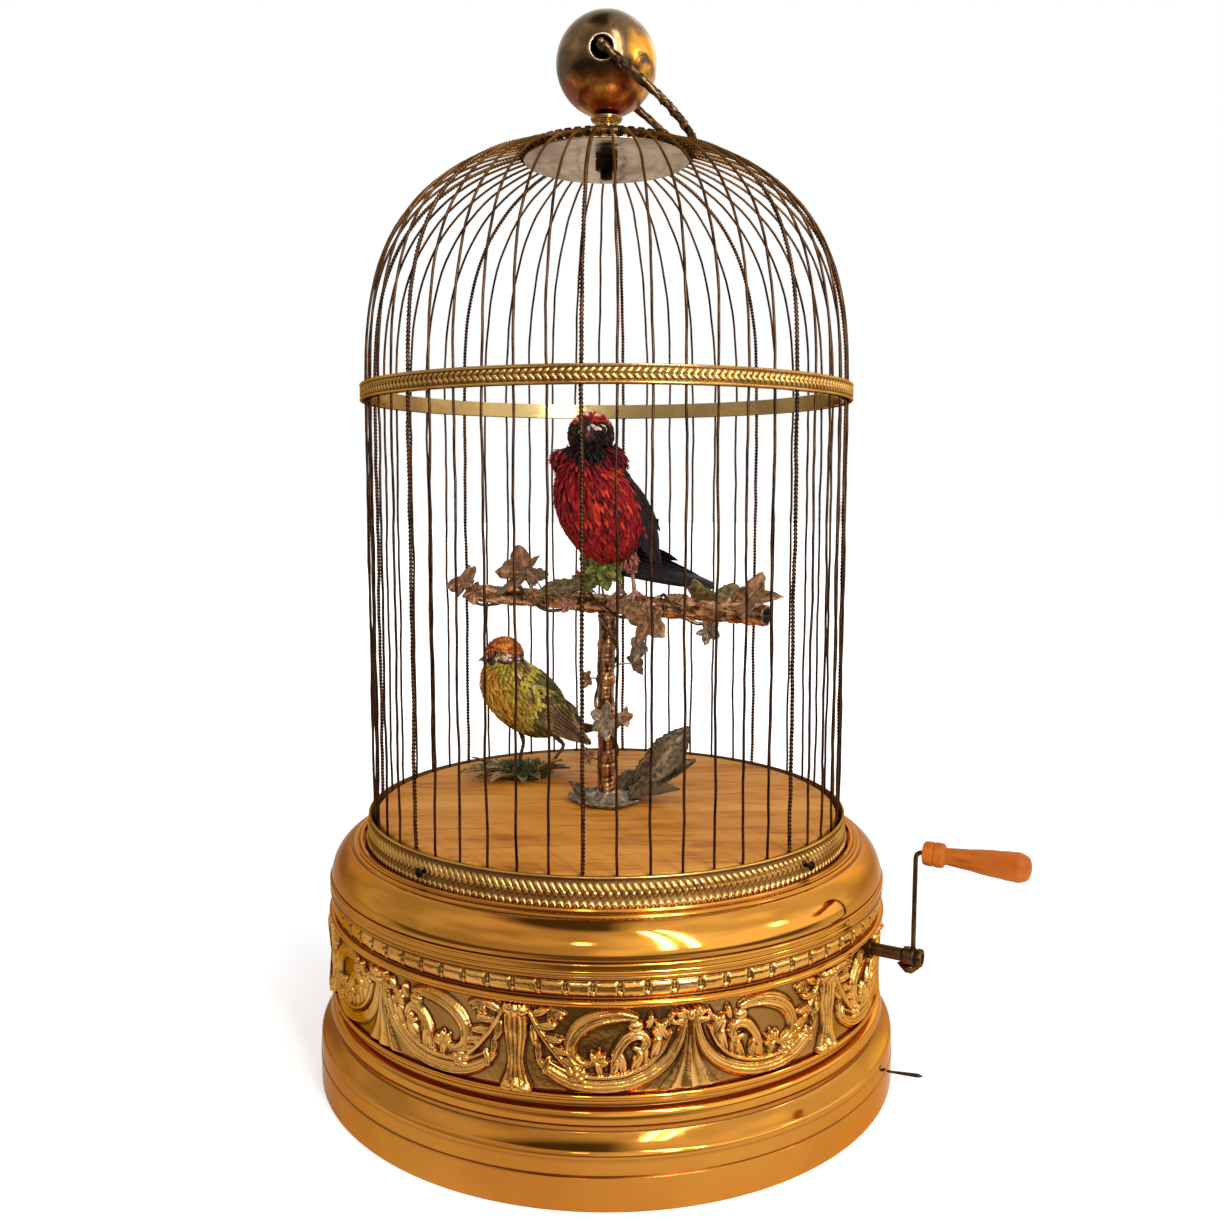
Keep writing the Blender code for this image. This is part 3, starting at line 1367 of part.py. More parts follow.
def main():
    clear_scene()
    brass = finish("lacquered_brass", (0.83, 0.60, 0.22), 0.22, 1.0)
    gilt = finish("gilt_strip", (0.78, 0.62, 0.28), 0.35, 1.0)
    bronze = finish("dark_bronze", (0.30, 0.20, 0.10), 0.40, 1.0)
    silvered = finish("silvered_plate", (0.78, 0.76, 0.70), 0.25, 1.0)
    steel = finish("blued_steel", (0.12, 0.11, 0.10), 0.35, 1.0)
    veneer = finish("honey_veneer", (0.80, 0.50, 0.20), 0.45, 0.0)
    board = finish("plain_board", (0.55, 0.38, 0.20), 0.70, 0.0)
    wood = finish("handle_wood", (0.78, 0.42, 0.16), 0.40, 0.0)
    bark = finish("gilded_bark", (0.55, 0.33, 0.16), 0.45, 1.0)
    leafy = finish("patinated_leaf", (0.38, 0.30, 0.20), 0.60, 0.6)
    leather = finish("white_leather", (0.85, 0.80, 0.70), 0.80, 0.0)
    crimson = finish("crimson_feathers", (0.55, 0.04, 0.03), 0.80, 0.0)
    black = finish("black_feathers", (0.05, 0.03, 0.03), 0.80, 0.0)
    olive = finish("olive_feathers", (0.60, 0.50, 0.12), 0.80, 0.0)
    orange = finish("orange_feathers", (0.75, 0.30, 0.08), 0.80, 0.0)
    horn = finish("horn", (0.35, 0.24, 0.18), 0.50, 0.0)

    movement = frame("movement", (0.0, 0.0, 0.0), CRANK_AZIMUTH - 90.0)
    foot = build_base(brass, board, movement)
    stage = build_stage(veneer)
    build_lower_ring(gilt, steel, stage)
    build_cage(bronze)
    build_bands(gilt, brass)
    build_crown(silvered, brass, steel)
    build_perch(bark, leafy, bark)
    turn = math.radians(BAR_TURN)
    upper_place = (
        UPPER_BIRD_ALONG_BAR * math.cos(turn),
        UPPER_BIRD_ALONG_BAR * math.sin(turn),
        BAR_LEVEL + BAR_RADIUS,
    )
    build_bird("red", UPPER_BIRD, upper_place, crimson, black, horn)
    lower_place = (*MOUND_PLACE, STAGE_TOP + GAP + MOUND_HEIGHT)
    build_bird("yellow", LOWER_BIRD, lower_place, olive, orange, horn)
    build_crank(bronze, wood, brass, movement)
    build_movement(brass, steel, board, leather, movement)
    build_stop_lever(steel, foot)


main()
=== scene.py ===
import math

import bpy
import numpy as np
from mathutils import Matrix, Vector


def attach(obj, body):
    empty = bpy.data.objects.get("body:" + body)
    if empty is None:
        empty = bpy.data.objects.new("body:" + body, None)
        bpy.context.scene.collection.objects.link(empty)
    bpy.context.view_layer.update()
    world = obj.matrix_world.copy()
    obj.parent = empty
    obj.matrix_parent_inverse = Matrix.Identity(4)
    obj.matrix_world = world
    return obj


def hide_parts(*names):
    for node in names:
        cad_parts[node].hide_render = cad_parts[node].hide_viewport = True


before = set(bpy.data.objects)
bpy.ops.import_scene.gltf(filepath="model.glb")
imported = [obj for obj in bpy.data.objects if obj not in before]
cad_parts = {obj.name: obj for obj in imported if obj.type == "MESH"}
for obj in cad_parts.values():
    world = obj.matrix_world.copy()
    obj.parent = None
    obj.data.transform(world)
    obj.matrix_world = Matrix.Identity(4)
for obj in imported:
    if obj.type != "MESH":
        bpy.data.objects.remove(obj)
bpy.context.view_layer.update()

MM = 0.001
TURN = 2 * math.pi
UP = np.array([0.0, 0.0, 1.0])


# Meshes


def unit(vectors):
    """Each vector over its own length."""
    vectors = np.asarray(vectors, float)
    return vectors / np.maximum(np.linalg.norm(vectors, axis=-1, keepdims=True), 1e-12)


def skins(points, paint=None, ring=False):
    """Closed skins from grids of points, as (corners, quads, triangles, paint).

    The grid is (skins, rows, columns, 3). Columns run round each skin and join up. With ring the last row
    joins the first; otherwise each end row is closed by a fan to the mean of its points. A skin whose
    volume, the sum of a.(b x c) over its faces, is below nothing has its faces turned over.
    """
    points = np.asarray(points, float)
    if points.ndim == 3:
        points = points[None]
        paint = None if paint is None else np.asarray(paint, float)[None]
    total, rows, columns = points.shape[:3]
    number = np.arange(total * rows * columns).reshape(total, rows, columns)
    first = number if ring else number[:, :-1]
    second = np.roll(number, -1, axis=1) if ring else number[:, 1:]
    quads = np.stack(
        [first, np.roll(first, -1, axis=2), np.roll(second, -1, axis=2), second], axis=-1
    ).reshape(total, -1, 4)
    corners = points.reshape(-1, 3)
    if paint is not None:
        paint = np.asarray(paint, float)
        shade = paint.reshape(-1, paint.shape[-1])
    else:
        shade = None
    triangles = np.zeros((total, 0, 3), int)
    if not ring:
        middles = np.stack([points[:, 0].mean(axis=1), points[:, -1].mean(axis=1)], axis=1)
        place = len(corners) + np.arange(total * 2).reshape(total, 2)
        corners = np.concatenate([corners, middles.reshape(-1, 3)])
        low, high = number[:, 0], number[:, -1]
        start = np.stack([np.roll(low, -1, axis=1), low, np.broadcast_to(place[:, :1], low.shape)], -1)
        stop = np.stack([high, np.roll(high, -1, axis=1), np.broadcast_to(place[:, 1:], high.shape)], -1)
        triangles = np.concatenate([start, stop], axis=1)
        if shade is not None:
            ends = np.stack([paint[:, 0].mean(axis=1), paint[:, -1].mean(axis=1)], axis=1)
            shade = np.concatenate([shade, ends.reshape(-1, paint.shape[-1])])
    middle = points.mean(axis=(1, 2))[:, None]
    a, b, c, d = (corners[quads[..., i]] - middle for i in range(4))
    volume = np.einsum("ijk,ijk->i", a, np.cross(b, c)) + np.einsum("ijk,ijk->i", a, np.cross(c, d))
    if triangles.shape[1]:
        a, b, c = (corners[triangles[..., i]] - middle for i in range(3))
        volume += np.einsum("ijk,ijk->i", a, np.cross(b, c))
    inside_out = volume < 0
    quads[inside_out] = quads[inside_out, :, ::-1]
    triangles[inside_out] = triangles[inside_out, :, ::-1]
    return corners, quads.reshape(-1, 4), triangles.reshape(-1, 3), shade


def piece(name, parts, finish, body, stands_for=None):
    """One object from several skins, riding on a body, in the place of the CAD node that it stands for.
    Paint becomes the point attribute paint."""
    corners, quads, triangles, shades = [], [], [], []
    count = 0
    for part_corners, part_quads, part_triangles, shade in parts:
        if shade is None:
            shade = np.zeros((len(part_corners), 4))
        elif shade.shape[1] == 3:
            shade = np.concatenate([shade, np.ones((len(shade), 1))], axis=1)
        corners.append(part_corners)
        quads.append(part_quads + count)
        triangles.append(part_triangles + count)
        shades.append(shade)
        count += len(part_corners)
    corners, quads, triangles, shades = map(np.concatenate, (corners, quads, triangles, shades))
    loops = np.concatenate([quads.ravel(), triangles.ravel()]).astype(np.int32)
    sizes = np.concatenate([np.full(len(quads), 4), np.full(len(triangles), 3)])
    mesh = bpy.data.meshes.new(name)
    mesh.vertices.add(count)
    mesh.vertices.foreach_set("co", corners.astype(np.float32).ravel())
    mesh.loops.add(len(loops))
    mesh.loops.foreach_set("vertex_index", loops)
    mesh.polygons.add(len(sizes))
    mesh.polygons.foreach_set("loop_start", np.concatenate([[0], np.cumsum(sizes)[:-1]]).astype(np.int32))
    mesh.polygons.foreach_set("use_smooth", np.full(len(sizes), True))
    colour = mesh.attributes.new("paint", "FLOAT_COLOR", "POINT")
    colour.data.foreach_set("color", shades.astype(np.float32).ravel())
    mesh.update(calc_edges=True)
    mesh.validate()
    mesh.materials.append(finish)
    made = bpy.data.objects.new(name, mesh)
    bpy.context.scene.collection.objects.link(made)
    if stands_for:
        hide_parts(stands_for)
    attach(made, body)


def curve(points, count, closed=False):
    """A smooth line through the points: a cubic between each two, with slopes set by their neighbours."""
    points = np.asarray(points, float)
    total = len(points)
    spans = total if closed else total - 1
    along = np.arange(count) * spans / (count if closed else count - 1)
    index = np.minimum(along.astype(int), spans - 1)
    t = (along - index)[:, None]

    def at(shift):
        near = index + shift
        return points[near % total] if closed else points[np.clip(near, 0, total - 1)]

    before, start, end, after = at(-1), at(0), at(1), at(2)
    slope_in, slope_out = (end - before) / 2, (after - start) / 2
    return (
        (2 * t**3 - 3 * t**2 + 1) * start
        + (t**3 - 2 * t**2 + t) * slope_in
        + (3 * t**2 - 2 * t**3) * end
        + (t**3 - t**2) * slope_out
    )


def tube(path, radius, across, sides=8, closed=False):
    """Rings of points round a path, square to it and counted from the direction across it."""
    path = np.asarray(path, float)
    if closed:
        ahead = unit(np.roll(path, -1, axis=0) - np.roll(path, 1, axis=0))
    else:
        ahead = unit(np.gradient(path, axis=0))
    side = unit(np.cross(ahead, across))
    rise = np.cross(side, ahead)
    angle = (TURN * np.arange(sides) / sides)[None, :, None]
    reach = np.asarray(radius, float)
    reach = reach.reshape(-1, 1) if reach.ndim == 1 else reach
    reach = np.broadcast_to(reach, (len(path), sides))[..., None]
    return path[:, None] + reach * (np.cos(angle) * side[:, None] + np.sin(angle) * rise[:, None])


def outline(start, *runs):
    """A profile in millimetres: each run is (radius, height) or (radius, height, bulge). A straight run
    keeps a short flat at both ends so that its edges stay crisp; a bulged one is a quadratic bow pushed
    sideways."""
    points = [np.array([start])]
    here = np.array(start, float)
    for radius, height, *bulge in runs:
        there = np.array([radius, height], float)
        step = there - here
        length = np.linalg.norm(step)
        if bulge:
            middle = (here + there) / 2 + 2 * bulge[0] * (np.array([-step[1], step[0]]) / length)
            t = np.linspace(0, 1, 11)[1:, None]
            points.append((1 - t) ** 2 * here + 2 * t * (1 - t) * middle + t**2 * there)
        else:
            flat = min(0.18, length * 0.12) / length
            points.append(here + np.array([[flat], [3 * flat], [1 - 3 * flat], [1 - flat], [1.0]]) * step)
        here = there
    return np.concatenate(points) * MM


def creases(profile):
    """Painted shade in a closed profile's inside corners: how sharply it turns the hollow way at each
    point, dying away along the line as e to the minus distance over 0.35 mm."""
    step = np.roll(profile, -1, axis=0) - profile
    before = np.roll(step, 1, axis=0)
    cross = before[:, 0] * step[:, 1] - before[:, 1] * step[:, 0]
    turn = np.arctan2(cross, (before * step).sum(axis=1))
    hollow = np.clip(-turn * np.sign(turn.sum()) / 0.7, 0, 1)
    place = np.concatenate([[0], np.cumsum(np.linalg.norm(step, axis=1))[:-1]])
    return (hollow[None] * np.exp(-np.abs(place[:, None] - place[None]) / (0.35 * MM))).max(axis=1)


def lathe(profile, columns=192, ring=True, centre=(0.0, 0.0), axis=None, paint=None):
    """A profile of (radius, height) turned about Z, or about axis, a 3 by 3 frame with its origin."""
    if paint is None and ring:
        # by default the inside corners of a closed profile get painted shade
        paint = np.repeat(creases(profile)[:, None], 4, axis=1)
    angle = TURN * np.arange(columns) / columns
    radius, height = profile[:, :1], profile[:, 1:2]
    x, y = centre[0] + radius * np.cos(angle), centre[1] + radius * np.sin(angle)
    flat = np.stack([x, y, height + 0 * angle], axis=-1)
    if axis is not None:
        flat = flat @ np.asarray(axis[0], float) + np.asarray(axis[1], float)
    if paint is not None:
        paint = np.broadcast_to(paint[:, None], flat.shape[:2] + (paint.shape[-1],))
    return skins(flat, paint, ring)


def turned(name, node, finish, slot, columns, *runs, body="base", **how):
    """A piece turned from the outline that the runs give."""
    piece(name, [lathe(outline(*runs), columns, **how)], finish, body, node)


def one_tone(grid, tone, ring=False):
    """A skin with one colour all over."""
    return skins(grid, np.broadcast_to(np.array([*tone, 1.0]), grid.shape[:2] + (4,)), ring)


def relief(low, high, radius, columns, rows, height, back, sector=None, ground_shade=0.45):
    """A band whose face stands out from radius(z) by height(angle, z), closed by a plain back wall.

    low and high are heights and back is the back wall's radius, in metres; sector is (from, to) in
    radians for a part of the band with closed ends. The paint is painted shade: how far the face lies
    under its own local mean, over its spread, plus a share of painted shade on the low ground.
    """
    if sector:
        angle = np.linspace(*sector, columns + 1)[None]
    else:
        angle = TURN * np.arange(columns)[None] / columns
    z = np.linspace(low, high, rows)[:, None]
    rise = height(angle, z)
    local = rise.copy()
    for _ in range(8):
        sides = np.roll(local, 1, 1) + np.roll(local, -1, 1)
        ends = np.concatenate([local[:1], local[:-1]]) + np.concatenate([local[1:], local[-1:]])
        local = (local + sides + ends) / 5
    # painted shade in the hollows of the relief and on its low ground
    hollow = np.clip((local - rise) / (rise.std() + 1e-9) * 1.3, 0, 1)
    ground = np.clip(1 - rise / (rise.max() * 0.4 + 1e-9), 0, 1)
    cavity = np.clip(hollow + ground_shade * ground, 0, 1)
    degrees = np.degrees(angle)
    reach = radius(z) + rise
    face = np.stack([reach * np.sin(angle), -reach * np.cos(angle), z + 0 * angle], axis=-1)
    points = np.concatenate([face, at_azimuth(degrees, back, np.array([[high], [low]]))])
    shade = np.repeat(np.concatenate([cavity, np.ones((2, angle.shape[1]))])[..., None], 4, axis=-1)
    if sector:
        return skins(points.transpose(1, 0, 2), shade.transpose(1, 0, 2))
    return skins(points, shade, ring=True)


def at_azimuth(azimuth, radius, height=0.0):
    """A point at degrees from the front towards +X, in metres."""
    angle, radius, height = np.broadcast_arrays(np.radians(azimuth), radius, height)
    return np.stack([radius * np.sin(angle), -radius * np.cos(angle), height], axis=-1)


def hash_noise(*values):
    """Settled pseudo-random numbers from 0 to 1: the part after the point of a large sine."""
    mixed = sum(np.asarray(v, float) * k for v, k in zip(values, (12.9898, 78.233, 37.719)))
    return np.mod(np.sin(mixed) * 43758.5453, 1.0)


def ripple(x, seed):
    """A wandering line from -1 to 1: three sines of unlike lengths."""
    slow, middle = 0.5 * np.sin(x * 1.0 + seed * 1.7), 0.3 * np.sin(x * 2.3 + seed * 4.1)
    return slow + middle + 0.2 * np.sin(x * 5.1 + seed * 2.9)


# Finishes


def add(finish, kind, inputs=None, **settings):
    """Adds a node. Each input is a value, or the output of another node."""
    made = finish.node_tree.nodes.new(kind)
    for key, value in settings.items():
        setattr(made, key, value)
    for key, value in (inputs or {}).items():
        if isinstance(value, bpy.types.NodeSocket):
            finish.node_tree.links.new(value, made.inputs[key])
        else:
            made.inputs[key].default_value = value
    return made


def new_finish(name, **sockets):
    """A finish and its shader, with values for the sockets that are named."""
    finish = bpy.data.materials.new(name)
    finish.use_nodes = True
    shader = finish.node_tree.nodes["Principled BSDF"]
    for key, value in sockets.items():
        shader.inputs[key.replace("_", " ")].default_value = value
    return finish, shader


def grain(finish, scale, detail=3.0, stretch=None, roughness=0.55, distortion=0.0):
    """Cloudy noise in the piece's own place, drawn out along an axis by a small stretch."""
    place = add(finish, "ShaderNodeTexCoord").outputs["Object"]
    if stretch:
        place = add(finish, "ShaderNodeMapping", {"Vector": place, "Scale": stretch}).outputs["Vector"]
    cloud = {"Scale": scale, "Detail": detail, "Roughness": roughness, "Distortion": distortion}
    return add(finish, "ShaderNodeTexNoise", {"Vector": place, **cloud}).outputs["Fac"]


def ramp(finish, factor, *stops):
    """Colours along a factor, each stop (place, red, green, blue)."""
    made = add(finish, "ShaderNodeValToRGB", {"Fac": factor})
    elements = made.color_ramp.elements
    while len(elements) < len(stops):
        elements.new(0.5)
    for element, (place, *colour) in zip(elements, stops):
        element.position = place
        element.color = (*colour, 1.0)
    return made.outputs["Color"]


def span(finish, value, low, high, to_low, to_high):
    """A value's range drawn onto another range, and held at its ends."""
    sockets = {"Value": value, "From Min": low, "From Max": high, "To Min": to_low, "To Max": to_high}
    return add(finish, "ShaderNodeMapRange", sockets).outputs["Result"]


def mix(finish, factor, a, b, blend="MIX"):
    """Two colours blended by a factor from 0 to 1."""
    made = add(finish, "ShaderNodeMixRGB", {"Fac": factor, "Color1": a, "Color2": b}, blend_type=blend)
    return made.outputs["Color"]


def work_out(finish, operation, first, *others):
    """One operation over several values, from the left."""
    for other in others:
        first = add(finish, "ShaderNodeMath", {0: first, 1: other}, operation=operation).outputs["Value"]
    return first


def painted(finish, output):
    """The paint attribute: its Color, or its first channel as Fac."""
    return add(finish, "ShaderNodeAttribute", attribute_name="paint").outputs[output]


def surfaced(finish, shader, colour, gloss, *bumps):
    """Joins up the colour, the gloss and each bump of (height, distance, strength), and gives the finish."""
    links = finish.node_tree.links
    links.new(colour, shader.inputs["Base Color"])
    links.new(gloss, shader.inputs["Roughness"])
    for height, distance, strength in bumps:
        bump = add(finish, "ShaderNodeBump", {"Height": height, "Distance": distance, "Strength": strength})
        links.new(bump.outputs["Normal"], shader.inputs["Normal"])
    return finish


def metal(name, light, deep, painted_shade_and_gilt, rough, patch, wave=0.0, hammered=0.0, coat=0.0,
          tint=(0.80, 0.50, 0.26, 1.0)):
    """Worn metal: two tones in patches, drawn by the paint towards a second tone, and gloss that varies.
    The second tone is painted shade in creases, hollows and low spots, and on the cage's wires and crown
    bar their gilt. The tint keeps a glancing look brown; hammered adds small dents that break a highlight
    into sparks."""
    finish, shader = new_finish(name, Metallic=1.0, Coat_Weight=coat, Coat_Roughness=0.06, Specular_Tint=tint)
    cavity = painted(finish, "Fac")
    colour = ramp(finish, grain(finish, patch, 4.0), (0.36, *deep), (0.62, *light))
    gloss = span(finish, grain(finish, 160.0, 3.0), 0.3, 0.7, *rough)
    gloss = work_out(finish, "ADD", gloss, work_out(finish, "MULTIPLY", cavity, 0.12 if hammered else 0.28))
    dents = (34.0, wave), (240.0, hammered)
    bumps = [(grain(finish, scale, 2.0), depth, 1.0) for scale, depth in dents if depth]
    # the paint draws the colour to painted shade, and on the wires to their gilt
    return surfaced(finish, shader, mix(finish, cavity, colour, (*painted_shade_and_gilt, 1.0)), gloss, *bumps)


def wood(name, light, middle, dark, along, rough):
    """Straight grain: fine streaks drawn out along the board, with a few broader darker bands."""
    finish, shader = new_finish(name, Specular_IOR_Level=0.12)
    streaks = grain(finish, 46.0, 6.0, along, 0.62)
    bands = grain(finish, 9.0, 3.0, along, 0.5, 0.6)
    flecks = grain(finish, 210.0, 2.0, along, 0.5)
    colour = ramp(finish, streaks, (0.30, *dark), (0.48, *middle), (0.68, *light))
    shade = ramp(finish, bands, (0.34, 0.86, 0.80, 0.74), (0.62, 1.0, 1.0, 1.0))
    pores = ramp(finish, flecks, (0.36, 0.62, 0.52, 0.42), (0.46, 1.0, 1.0, 1.0))
    colour = mix(finish, 1.0, colour, shade, "MULTIPLY")
    colour = mix(finish, 0.7, colour, pores, "MULTIPLY")
    gloss = span(finish, streaks, 0.3, 0.7, rough + 0.1, rough - 0.05)
    return surfaced(finish, shader, colour, gloss, (streaks, 0.00012, 0.6))


def tarnished(name):
    """An old ball's lacquer: olive and brown blotches, bare gold to the right, a painted red reflection round
    the foot and painted shade in the bore.
    """
    finish, shader = new_finish(name, Metallic=1.0, Coat_Weight=0.06, Coat_Roughness=0.08)
    place = add(finish, "ShaderNodeTexCoord").outputs["Object"]
    x, _, z = add(finish, "ShaderNodeSeparateXYZ", {"Vector": place}).outputs
    blotches = grain(finish, 58.0, 5.0, distortion=1.2)
    olive = (0.38, 0.060, 0.042, 0.026), (0.52, 0.190, 0.118, 0.052), (0.66, 0.380, 0.235, 0.095)
    # tones of the painted red reflection round the foot
    red = (0.42, 0.340, 0.062, 0.018), (0.52, 0.520, 0.150, 0.032), (0.62, 0.800, 0.400, 0.095)
    bare = work_out(
        finish, "MULTIPLY", span(finish, x, 0.009, 0.013, 0.0, 1.0),
        span(finish, blotches, 0.38, 0.50, 0.0, 1.0), span(finish, z, 0.495, 0.489, 0.0, 1.0),
    )
    colour = ramp(finish, blotches, *olive)
    for share, tone in (
        (span(finish, z, 0.494, 0.480, 0.0, 0.7), (0.120, 0.074, 0.036, 1.0)),
        (span(finish, z, 0.486, 0.497, 0.0, 0.8), (0.170, 0.098, 0.044, 1.0)),
        (bare, (0.98, 0.44, 0.055, 1.0)),
        # painted red reflection round the foot
        (span(finish, z, 0.4755, 0.4705, 0.0, 0.9), ramp(finish, grain(finish, 90.0, 3.0), *red)),
        # painted shade inside the bore
        (painted(finish, "Fac"), (0.03, 0.02, 0.012, 1.0)),
    ):
        colour = mix(finish, share, colour, tone)
    gloss = span(finish, blotches, 0.35, 0.65, 0.28, 0.11)
    gloss = work_out(finish, "ADD", gloss, span(finish, z, 0.476, 0.468, 0.0, 0.13))
    return surfaced(finish, shader, colour, gloss, (blotches, 0.0004, 0.8))


def speckled(name, scale, detail, stretch, tones, gloss, depth, **sockets):
    """Tone from the paint; the same fine noise varies it, the gloss and the surface."""
    finish, shader = new_finish(name, **sockets)
    specks = grain(finish, scale, detail, stretch)
    colour = mix(finish, 1.0, painted(finish, "Color"), ramp(finish, specks, *tones), "MULTIPLY")
    return surfaced(finish, shader, colour, span(finish, specks, *gloss), (specks, depth, 0.8))


def plumage(name, gloss):
    """Feathers, whose barbs are fine streaks."""
    tones = (0.30, 0.45, 0.42, 0.40), (0.50, 1.0, 1.0, 1.0), (0.72, 1.5, 1.45, 1.4)
    reach = (0.3, 0.7, gloss + 0.12, gloss - 0.1)
    return speckled(name, 900.0, 3.0, (1.0, 1.0, 0.3), tones, reach, 0.00025, Specular_IOR_Level=0.08)


def leafwork(name, metallic, gloss, scale=420.0):
    """Painted thin metal foliage, with verdigris specks and worn high spots."""
    tones = (0.34, 0.35, 0.33, 0.30), (0.50, 1.0, 1.0, 1.0), (0.68, 1.55, 1.45, 1.30)
    reach = (0.35, 0.65, gloss + 0.2, gloss - 0.08)
    return speckled(name, scale, 4.0, None, tones, reach, 0.0002, Metallic=metallic, Specular_IOR_Level=0.25)


# the third tone of each metal is its painted shade; for the wires it is their gilt
BRASS = metal(
    "gold_lacquered_brass", (0.70, 0.308, 0.040), (0.57, 0.218, 0.024), (0.080, 0.024, 0.008),
    (0.05, 0.11), 9.0, 0.00004, coat=0.25,
)
EMBOSSED = metal(
    "embossed_brass", (0.95, 0.520, 0.150), (0.66, 0.300, 0.055), (0.070, 0.027, 0.010),
    (0.05, 0.16), 22.0, hammered=0.00035,
)
STRIP = metal(
    "stamped_strip_brass", (0.84, 0.510, 0.160), (0.58, 0.320, 0.090), (0.160, 0.078, 0.028),
    (0.14, 0.30), 40.0,
)
PALE_STRIP = metal(
    "plain_strip_brass", (0.64, 0.470, 0.205), (0.36, 0.225, 0.085), (0.10, 0.06, 0.03), (0.16, 0.30), 13.0
)
BRONZE = metal(
    "brown_wire_bronze", (0.110, 0.052, 0.026), (0.026, 0.015, 0.010), (0.34, 0.175, 0.065),
    (0.26, 0.44), 95.0,
)
BAIL_BRONZE = metal(
    "rough_bail_bronze", (0.33, 0.195, 0.088), (0.030, 0.020, 0.013), (0.012, 0.009, 0.007),
    (0.24, 0.50), 330.0, 0.0012,
)
OLD_BALL = tarnished("tarnished_ball_brass")
CRANK_BRONZE = metal(
    "crank_bronze", (0.150, 0.088, 0.038), (0.050, 0.031, 0.018), (0.02, 0.014, 0.010),
    (0.22, 0.40), 150.0, 0.0003,
)
STEEL = metal(
    "blued_steel_screws", (0.034, 0.028, 0.024), (0.010, 0.008, 0.008), (0.004, 0.004, 0.004),
    (0.25, 0.42), 160.0,
)
SILVER = metal(
    "worn_silvering", (0.76, 0.560, 0.390), (0.380, 0.255, 0.160), (0.08, 0.055, 0.035),
    (0.12, 0.28), 52.0, 0.00003, tint=(0.90, 0.84, 0.78, 1.0),
)
VENEER = wood(
    "honey_veneer_board", (0.80, 0.350, 0.049), (0.675, 0.261, 0.029), (0.475, 0.154, 0.012),
    (0.17, 1.0, 1.0), 0.50,
)
BOARD = wood(
    "plain_pine_board", (0.60, 0.42, 0.22), (0.48, 0.31, 0.15), (0.33, 0.19, 0.08), (0.06, 1.0, 1.0), 0.6
)
GRIP = wood(
    "turned_handle_wood", (0.62, 0.178, 0.022), (0.40, 0.086, 0.008), (0.13, 0.024, 0.003),
    (0.12, 0.20, 1.0), 0.34,
)
KID = wood("soft_white_leather", (0.80, 0.76, 0.66), (0.74, 0.69, 0.58), (0.62, 0.56, 0.45), None, 0.75)
BARK = leafwork("gilded_bark_metal", 0.85, 0.24, 130.0)
LEAF = leafwork("patinated_leaf_metal", 0.35, 0.42)
FEATHER = plumage("soft_feathers", 0.62)
GLOSSY_FEATHER = plumage("glossy_quills", 0.42)
HORN = leafwork("polished_horn", 0.0, 0.16)


# Base

SCROLL_LOW, SCROLL_HIGH = 45.3, 81.0
FIELD_LONG, FIELD_TALL, REPEAT = 70.0, 36.0, 60.0
DRUM_FACE = 134.0
CONSOLE_AZIMUTH = -15.6
BEAD_COUNT = 78


def ridge(u, w, line, half_width, height, groove=0.0, flutes=0):
    """A raised bead along a line: height falls off as one less the square of the distance over its half
    width; a groove takes a narrow notch out of its crown, and flutes are sines across it."""
    line = np.asarray(line, float)
    distance = np.full(u.shape, 1e9)
    along = np.zeros(u.shape)
    for index in range(len(line) - 1):
        step = line[index + 1] - line[index]
        from_u, from_w = u - line[index, 0], w - line[index, 1]
        share = np.clip((from_u * step[0] + from_w * step[1]) / (step**2).sum(), 0, 1)
        away = np.hypot(from_u - share * step[0], from_w - share * step[1])
        nearer = away < distance
        distance = np.where(nearer, away, distance)
        along = np.where(nearer, (index + share) / (len(line) - 1), along)
    half_width = np.atleast_1d(half_width)
    width = np.interp(along, np.linspace(0, 1, len(half_width)), half_width)
    rise = height * np.clip(1 - (distance / width) ** 2, 0, None) ** 0.6
    if groove:
        rise = rise - groove * np.exp(-((distance / (0.26 * width)) ** 2)) * (rise > 0)
    if flutes:
        rise = rise * (1 - 0.30 * np.sin(math.pi * flutes * np.clip(distance / width, 0, 1)) ** 2)
    return np.clip(rise, 0, None)


def leaflet(u, w, root, angle, length, width, height):
    """One acanthus tongue: its half width follows the sine of the way along, its crown is round with a
    crease down the middle, and it rises towards a turned-over tip."""
    turn = math.radians(angle)
    x = (u - root[0]) * math.cos(turn) + (w - root[1]) * math.sin(turn)
    y = -(u - root[0]) * math.sin(turn) + (w - root[1]) * math.cos(turn)
    y = y - 0.16 * x**2 / length
    t = np.clip(x / length, 0, 1)
    half = width / 2 * np.sin(math.pi * np.clip(t * 0.86 + 0.07, 0, 1)) ** 0.7
    across = np.abs(y) / np.maximum(half, 1e-6)
    inside = (x > 0) & (x < length) & (across < 1)
    crown = np.clip(1 - across**2, 0, None) ** 0.6 * (0.45 + 0.55 * t) * np.clip((1 - t) * 6, 0, 1) ** 0.5
    crease = 0.35 * np.exp(-((across / 0.22) ** 2)) * (1 - t)
    return np.where(inside, height * np.clip(crown - crease, 0, None), 0)


def blob(u, w, centre, size, height):
    """A round boss: height times the root of one less the square of the way out."""
    away = ((u - centre[0]) / size[0]) ** 2 + ((w - centre[1]) / size[1]) ** 2
    return height * np.sqrt(np.clip(1 - away, 0, None))


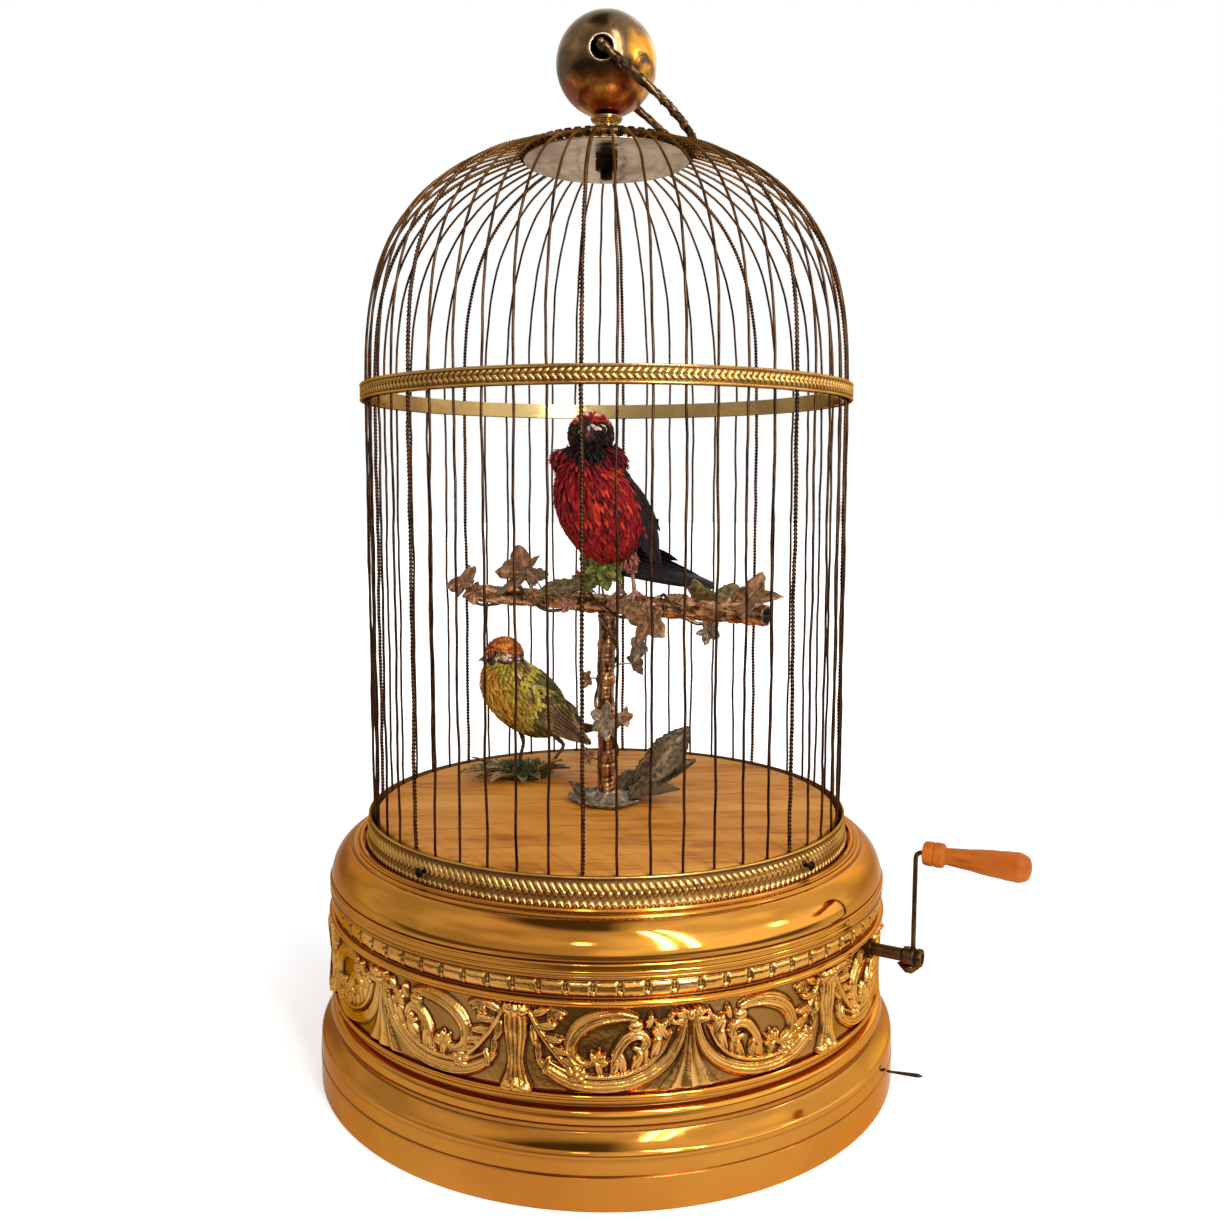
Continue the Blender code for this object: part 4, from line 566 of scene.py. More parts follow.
def scroll_height(angle, z):
    """The embossed field, in metres above the drum's face. It is worked out over one half repeat, from a
    console (u 0) to the flared stem (u 70), mirrored and repeated six times, as the highest of its parts."""
    turn = np.degrees(angle) - CONSOLE_AZIMUTH
    signed = np.mod(turn + REPEAT / 2, REPEAT) - REPEAT / 2
    u = np.abs(signed) * (FIELD_LONG / (REPEAT / 2))
    w = (z / MM - SCROLL_LOW) * (FIELD_TALL / (SCROLL_HIGH - SCROLL_LOW))
    u, w = np.broadcast_arrays(u, w)
    side = np.broadcast_arrays(signed, w)[0]
    rise = np.zeros_like(u)

    def raise_to(height):
        nonlocal rise
        rise = np.maximum(rise, height)

    def spray(height, step, *tongues):
        for number, (root_u, root_w, turn_to, length, width) in enumerate(tongues):
            tall = height + step * (number % 2)
            raise_to(leaflet(u, w, (root_u, root_w), turn_to, length, width, tall))

    oval = ((u - 35.5) / 9.6) ** 2 + ((w - 21.0) / 7.4) ** 2
    ground = 0.35 * np.exp(-((w / 5.0) ** 2)) - 0.30 * np.clip(1 - oval, 0, 1) ** 2
    # Console: three flutes that gather at its waist and spread into a curled toe
    waist = 5.2 - 1.6 * np.exp(-(((w - 13.0) / 7.0) ** 2)) + 1.6 * np.exp(-(((w - 1.0) / 4.0) ** 2))
    share = u / waist
    flutes = 0.60 + 0.40 * np.cos(share * math.pi * 2.5) ** 2
    body = np.where(share < 1, flutes * np.clip(1 - share**4, 0, 1) ** 0.5, 0)
    raise_to((2.4 + 1.0 * np.clip((w - 22) / 14, 0, 1) + 0.8 * np.clip((8 - w) / 8, 0, 1)) * body)
    for centre, size, height in (
        ((3.4, 0.6), (3.6, 3.2), 3.6), ((0.0, 1.6), (2.4, 4.0), 3.8), ((3.0, 33.6), (2.9, 3.2), 3.7),
        ((0.0, 33.0), (1.9, 4.4), 3.9), ((24.6, 8.2), (1.6, 1.6), 3.0), ((48.0, 28.0), (3.4, 2.6), 2.4),
        ((70.0, 31.6), (2.2, 3.0), 3.5),
    ):
        raise_to(blob(u, w, centre, size, height))
    # Leaf spray falling from the console's shoulder to the knot
    stem = curve([(6, 32), (9, 26), (14, 19), (20, 12), (24, 8.5)], 14)
    raise_to(ridge(u, w, stem, (1.0, 1.6, 1.2), 1.5))
    spray(
        2.7, 0.3,
        (6.8, 31.5, 22, 9.0, 4.4), (8.6, 27.2, -2, 8.6, 4.2), (11.2, 23.0, -16, 8.4, 4.0),
        (14.4, 18.8, -24, 8.0, 3.8), (17.8, 14.8, -30, 7.4, 3.4), (6.6, 27.0, -84, 8.6, 3.8),
        (9.4, 20.5, -96, 8.2, 3.6), (13.8, 14.4, -118, 7.6, 3.4),
    )
    # Petals of the knot
    for petal in range(5):
        out = math.radians(72 * petal + 20)
        raise_to(blob(u, w, (24.6 + 2.5 * math.cos(out), 8.2 + 2.3 * math.sin(out)), (2.0, 1.8), 2.5))
    # The large C, a broad fluted band open to the right, its foot curled in
    arch = curve(
        [(48, 31.6), (41, 32.4), (33, 31.0), (26, 27.0), (22.4, 21.0), (23.0, 15.4), (27.4, 12.2),
         (31.2, 13.6), (30.8, 16.4)], 40)
    raise_to(ridge(u, w, arch, (1.6, 3.0, 3.6, 3.6, 3.0, 2.4, 1.8, 1.5, 1.3), 2.6, 0.9, 2))
    for turn_to, length in ((38, 7.0), (64, 7.5), (92, 6.5), (12, 6.5)):
        raise_to(leaflet(u, w, (31.5, 11.5), turn_to, length, 3.2, 2.8))
    # The smaller scroll that meets it from the right
    hook = curve(
        [(39, 10), (40.5, 17), (44.5, 23.0), (49.5, 24.6), (52.4, 21.6), (50.4, 18.4), (47.6, 19.2)], 30)
    raise_to(ridge(u, w, hook, (1.6, 2.4, 2.6, 2.2, 1.7, 1.3), 2.5, 0.7))
    # Long fluted rib under the leaves, rising to the stem
    rib = curve(
        [(9, 13.0), (14, 8.4), (22, 4.4), (32, 2.9), (43, 3.6), (53, 7.0), (60.6, 12.6), (65.2, 20.0),
         (67.8, 30.0)], 46)
    raise_to(ridge(u, w, rib, (1.2, 2.6, 3.3, 3.4, 3.2, 3.0, 2.6, 2.2, 1.6), 2.0, 0.0, 2))
    edge_bead = curve(
        [(14, 12.6), (22, 8.6), (32, 6.9), (43, 7.8), (52, 11.4), (58.4, 17.4), (62.0, 25.0)], 36)
    raise_to(ridge(u, w, edge_bead, (0.6, 1.1, 1.2, 1.1, 0.7), 1.8))
    # Acanthus tongues growing off the rib, larger to the right
    spray(
        2.6, 0.4,
        (34.0, 7.0, 96, 7.0, 3.6), (38.0, 7.4, 62, 8.6, 4.2), (42.6, 8.2, 84, 9.4, 4.2),
        (46.6, 9.6, 58, 9.6, 4.6), (50.8, 11.6, 80, 10.4, 4.6), (54.4, 14.2, 66, 10.4, 4.4),
        (57.6, 17.6, 92, 10.6, 4.2), (60.6, 22.0, 112, 9.4, 3.8), (55.4, 24.5, 38, 7.4, 3.8),
        (52.6, 27.0, 66, 6.6, 3.4), (60.4, 27.6, 58, 6.6, 3.2),
    )
    # Flared stem between two ribs, and the tuft over it
    from_axis = FIELD_LONG - u
    flare = 1.8 + 12.0 * np.clip(1 - w / 30.0, 0, 1) ** 2.4
    share = np.clip(from_axis / flare, 0, 1)
    fan = (1.7 * (1 - share**2) ** 0.5 * (0.72 + 0.28 * np.cos(share * math.pi * 3.0))) * (w < 31.5)
    raise_to(np.where(from_axis < flare, fan, 0))
    for root_w, turn_to, length in ((27.5, 158, 8.0), (29.0, 136, 7.4), (29.5, 112, 6.6)):
        raise_to(leaflet(u, w, (69.4, root_w), turn_to, length, 3.6, 3.1))
    for turn_to in (-28, -58, -92, -124):
        raise_to(leaflet(u, w, (15.5, 34.5), turn_to, 5.6, 2.8, 1.9))
    edge = np.clip(np.minimum(w, FIELD_TALL - w) + (u < 7.0), 0, 1)
    hand = 1 + 0.05 * np.sin(side * 0.9 + w * 0.6)
    return (ground + rise * hand) * edge * MM


def bead_and_reel_height(angle, z):
    """78 lying half-round bars, with a small pearl low in each gap between them and a smaller one over it."""
    girth = 842.0
    pitch = girth / BEAD_COUNT
    s = np.mod(angle / TURN * girth + pitch / 2, pitch) - pitch / 2
    s, h = np.broadcast_arrays(s, z / MM)
    bar_end = np.clip((4.5 - np.abs(s)) / 0.7, 0, 1) ** 0.5
    bar = 1.25 * np.sqrt(np.clip(1 - ((h - 88.5) / 2.9) ** 2, 0, 1)) * bar_end
    pearl = 0.0
    for place in (-pitch / 2, pitch / 2):
        for high, middle, wide, tall in ((1.15, 86.6, 0.95, 1.2), (0.6, 89.6, 0.6, 1.6)):
            away = 1 - ((s - place) / wide) ** 2 - ((h - middle) / tall) ** 2
            pearl = pearl + high * np.sqrt(np.clip(away, 0, 1))
    return np.maximum(bar, pearl) * MM


def build_base():
    """Foot, drum and shoulder: turned mouldings, with the embossed field and the bead-and-reel between."""
    turned(
        "foot_moulding", "foot_shell", BRASS, "lacquered_brass", 256,
        (135.7, 44.9), (135.9, 43.0, 0.35), (133.8, 42.4), (133.7, 39.4, -0.25), (136.3, 38.6),
        (136.6, 32.4, 0.75), (135.5, 31.8), (135.4, 29.8), (141.5, 24.6, -0.35), (142.1, 21.6, 0.30),
        (142.4, 15.5, 0.12), (141.9, 14.9), (142.6, 14.4), (142.6, 0.7), (142.0, 0.0), (141.4, 0.0),
        (141.2, 13.9), (132.2, 37.7), (132.2, 44.9), (135.4, 44.9),
    )
    turned(
        "drum_wall", "drum_shell", BRASS, "lacquered_brass", 256,
        (136.2, 96.4), (136.4, 95.0, 0.25), (136.2, 94.3), (136.3, 93.1, 0.25), (134.9, 92.4, -0.2),
        (134.6, 91.9), (134.3, 91.8), (134.3, 85.1), (134.6, 85.0), (134.7, 84.6), (136.2, 84.4),
        (136.3, 81.5, 0.9), (134.0, 81.0), (133.5, 80.6), (133.5, 45.6), (134.0, 45.2), (132.6, 45.2),
        (132.6, 96.4), (136.0, 96.4),
    )
    for number in range(4):
        start = math.radians(CONSOLE_AZIMUTH + 30.0 + 90.0 * number)
        field = relief(
            SCROLL_LOW * MM, SCROLL_HIGH * MM, lambda z: DRUM_FACE * MM + 0 * z, 640, 96, scroll_height,
            0.1330, (start, start + math.radians(90.0)), 0.62,
        )
        piece(f"embossed_scroll_field_{number + 1}", [field], EMBOSSED, "base")
    beads = relief(
        0.0850, 0.0920, lambda z: 0.1344 + 0 * z, BEAD_COUNT * 20, 20, bead_and_reel_height, 0.1339
    )
    piece("bead_and_reel", [beads], EMBOSSED, "base")
    turned(
        "shoulder_moulding", "shoulder_shell", BRASS, "lacquered_brass", 256,
        (120.6, 116.2), (121.9, 116.2), (122.3, 115.3), (123.4, 114.9, -0.1), (124.4, 115.2),
        (125.5, 114.7, 0.15), (126.0, 113.9), (126.9, 113.7), (135.7, 100.1, 2.1), (135.3, 99.6),
        (136.1, 99.3), (136.5, 98.1, 0.2), (136.5, 96.7), (134.8, 96.7), (131.8, 102.2), (126.0, 109.6),
        (98.0, 111.0), (98.0, 112.4), (120.5, 112.4), (120.5, 116.0),
    )


def tongue(s, t, centre, size, turn):
    """One oval leaf of a stamped strip: an ellipse turned by an angle, with a crease along it."""
    cos, sin = math.cos(turn), math.sin(turn)
    x = ((s - centre[0]) * cos + (t - centre[1]) * sin) / size[0]
    y = (-(s - centre[0]) * sin + (t - centre[1]) * cos) / size[1]
    return np.sqrt(np.clip(1 - x**2 - y**2, 0, 1)) * (1 - 0.35 * np.exp(-((y / 0.22) ** 2)))


def stamped_strip(low, high, pitch, depth, arches, girth):
    """A stamped strip between two rails, as a height function of angle and z: leaning oval leaves in each
    pitch of millimetres, a second row that leans the other way or a row of small arches, and dots."""
    count = round(girth / pitch)
    tall = (high - low) / MM
    edge = 0.075 if arches else 0.13

    def height(angle, z):
        s = (np.mod(angle / TURN * count + 0.5, 1.0) - 0.5) * pitch
        s, t = np.broadcast_arrays(s, (z - low) / MM)
        raised = [np.zeros_like(s)]
        for shift in (-pitch, 0.0, pitch):
            if arches:
                ring = np.hypot(s - shift, (t - tall * 0.17) / 1.5)
                hoop = np.exp(-(((ring - pitch * 0.36) / 0.42) ** 2)) * (t > tall * 0.15)
                dot = np.sqrt(np.clip(1 - ((s - shift) ** 2 + (t - tall * 0.20) ** 2) / 0.45, 0, 1))
                small = tongue(s, t, (shift + pitch * 0.45, tall * 0.52), (1.5, 0.8), 0.9)
                large = tongue(s, t, (shift, tall * 0.66), (2.7, 1.15), 2.15)
                raised += [large, 0.8 * small, 0.85 * hoop, 0.9 * dot]
            else:
                for share, lean in ((0.63, 0.75), (0.36, -0.75)):
                    raised.append(tongue(s, t, (shift, tall * share), (1.75, 0.85), lean))
        share = t / tall
        rails = (share < edge) | (share > 1 - edge)
        crown = np.sin(math.pi * np.clip(np.minimum(share, 1 - share) / edge, 0.08, 0.92)) ** 0.5
        return depth * np.where(rails, crown, np.maximum.reduce(raised) * 0.92)

    return height


def build_rings():
    """The ring that holds the cage's foot, and the two strips that hold its waist."""
    low, high = 0.1127, 0.1282
    strip = stamped_strip(low, high, 3.2, 0.00105, True, 748.0)
    face = relief(
        low, high, lambda z: 0.1195 - 0.0021 * (z - low) / (high - low) - 0.0008, 234 * 10, 34, strip, 0.1166
    )
    piece("stamped_ring", [face], STRIP, "base", "lower_ring")
    low, high = 0.3249, 0.3326
    strip = stamped_strip(low, high, 3.0, 0.00075, False, 738.0)
    band = relief(low, high, lambda z: 0.11695 + 0 * z, 246 * 9, 26, strip, 0.11635)
    piece("stamped_band", [band], STRIP, "base", "band_outer")
    turned(
        "plain_band", "band_inner", PALE_STRIP, "lacquered_brass", 200,
        (113.4, 332.6), (113.45, 331.8, 0.05), (113.3, 331.3), (113.3, 326.2), (113.45, 325.7),
        (113.4, 324.9, 0.05), (112.4, 324.9), (112.4, 332.6), (113.3, 332.6),
    )


def build_stage():
    """The veneered board the birds stand on, with a softened edge."""
    turned(
        "veneered_stage", "stage_board", VENEER, "honey_veneer", 160,
        (2.0, 127.7), (112.6, 127.7), (113.45, 127.0, 0.12), (113.45, 112.7), (2.0, 112.7), (2.0, 127.5),
    )


# Cage

CAGE_RADIUS, CAGE_BASE, SPRING_LINE = 0.115, 0.1127, 0.3159
PANEL_WIRES = (6, 7, 6, 7, 6, 7, 6, 7)
FIRST_POST, PITCH = -46.4, 360.0 / 52
CROWN_RADIUS, CROWN_LEVEL = 0.0395, 0.44195
TWIST_PITCH = 0.0034
DOME_HEIGHT, OUT_POWER, RISE_POWER = 0.1294, 2.345, 3.245


def wire_line(count, is_post):
    """Radius and height along a wire: upright to the spring line, then a superellipse to the crown (the
    radius follows the cosine and the height the sine of one angle, each to two over its own power)."""
    last = math.acos((CROWN_RADIUS / CAGE_RADIUS) ** (OUT_POWER / 2))
    angle = np.linspace(0, last, count + 1)[1:]
    radius = np.concatenate([np.full(count, CAGE_RADIUS), CAGE_RADIUS * np.cos(angle) ** (2 / OUT_POWER)])
    dome = SPRING_LINE + DOME_HEIGHT * np.sin(angle) ** (2 / RISE_POWER)
    line = np.stack([radius, np.concatenate([np.linspace(CAGE_BASE, SPRING_LINE, count), dome])], axis=-1)
    if is_post:
        spoke = np.linspace([CROWN_RADIUS, CROWN_LEVEL], [0.00575, 0.45405], 10)[1:]
        line = np.concatenate([line, spoke])
    length = np.concatenate([[0], np.cumsum(np.linalg.norm(np.diff(line, axis=0), axis=1))])
    return line, length


def wire_skin(azimuth, is_post, seed):
    """A plain wire wanders a little by hand. A post is two strands twisted together: its radius swells
    twice round the section, and the swelling turns as it climbs."""
    line, length = wire_line(200 if is_post else 26, is_post)
    along = np.linspace(0, length[-1], 1240 if is_post else 60)
    radius, height = np.interp(along, length, line[:, 0]), np.interp(along, length, line[:, 1])
    hold = np.clip(along / 0.02, 0, 1) * np.clip((length[-1] - along) / 0.03, 0, 1)
    sideways = (0.0003 if is_post else 0.0005) * ripple(along * 55.0, seed) * hold
    outward = 0.00035 * ripple(along * 80.0, seed + 9) * hold * (along < 0.2)
    across = at_azimuth(azimuth + 90.0, 1.0)
    path = at_azimuth(azimuth, radius + outward, height) + sideways[:, None] * across
    if is_post:
        swell = np.abs(np.cos(TURN * np.arange(8)[None] / 8 - (along / TWIST_PITCH * TURN)[:, None]))
        grid = tube(path, (0.42 + 0.60 * swell) * MM, across, 8)
    else:
        grid = tube(path, 0.60 * MM * (1 + 0.06 * ripple(along * 300, seed)), across, 7)
    gilt = np.clip((height - 0.395) / 0.045, 0, 1) * (0.55 + 0.45 * ripple(along * 90, seed))
    return skins(grid, np.broadcast_to(gilt[:, None, None], grid.shape[:2] + (4,)))


def build_cage():
    """Eight panels: a twisted post, plain wires, an arc of the crown bar and a whipping at each wire."""
    azimuth = FIRST_POST
    seed = 0
    turn = np.linspace(0, TURN, 15)[:-1, None]
    for number, count in enumerate(PANEL_WIRES, 1):
        parts = []
        for index in range(count):
            seed += 1
            place = azimuth + index * PITCH
            parts.append(wire_skin(place, index == 0, seed))
            centre = at_azimuth(place, CROWN_RADIUS, CROWN_LEVEL)
            out, across = at_azimuth(place, 1.0), at_azimuth(place + 90.0, 1.0)
            for shift in (-1.0, 0.0, 1.0):
                coil = centre + across * shift * 0.0009 + 0.00185 * (np.cos(turn) * out + np.sin(turn) * UP)
                parts.append(skins(tube(coil, 0.00048, across, 5, closed=True), ring=True))
        low = azimuth - PITCH / 2 + 0.45
        bar = at_azimuth(np.linspace(low, low + count * PITCH - 0.9, 40), CROWN_RADIUS, CROWN_LEVEL)
        parts.append(skins(tube(bar, 0.00155, UP, 10), np.full((40, 10, 4), 0.35)))
        piece(f"wire_panel_{number}", parts, BRONZE, "base", f"cage_panel_{number}")
        azimuth += count * PITCH


def build_crown():
    """The silvered disc, the turned neck and its thread."""
    turned(
        "silvered_disc", "crown_disc", SILVER, "silvered_plate", 128,
        (39.2, 440.05), (39.45, 439.4, 0.1), (39.2, 438.85, 0.1), (37.9, 438.85), (24.0, 439.7, 0.2),
        (6.2, 440.35, 0.1), (3.3, 440.35), (3.3, 441.55), (6.2, 441.55), (24.0, 440.9, 0.1), (37.9, 440.05),
        (39.0, 440.05),
    )
    turned(
        "turned_neck", "finial_stem", PALE_STRIP, "lacquered_brass", 64,
        (3.0, 462.2), (3.0, 459.3), (7.2, 459.2), (7.4, 458.3, 0.3), (6.9, 457.5, 0.1), (4.6, 456.7, -0.3),
        (4.2, 455.6), (4.6, 454.9, 0.3), (3.7, 453.2), (3.5, 448.0, -0.2), (4.3, 444.4, -0.2), (5.6, 444.0),
        (6.2, 443.2, 0.25), (6.2, 441.9), (3.0, 441.8), (2.6, 441.6), ring=False,
    )
    climb = np.linspace(441.2, 430.9, 150)
    reach = 2.85 + 0.22 * np.sin(climb * TURN / 0.75) - 0.5 * (climb < 431.3)
    thread = np.stack([reach, climb], axis=-1) * MM
    piece("threaded_stem_end", [lathe(thread, 32, ring=False)], STEEL, "base")


def build_ball():
    """The ball, bored for the bail, with a rim round each mouth, and the rough bail through it."""
    centre = np.array([0.0, 0.0, 0.48335])
    yaw = math.radians(-5.4)
    bore = np.array([-math.sin(yaw), math.cos(yaw), 0.0])
    side = np.array([math.cos(yaw), math.sin(yaw), 0.0])
    axis = ((side, UP, bore), centre)
    radius, mouth = 0.0238, 0.0056
    last = math.acos(mouth / radius)
    angle = np.linspace(last, -last, 72)
    ball = np.stack([radius * np.cos(angle), radius * np.sin(angle)], axis=-1)
    rim = radius * math.sin(last) / MM
    bored = np.array([[5.3, rim - 0.1], [4.9, rim - 0.9], [2.8, 20.0], [2.5, 19.4], [2.5, 0.0]])
    inside = np.concatenate([bored[:4] * (1, -1), bored[::-1]]) * MM
    # painted shade inside the bore: the bored profile's points are painted dark, the ball's outside not
    dark = np.array([0.2, 0.9, 1, 1, 1, 1, 1, 0.9, 0.2])
    shade = np.repeat(np.concatenate([np.zeros(len(ball)), dark])[:, None], 4, axis=1)
    whole = lathe(np.concatenate([ball, inside]), 96, axis=axis, paint=shade)
    piece("tarnished_ball", [whole], OLD_BALL, "base", "finial_ball")
    bevel = np.array([[5.5, 0.12], [6.1, 0.02], [6.7, -0.35], [6.6, -0.6], [5.2, -0.9], [4.9, -0.5]])
    bevel = (bevel + [0.0, rim]) * MM
    rims = [lathe(line, 64, axis=axis) for line in (bevel, bevel * [1, -1])]
    piece("ball_mouth_rims", rims, SILVER, "base")

    slope = math.radians(42.085)
    lean = side * math.cos(slope) - UP * math.sin(slope)
    corner = np.radians([0, 30, 60, 90])
    sweep = np.radians([0, 22, 45, 68, 90])
    half = [(4.2 * (1 - math.cos(a)), 28.5 - 4.2 * (1 - math.sin(a))) for a in corner]
    half += [(56.5 - 24.0 * (1 - math.sin(a)), 28.5 * math.cos(a)) for a in sweep]
    loop = half + [(x, -y) for x, y in reversed(half[:-1])]
    dense = curve([centre + lean * x * MM + bore * y * MM for x, y in loop], 420, closed=True)
    along = np.arange(420)[:, None] / 420
    turn = TURN * np.arange(14)[None] / 14
    knots = 0.22 * np.exp(-(((np.mod(along * 21 + 0.3, 1) - 0.5) / 0.10) ** 2))
    inside_ball = np.linalg.norm(dense - centre, axis=1)[:, None] < 0.026
    bumps = 0.11 * np.sin(3 * turn + 130 * along) + 0.09 * np.sin(5 * turn - 370 * along) + knots
    reach = 0.00205 * (1 + np.where(inside_ball, 0, bumps) - np.where(inside_ball, 0.02, 0.16))
    # painted shade in the low spots between the bail's bumps
    shade_in_low_spots = np.repeat(np.clip(0.35 - bumps * 4, 0, 1)[..., None], 4, axis=-1)
    bail = skins(tube(dense, reach, np.cross(lean, bore), 14, closed=True), shade_in_low_spots, ring=True)
    piece("rough_bail", [bail], BAIL_BRONZE, "bail", "bail_ring")


# Crank, bellows and the inside parts


def build_bellows_leather():
    """Leather in two nested skirts, so that the lid can close over it: a wedge on the fixed board, as high
    as the lid's lowest stand, and walls round it that hang from the lid."""
    across = np.array([math.cos(math.radians(30)), -0.5, 0.0])
    out = np.array([-0.5, -math.cos(math.radians(30)), 0.0])
    hinge = np.array([21.67, 47.533, 30.0])

    def wedge(left, right, near, far, low, high):
        reach = np.linspace(near, far, 26)[:, None]
        side = np.array([[left, right, right, left]]) + 0 * reach
        rise = reach * np.tan(np.radians([[low, low, high, high]]))
        return skins((hinge + reach[..., None] * out + side[..., None] * across + rise[..., None] * UP) * MM)

    fixed = [wedge(-24.0, 24.0, 3.0, 41.0, 0.0, 5.5)]
    piece("leather_wedge", fixed, KID, "base", "bellows_leather")
    hanging = [
        wedge(*sides, near, 41.9, 6.3, 11.7)
        for sides, near in (((24.3, 24.9), 3.0), ((-24.9, -24.3), 3.0), ((-24.3, 24.3), 41.3))
    ]
    piece("leather_skirt", hanging, KID, "bellows_top")


def build_crank():
    """Sleeve, clamp screw, bushing, bent arm and turned handle; u points straight out of the drum."""
    u = np.array([math.sin(math.radians(60)), -math.cos(math.radians(60)), 0.0])
    v = np.array([-u[1], u[0], 0.0])
    shaft_line = ((v, UP, u), np.array([0, 0, 0.0784]))
    turned(
        "crank_socket", "crank_sleeve", CRANK_BRONZE, "dark_bronze", 40,
        (3.2, 160.75), (3.9, 160.2, 0.2), (4.0, 158.6, 0.1), (3.55, 158.2), (3.55, 157.6), (4.05, 157.2),
        (4.0, 152.6, 0.15), (3.3, 152.25), (2.85, 151.8), (2.85, 131.7), (2.3, 131.7), (2.3, 160.75),
        body="crank", axis=shaft_line,
    )
    screw_place = u * 0.15475
    head = outline(
        (1.2, 76.1), (1.2, 74.6), (2.7, 74.5), (2.8, 73.2, 0.15), (1.9, 72.2, 0.1), (0.7, 71.9, 0.05)
    )
    height = np.array([75.4, 75.2, 74.6, 73.6, 72.6, 71.6, 70.8, 70.5])[:, None]
    half = np.array([0.5, 4.6, 5.2, 4.5, 3.4, 2.3, 1.3, 0.2])[:, None]
    turn = TURN * np.arange(20)[None] / 20
    wing = screw_place + (
        u * (half * np.cos(turn))[..., None] + v * (np.minimum(0.9, half) * np.sin(turn))[..., None]
        + UP * (height - 0.35 * np.cos(turn * 2) * (half > 1) + 0 * turn)[..., None]
    ) * MM
    parts = [lathe(head, 24, ring=False, centre=screw_place[:2]), skins(wing)]
    piece("clamp_screw", parts, CRANK_BRONZE, "crank", "crank_screw")
    turned(
        "crank_bushing", "crank_bush", CRANK_BRONZE, "lacquered_brass", 48,
        (3.2, 138.6), (4.3, 138.5), (4.6, 138.2, 0.1), (4.6, 137.7), (4.35, 137.6), (4.35, 127.3),
        (3.2, 127.3), axis=shaft_line,
    )

    foot, low, high, bend = 0.1565, 0.0804, 0.1262, 0.003
    arm = [u * foot + UP * z for z in np.linspace(low, high - bend, 14)]
    for t in np.linspace(0, math.pi / 2, 9)[1:]:
        arm.append(u * (foot + bend * (1 - math.cos(t))) + UP * (high - bend * (1 - math.sin(t))))
    arm += [u * d + UP * high for d in np.linspace(0.1605, 0.2013, 12)]
    rod = skins(tube(arm, 0.00105 * (1 + 0.05 * ripple(np.arange(len(arm)) * 0.9, 3)), v, 12))
    piece("crank_arm_rod", [rod], CRANK_BRONZE, "crank", "crank_arm")

    start = 160.1
    handle = outline(
        (1.45, start), (4.4, start), (5.2, start + 0.9, -0.25), (5.35, start + 4.0, -0.1), (5.0, start + 4.3),
        (5.0, start + 4.7), (5.4, start + 5.0), (5.35, start + 7.6, -0.1), (4.7, start + 8.7, -0.3),
        (3.9, start + 9.2), (3.75, start + 10.4, 0.1), (4.6, start + 20.0, -0.05), (5.9, start + 33.0, -0.25),
        (6.25, start + 38.0, -0.15), (5.6, start + 42.0, -0.45), (3.4, start + 44.3, -0.5),
        (0.5, start + 44.9, -0.1),
    )
    hollow = np.array([[1.3, start + 41.0], [1.4, start + 40.0], [1.4, start + 1.0]]) * MM
    grip = lathe(np.concatenate([hollow, handle]), 56, ring=False, axis=((v, UP, u), np.array([0, 0, high])))
    piece("turned_handle", [grip], GRIP, "handle", "crank_handle")


def finish_plain_parts():
    """Finishes for the parts that keep the CAD's own shape."""
    for finish, names in (
        (CRANK_BRONZE, "crank_shaft"),
        (STEEL, "stop_lever stop_pivot finial_nut ring_screw_1 ring_screw_2 ring_screw_3 ring_screw_4"),
        (STEEL, "crank_pinion cam_shaft song_lever bird_lever push_rod whistle_piston"),
        (PALE_STRIP, "front_plate rear_plate cam_wheel cam_stack whistle_tube"),
        (BOARD, "bottom_board bellows_base bellows_top"),
    ):
        for name in names.split():
            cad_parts[name].data.materials[0] = finish


# Perch

BAR_ALONG = np.array([0.79229, -0.61015, 0.0])
BAR_BACK = np.array([0.61015, 0.79229, 0.0])
BAR_FRAME = np.array([BAR_ALONG, BAR_BACK, UP])
BAR_HEIGHT, BAR_END = 227.7, 90.5
MOUND_PLACE = (-46.0, 50.0)
LEAF_FOOT = 0.1292


def by_bar(along, back, over):
    """A point in millimetres along the bar, behind its axis and over it, as metres."""
    along, back, over = np.broadcast_arrays(*(np.asarray(v, float)[..., None] for v in (along, back, over)))
    return (BAR_ALONG * along + BAR_BACK * back + UP * (over + BAR_HEIGHT)) * MM


def egg(centre, axes, sizes, rows, columns, tint, share=1.0):
    """An ellipsoid: sizes in millimetres times a share and a unit sphere's points, in the directions of
    axes. Its first axis is the pole."""
    tilt = np.linspace(0.02, math.pi - 0.02, rows)[:, None]
    angle = TURN * np.arange(columns)[None] / columns
    round_it = np.sin(tilt) * np.cos(angle), np.sin(tilt) * np.sin(angle)
    ball = np.stack([np.cos(tilt) + 0 * angle, *round_it], axis=-1)
    reach = np.array(sizes) * MM * share
    return one_tone(np.asarray(centre, float) + (ball * reach) @ np.asarray(axes), tint)


def leaf_tones(base, share, seed):
    """Leaf paint: the base tone, lighter along ribs (share 1), uneven in soft patches."""
    base = np.asarray(base, float)
    patch = 0.72 + 0.5 * hash_noise(np.floor(share * 3), seed)
    light = base * 2.2 + np.array([0.035, 0.024, 0.010])
    return base * patch[..., None] * (1 - share[..., None]) + light * share[..., None]


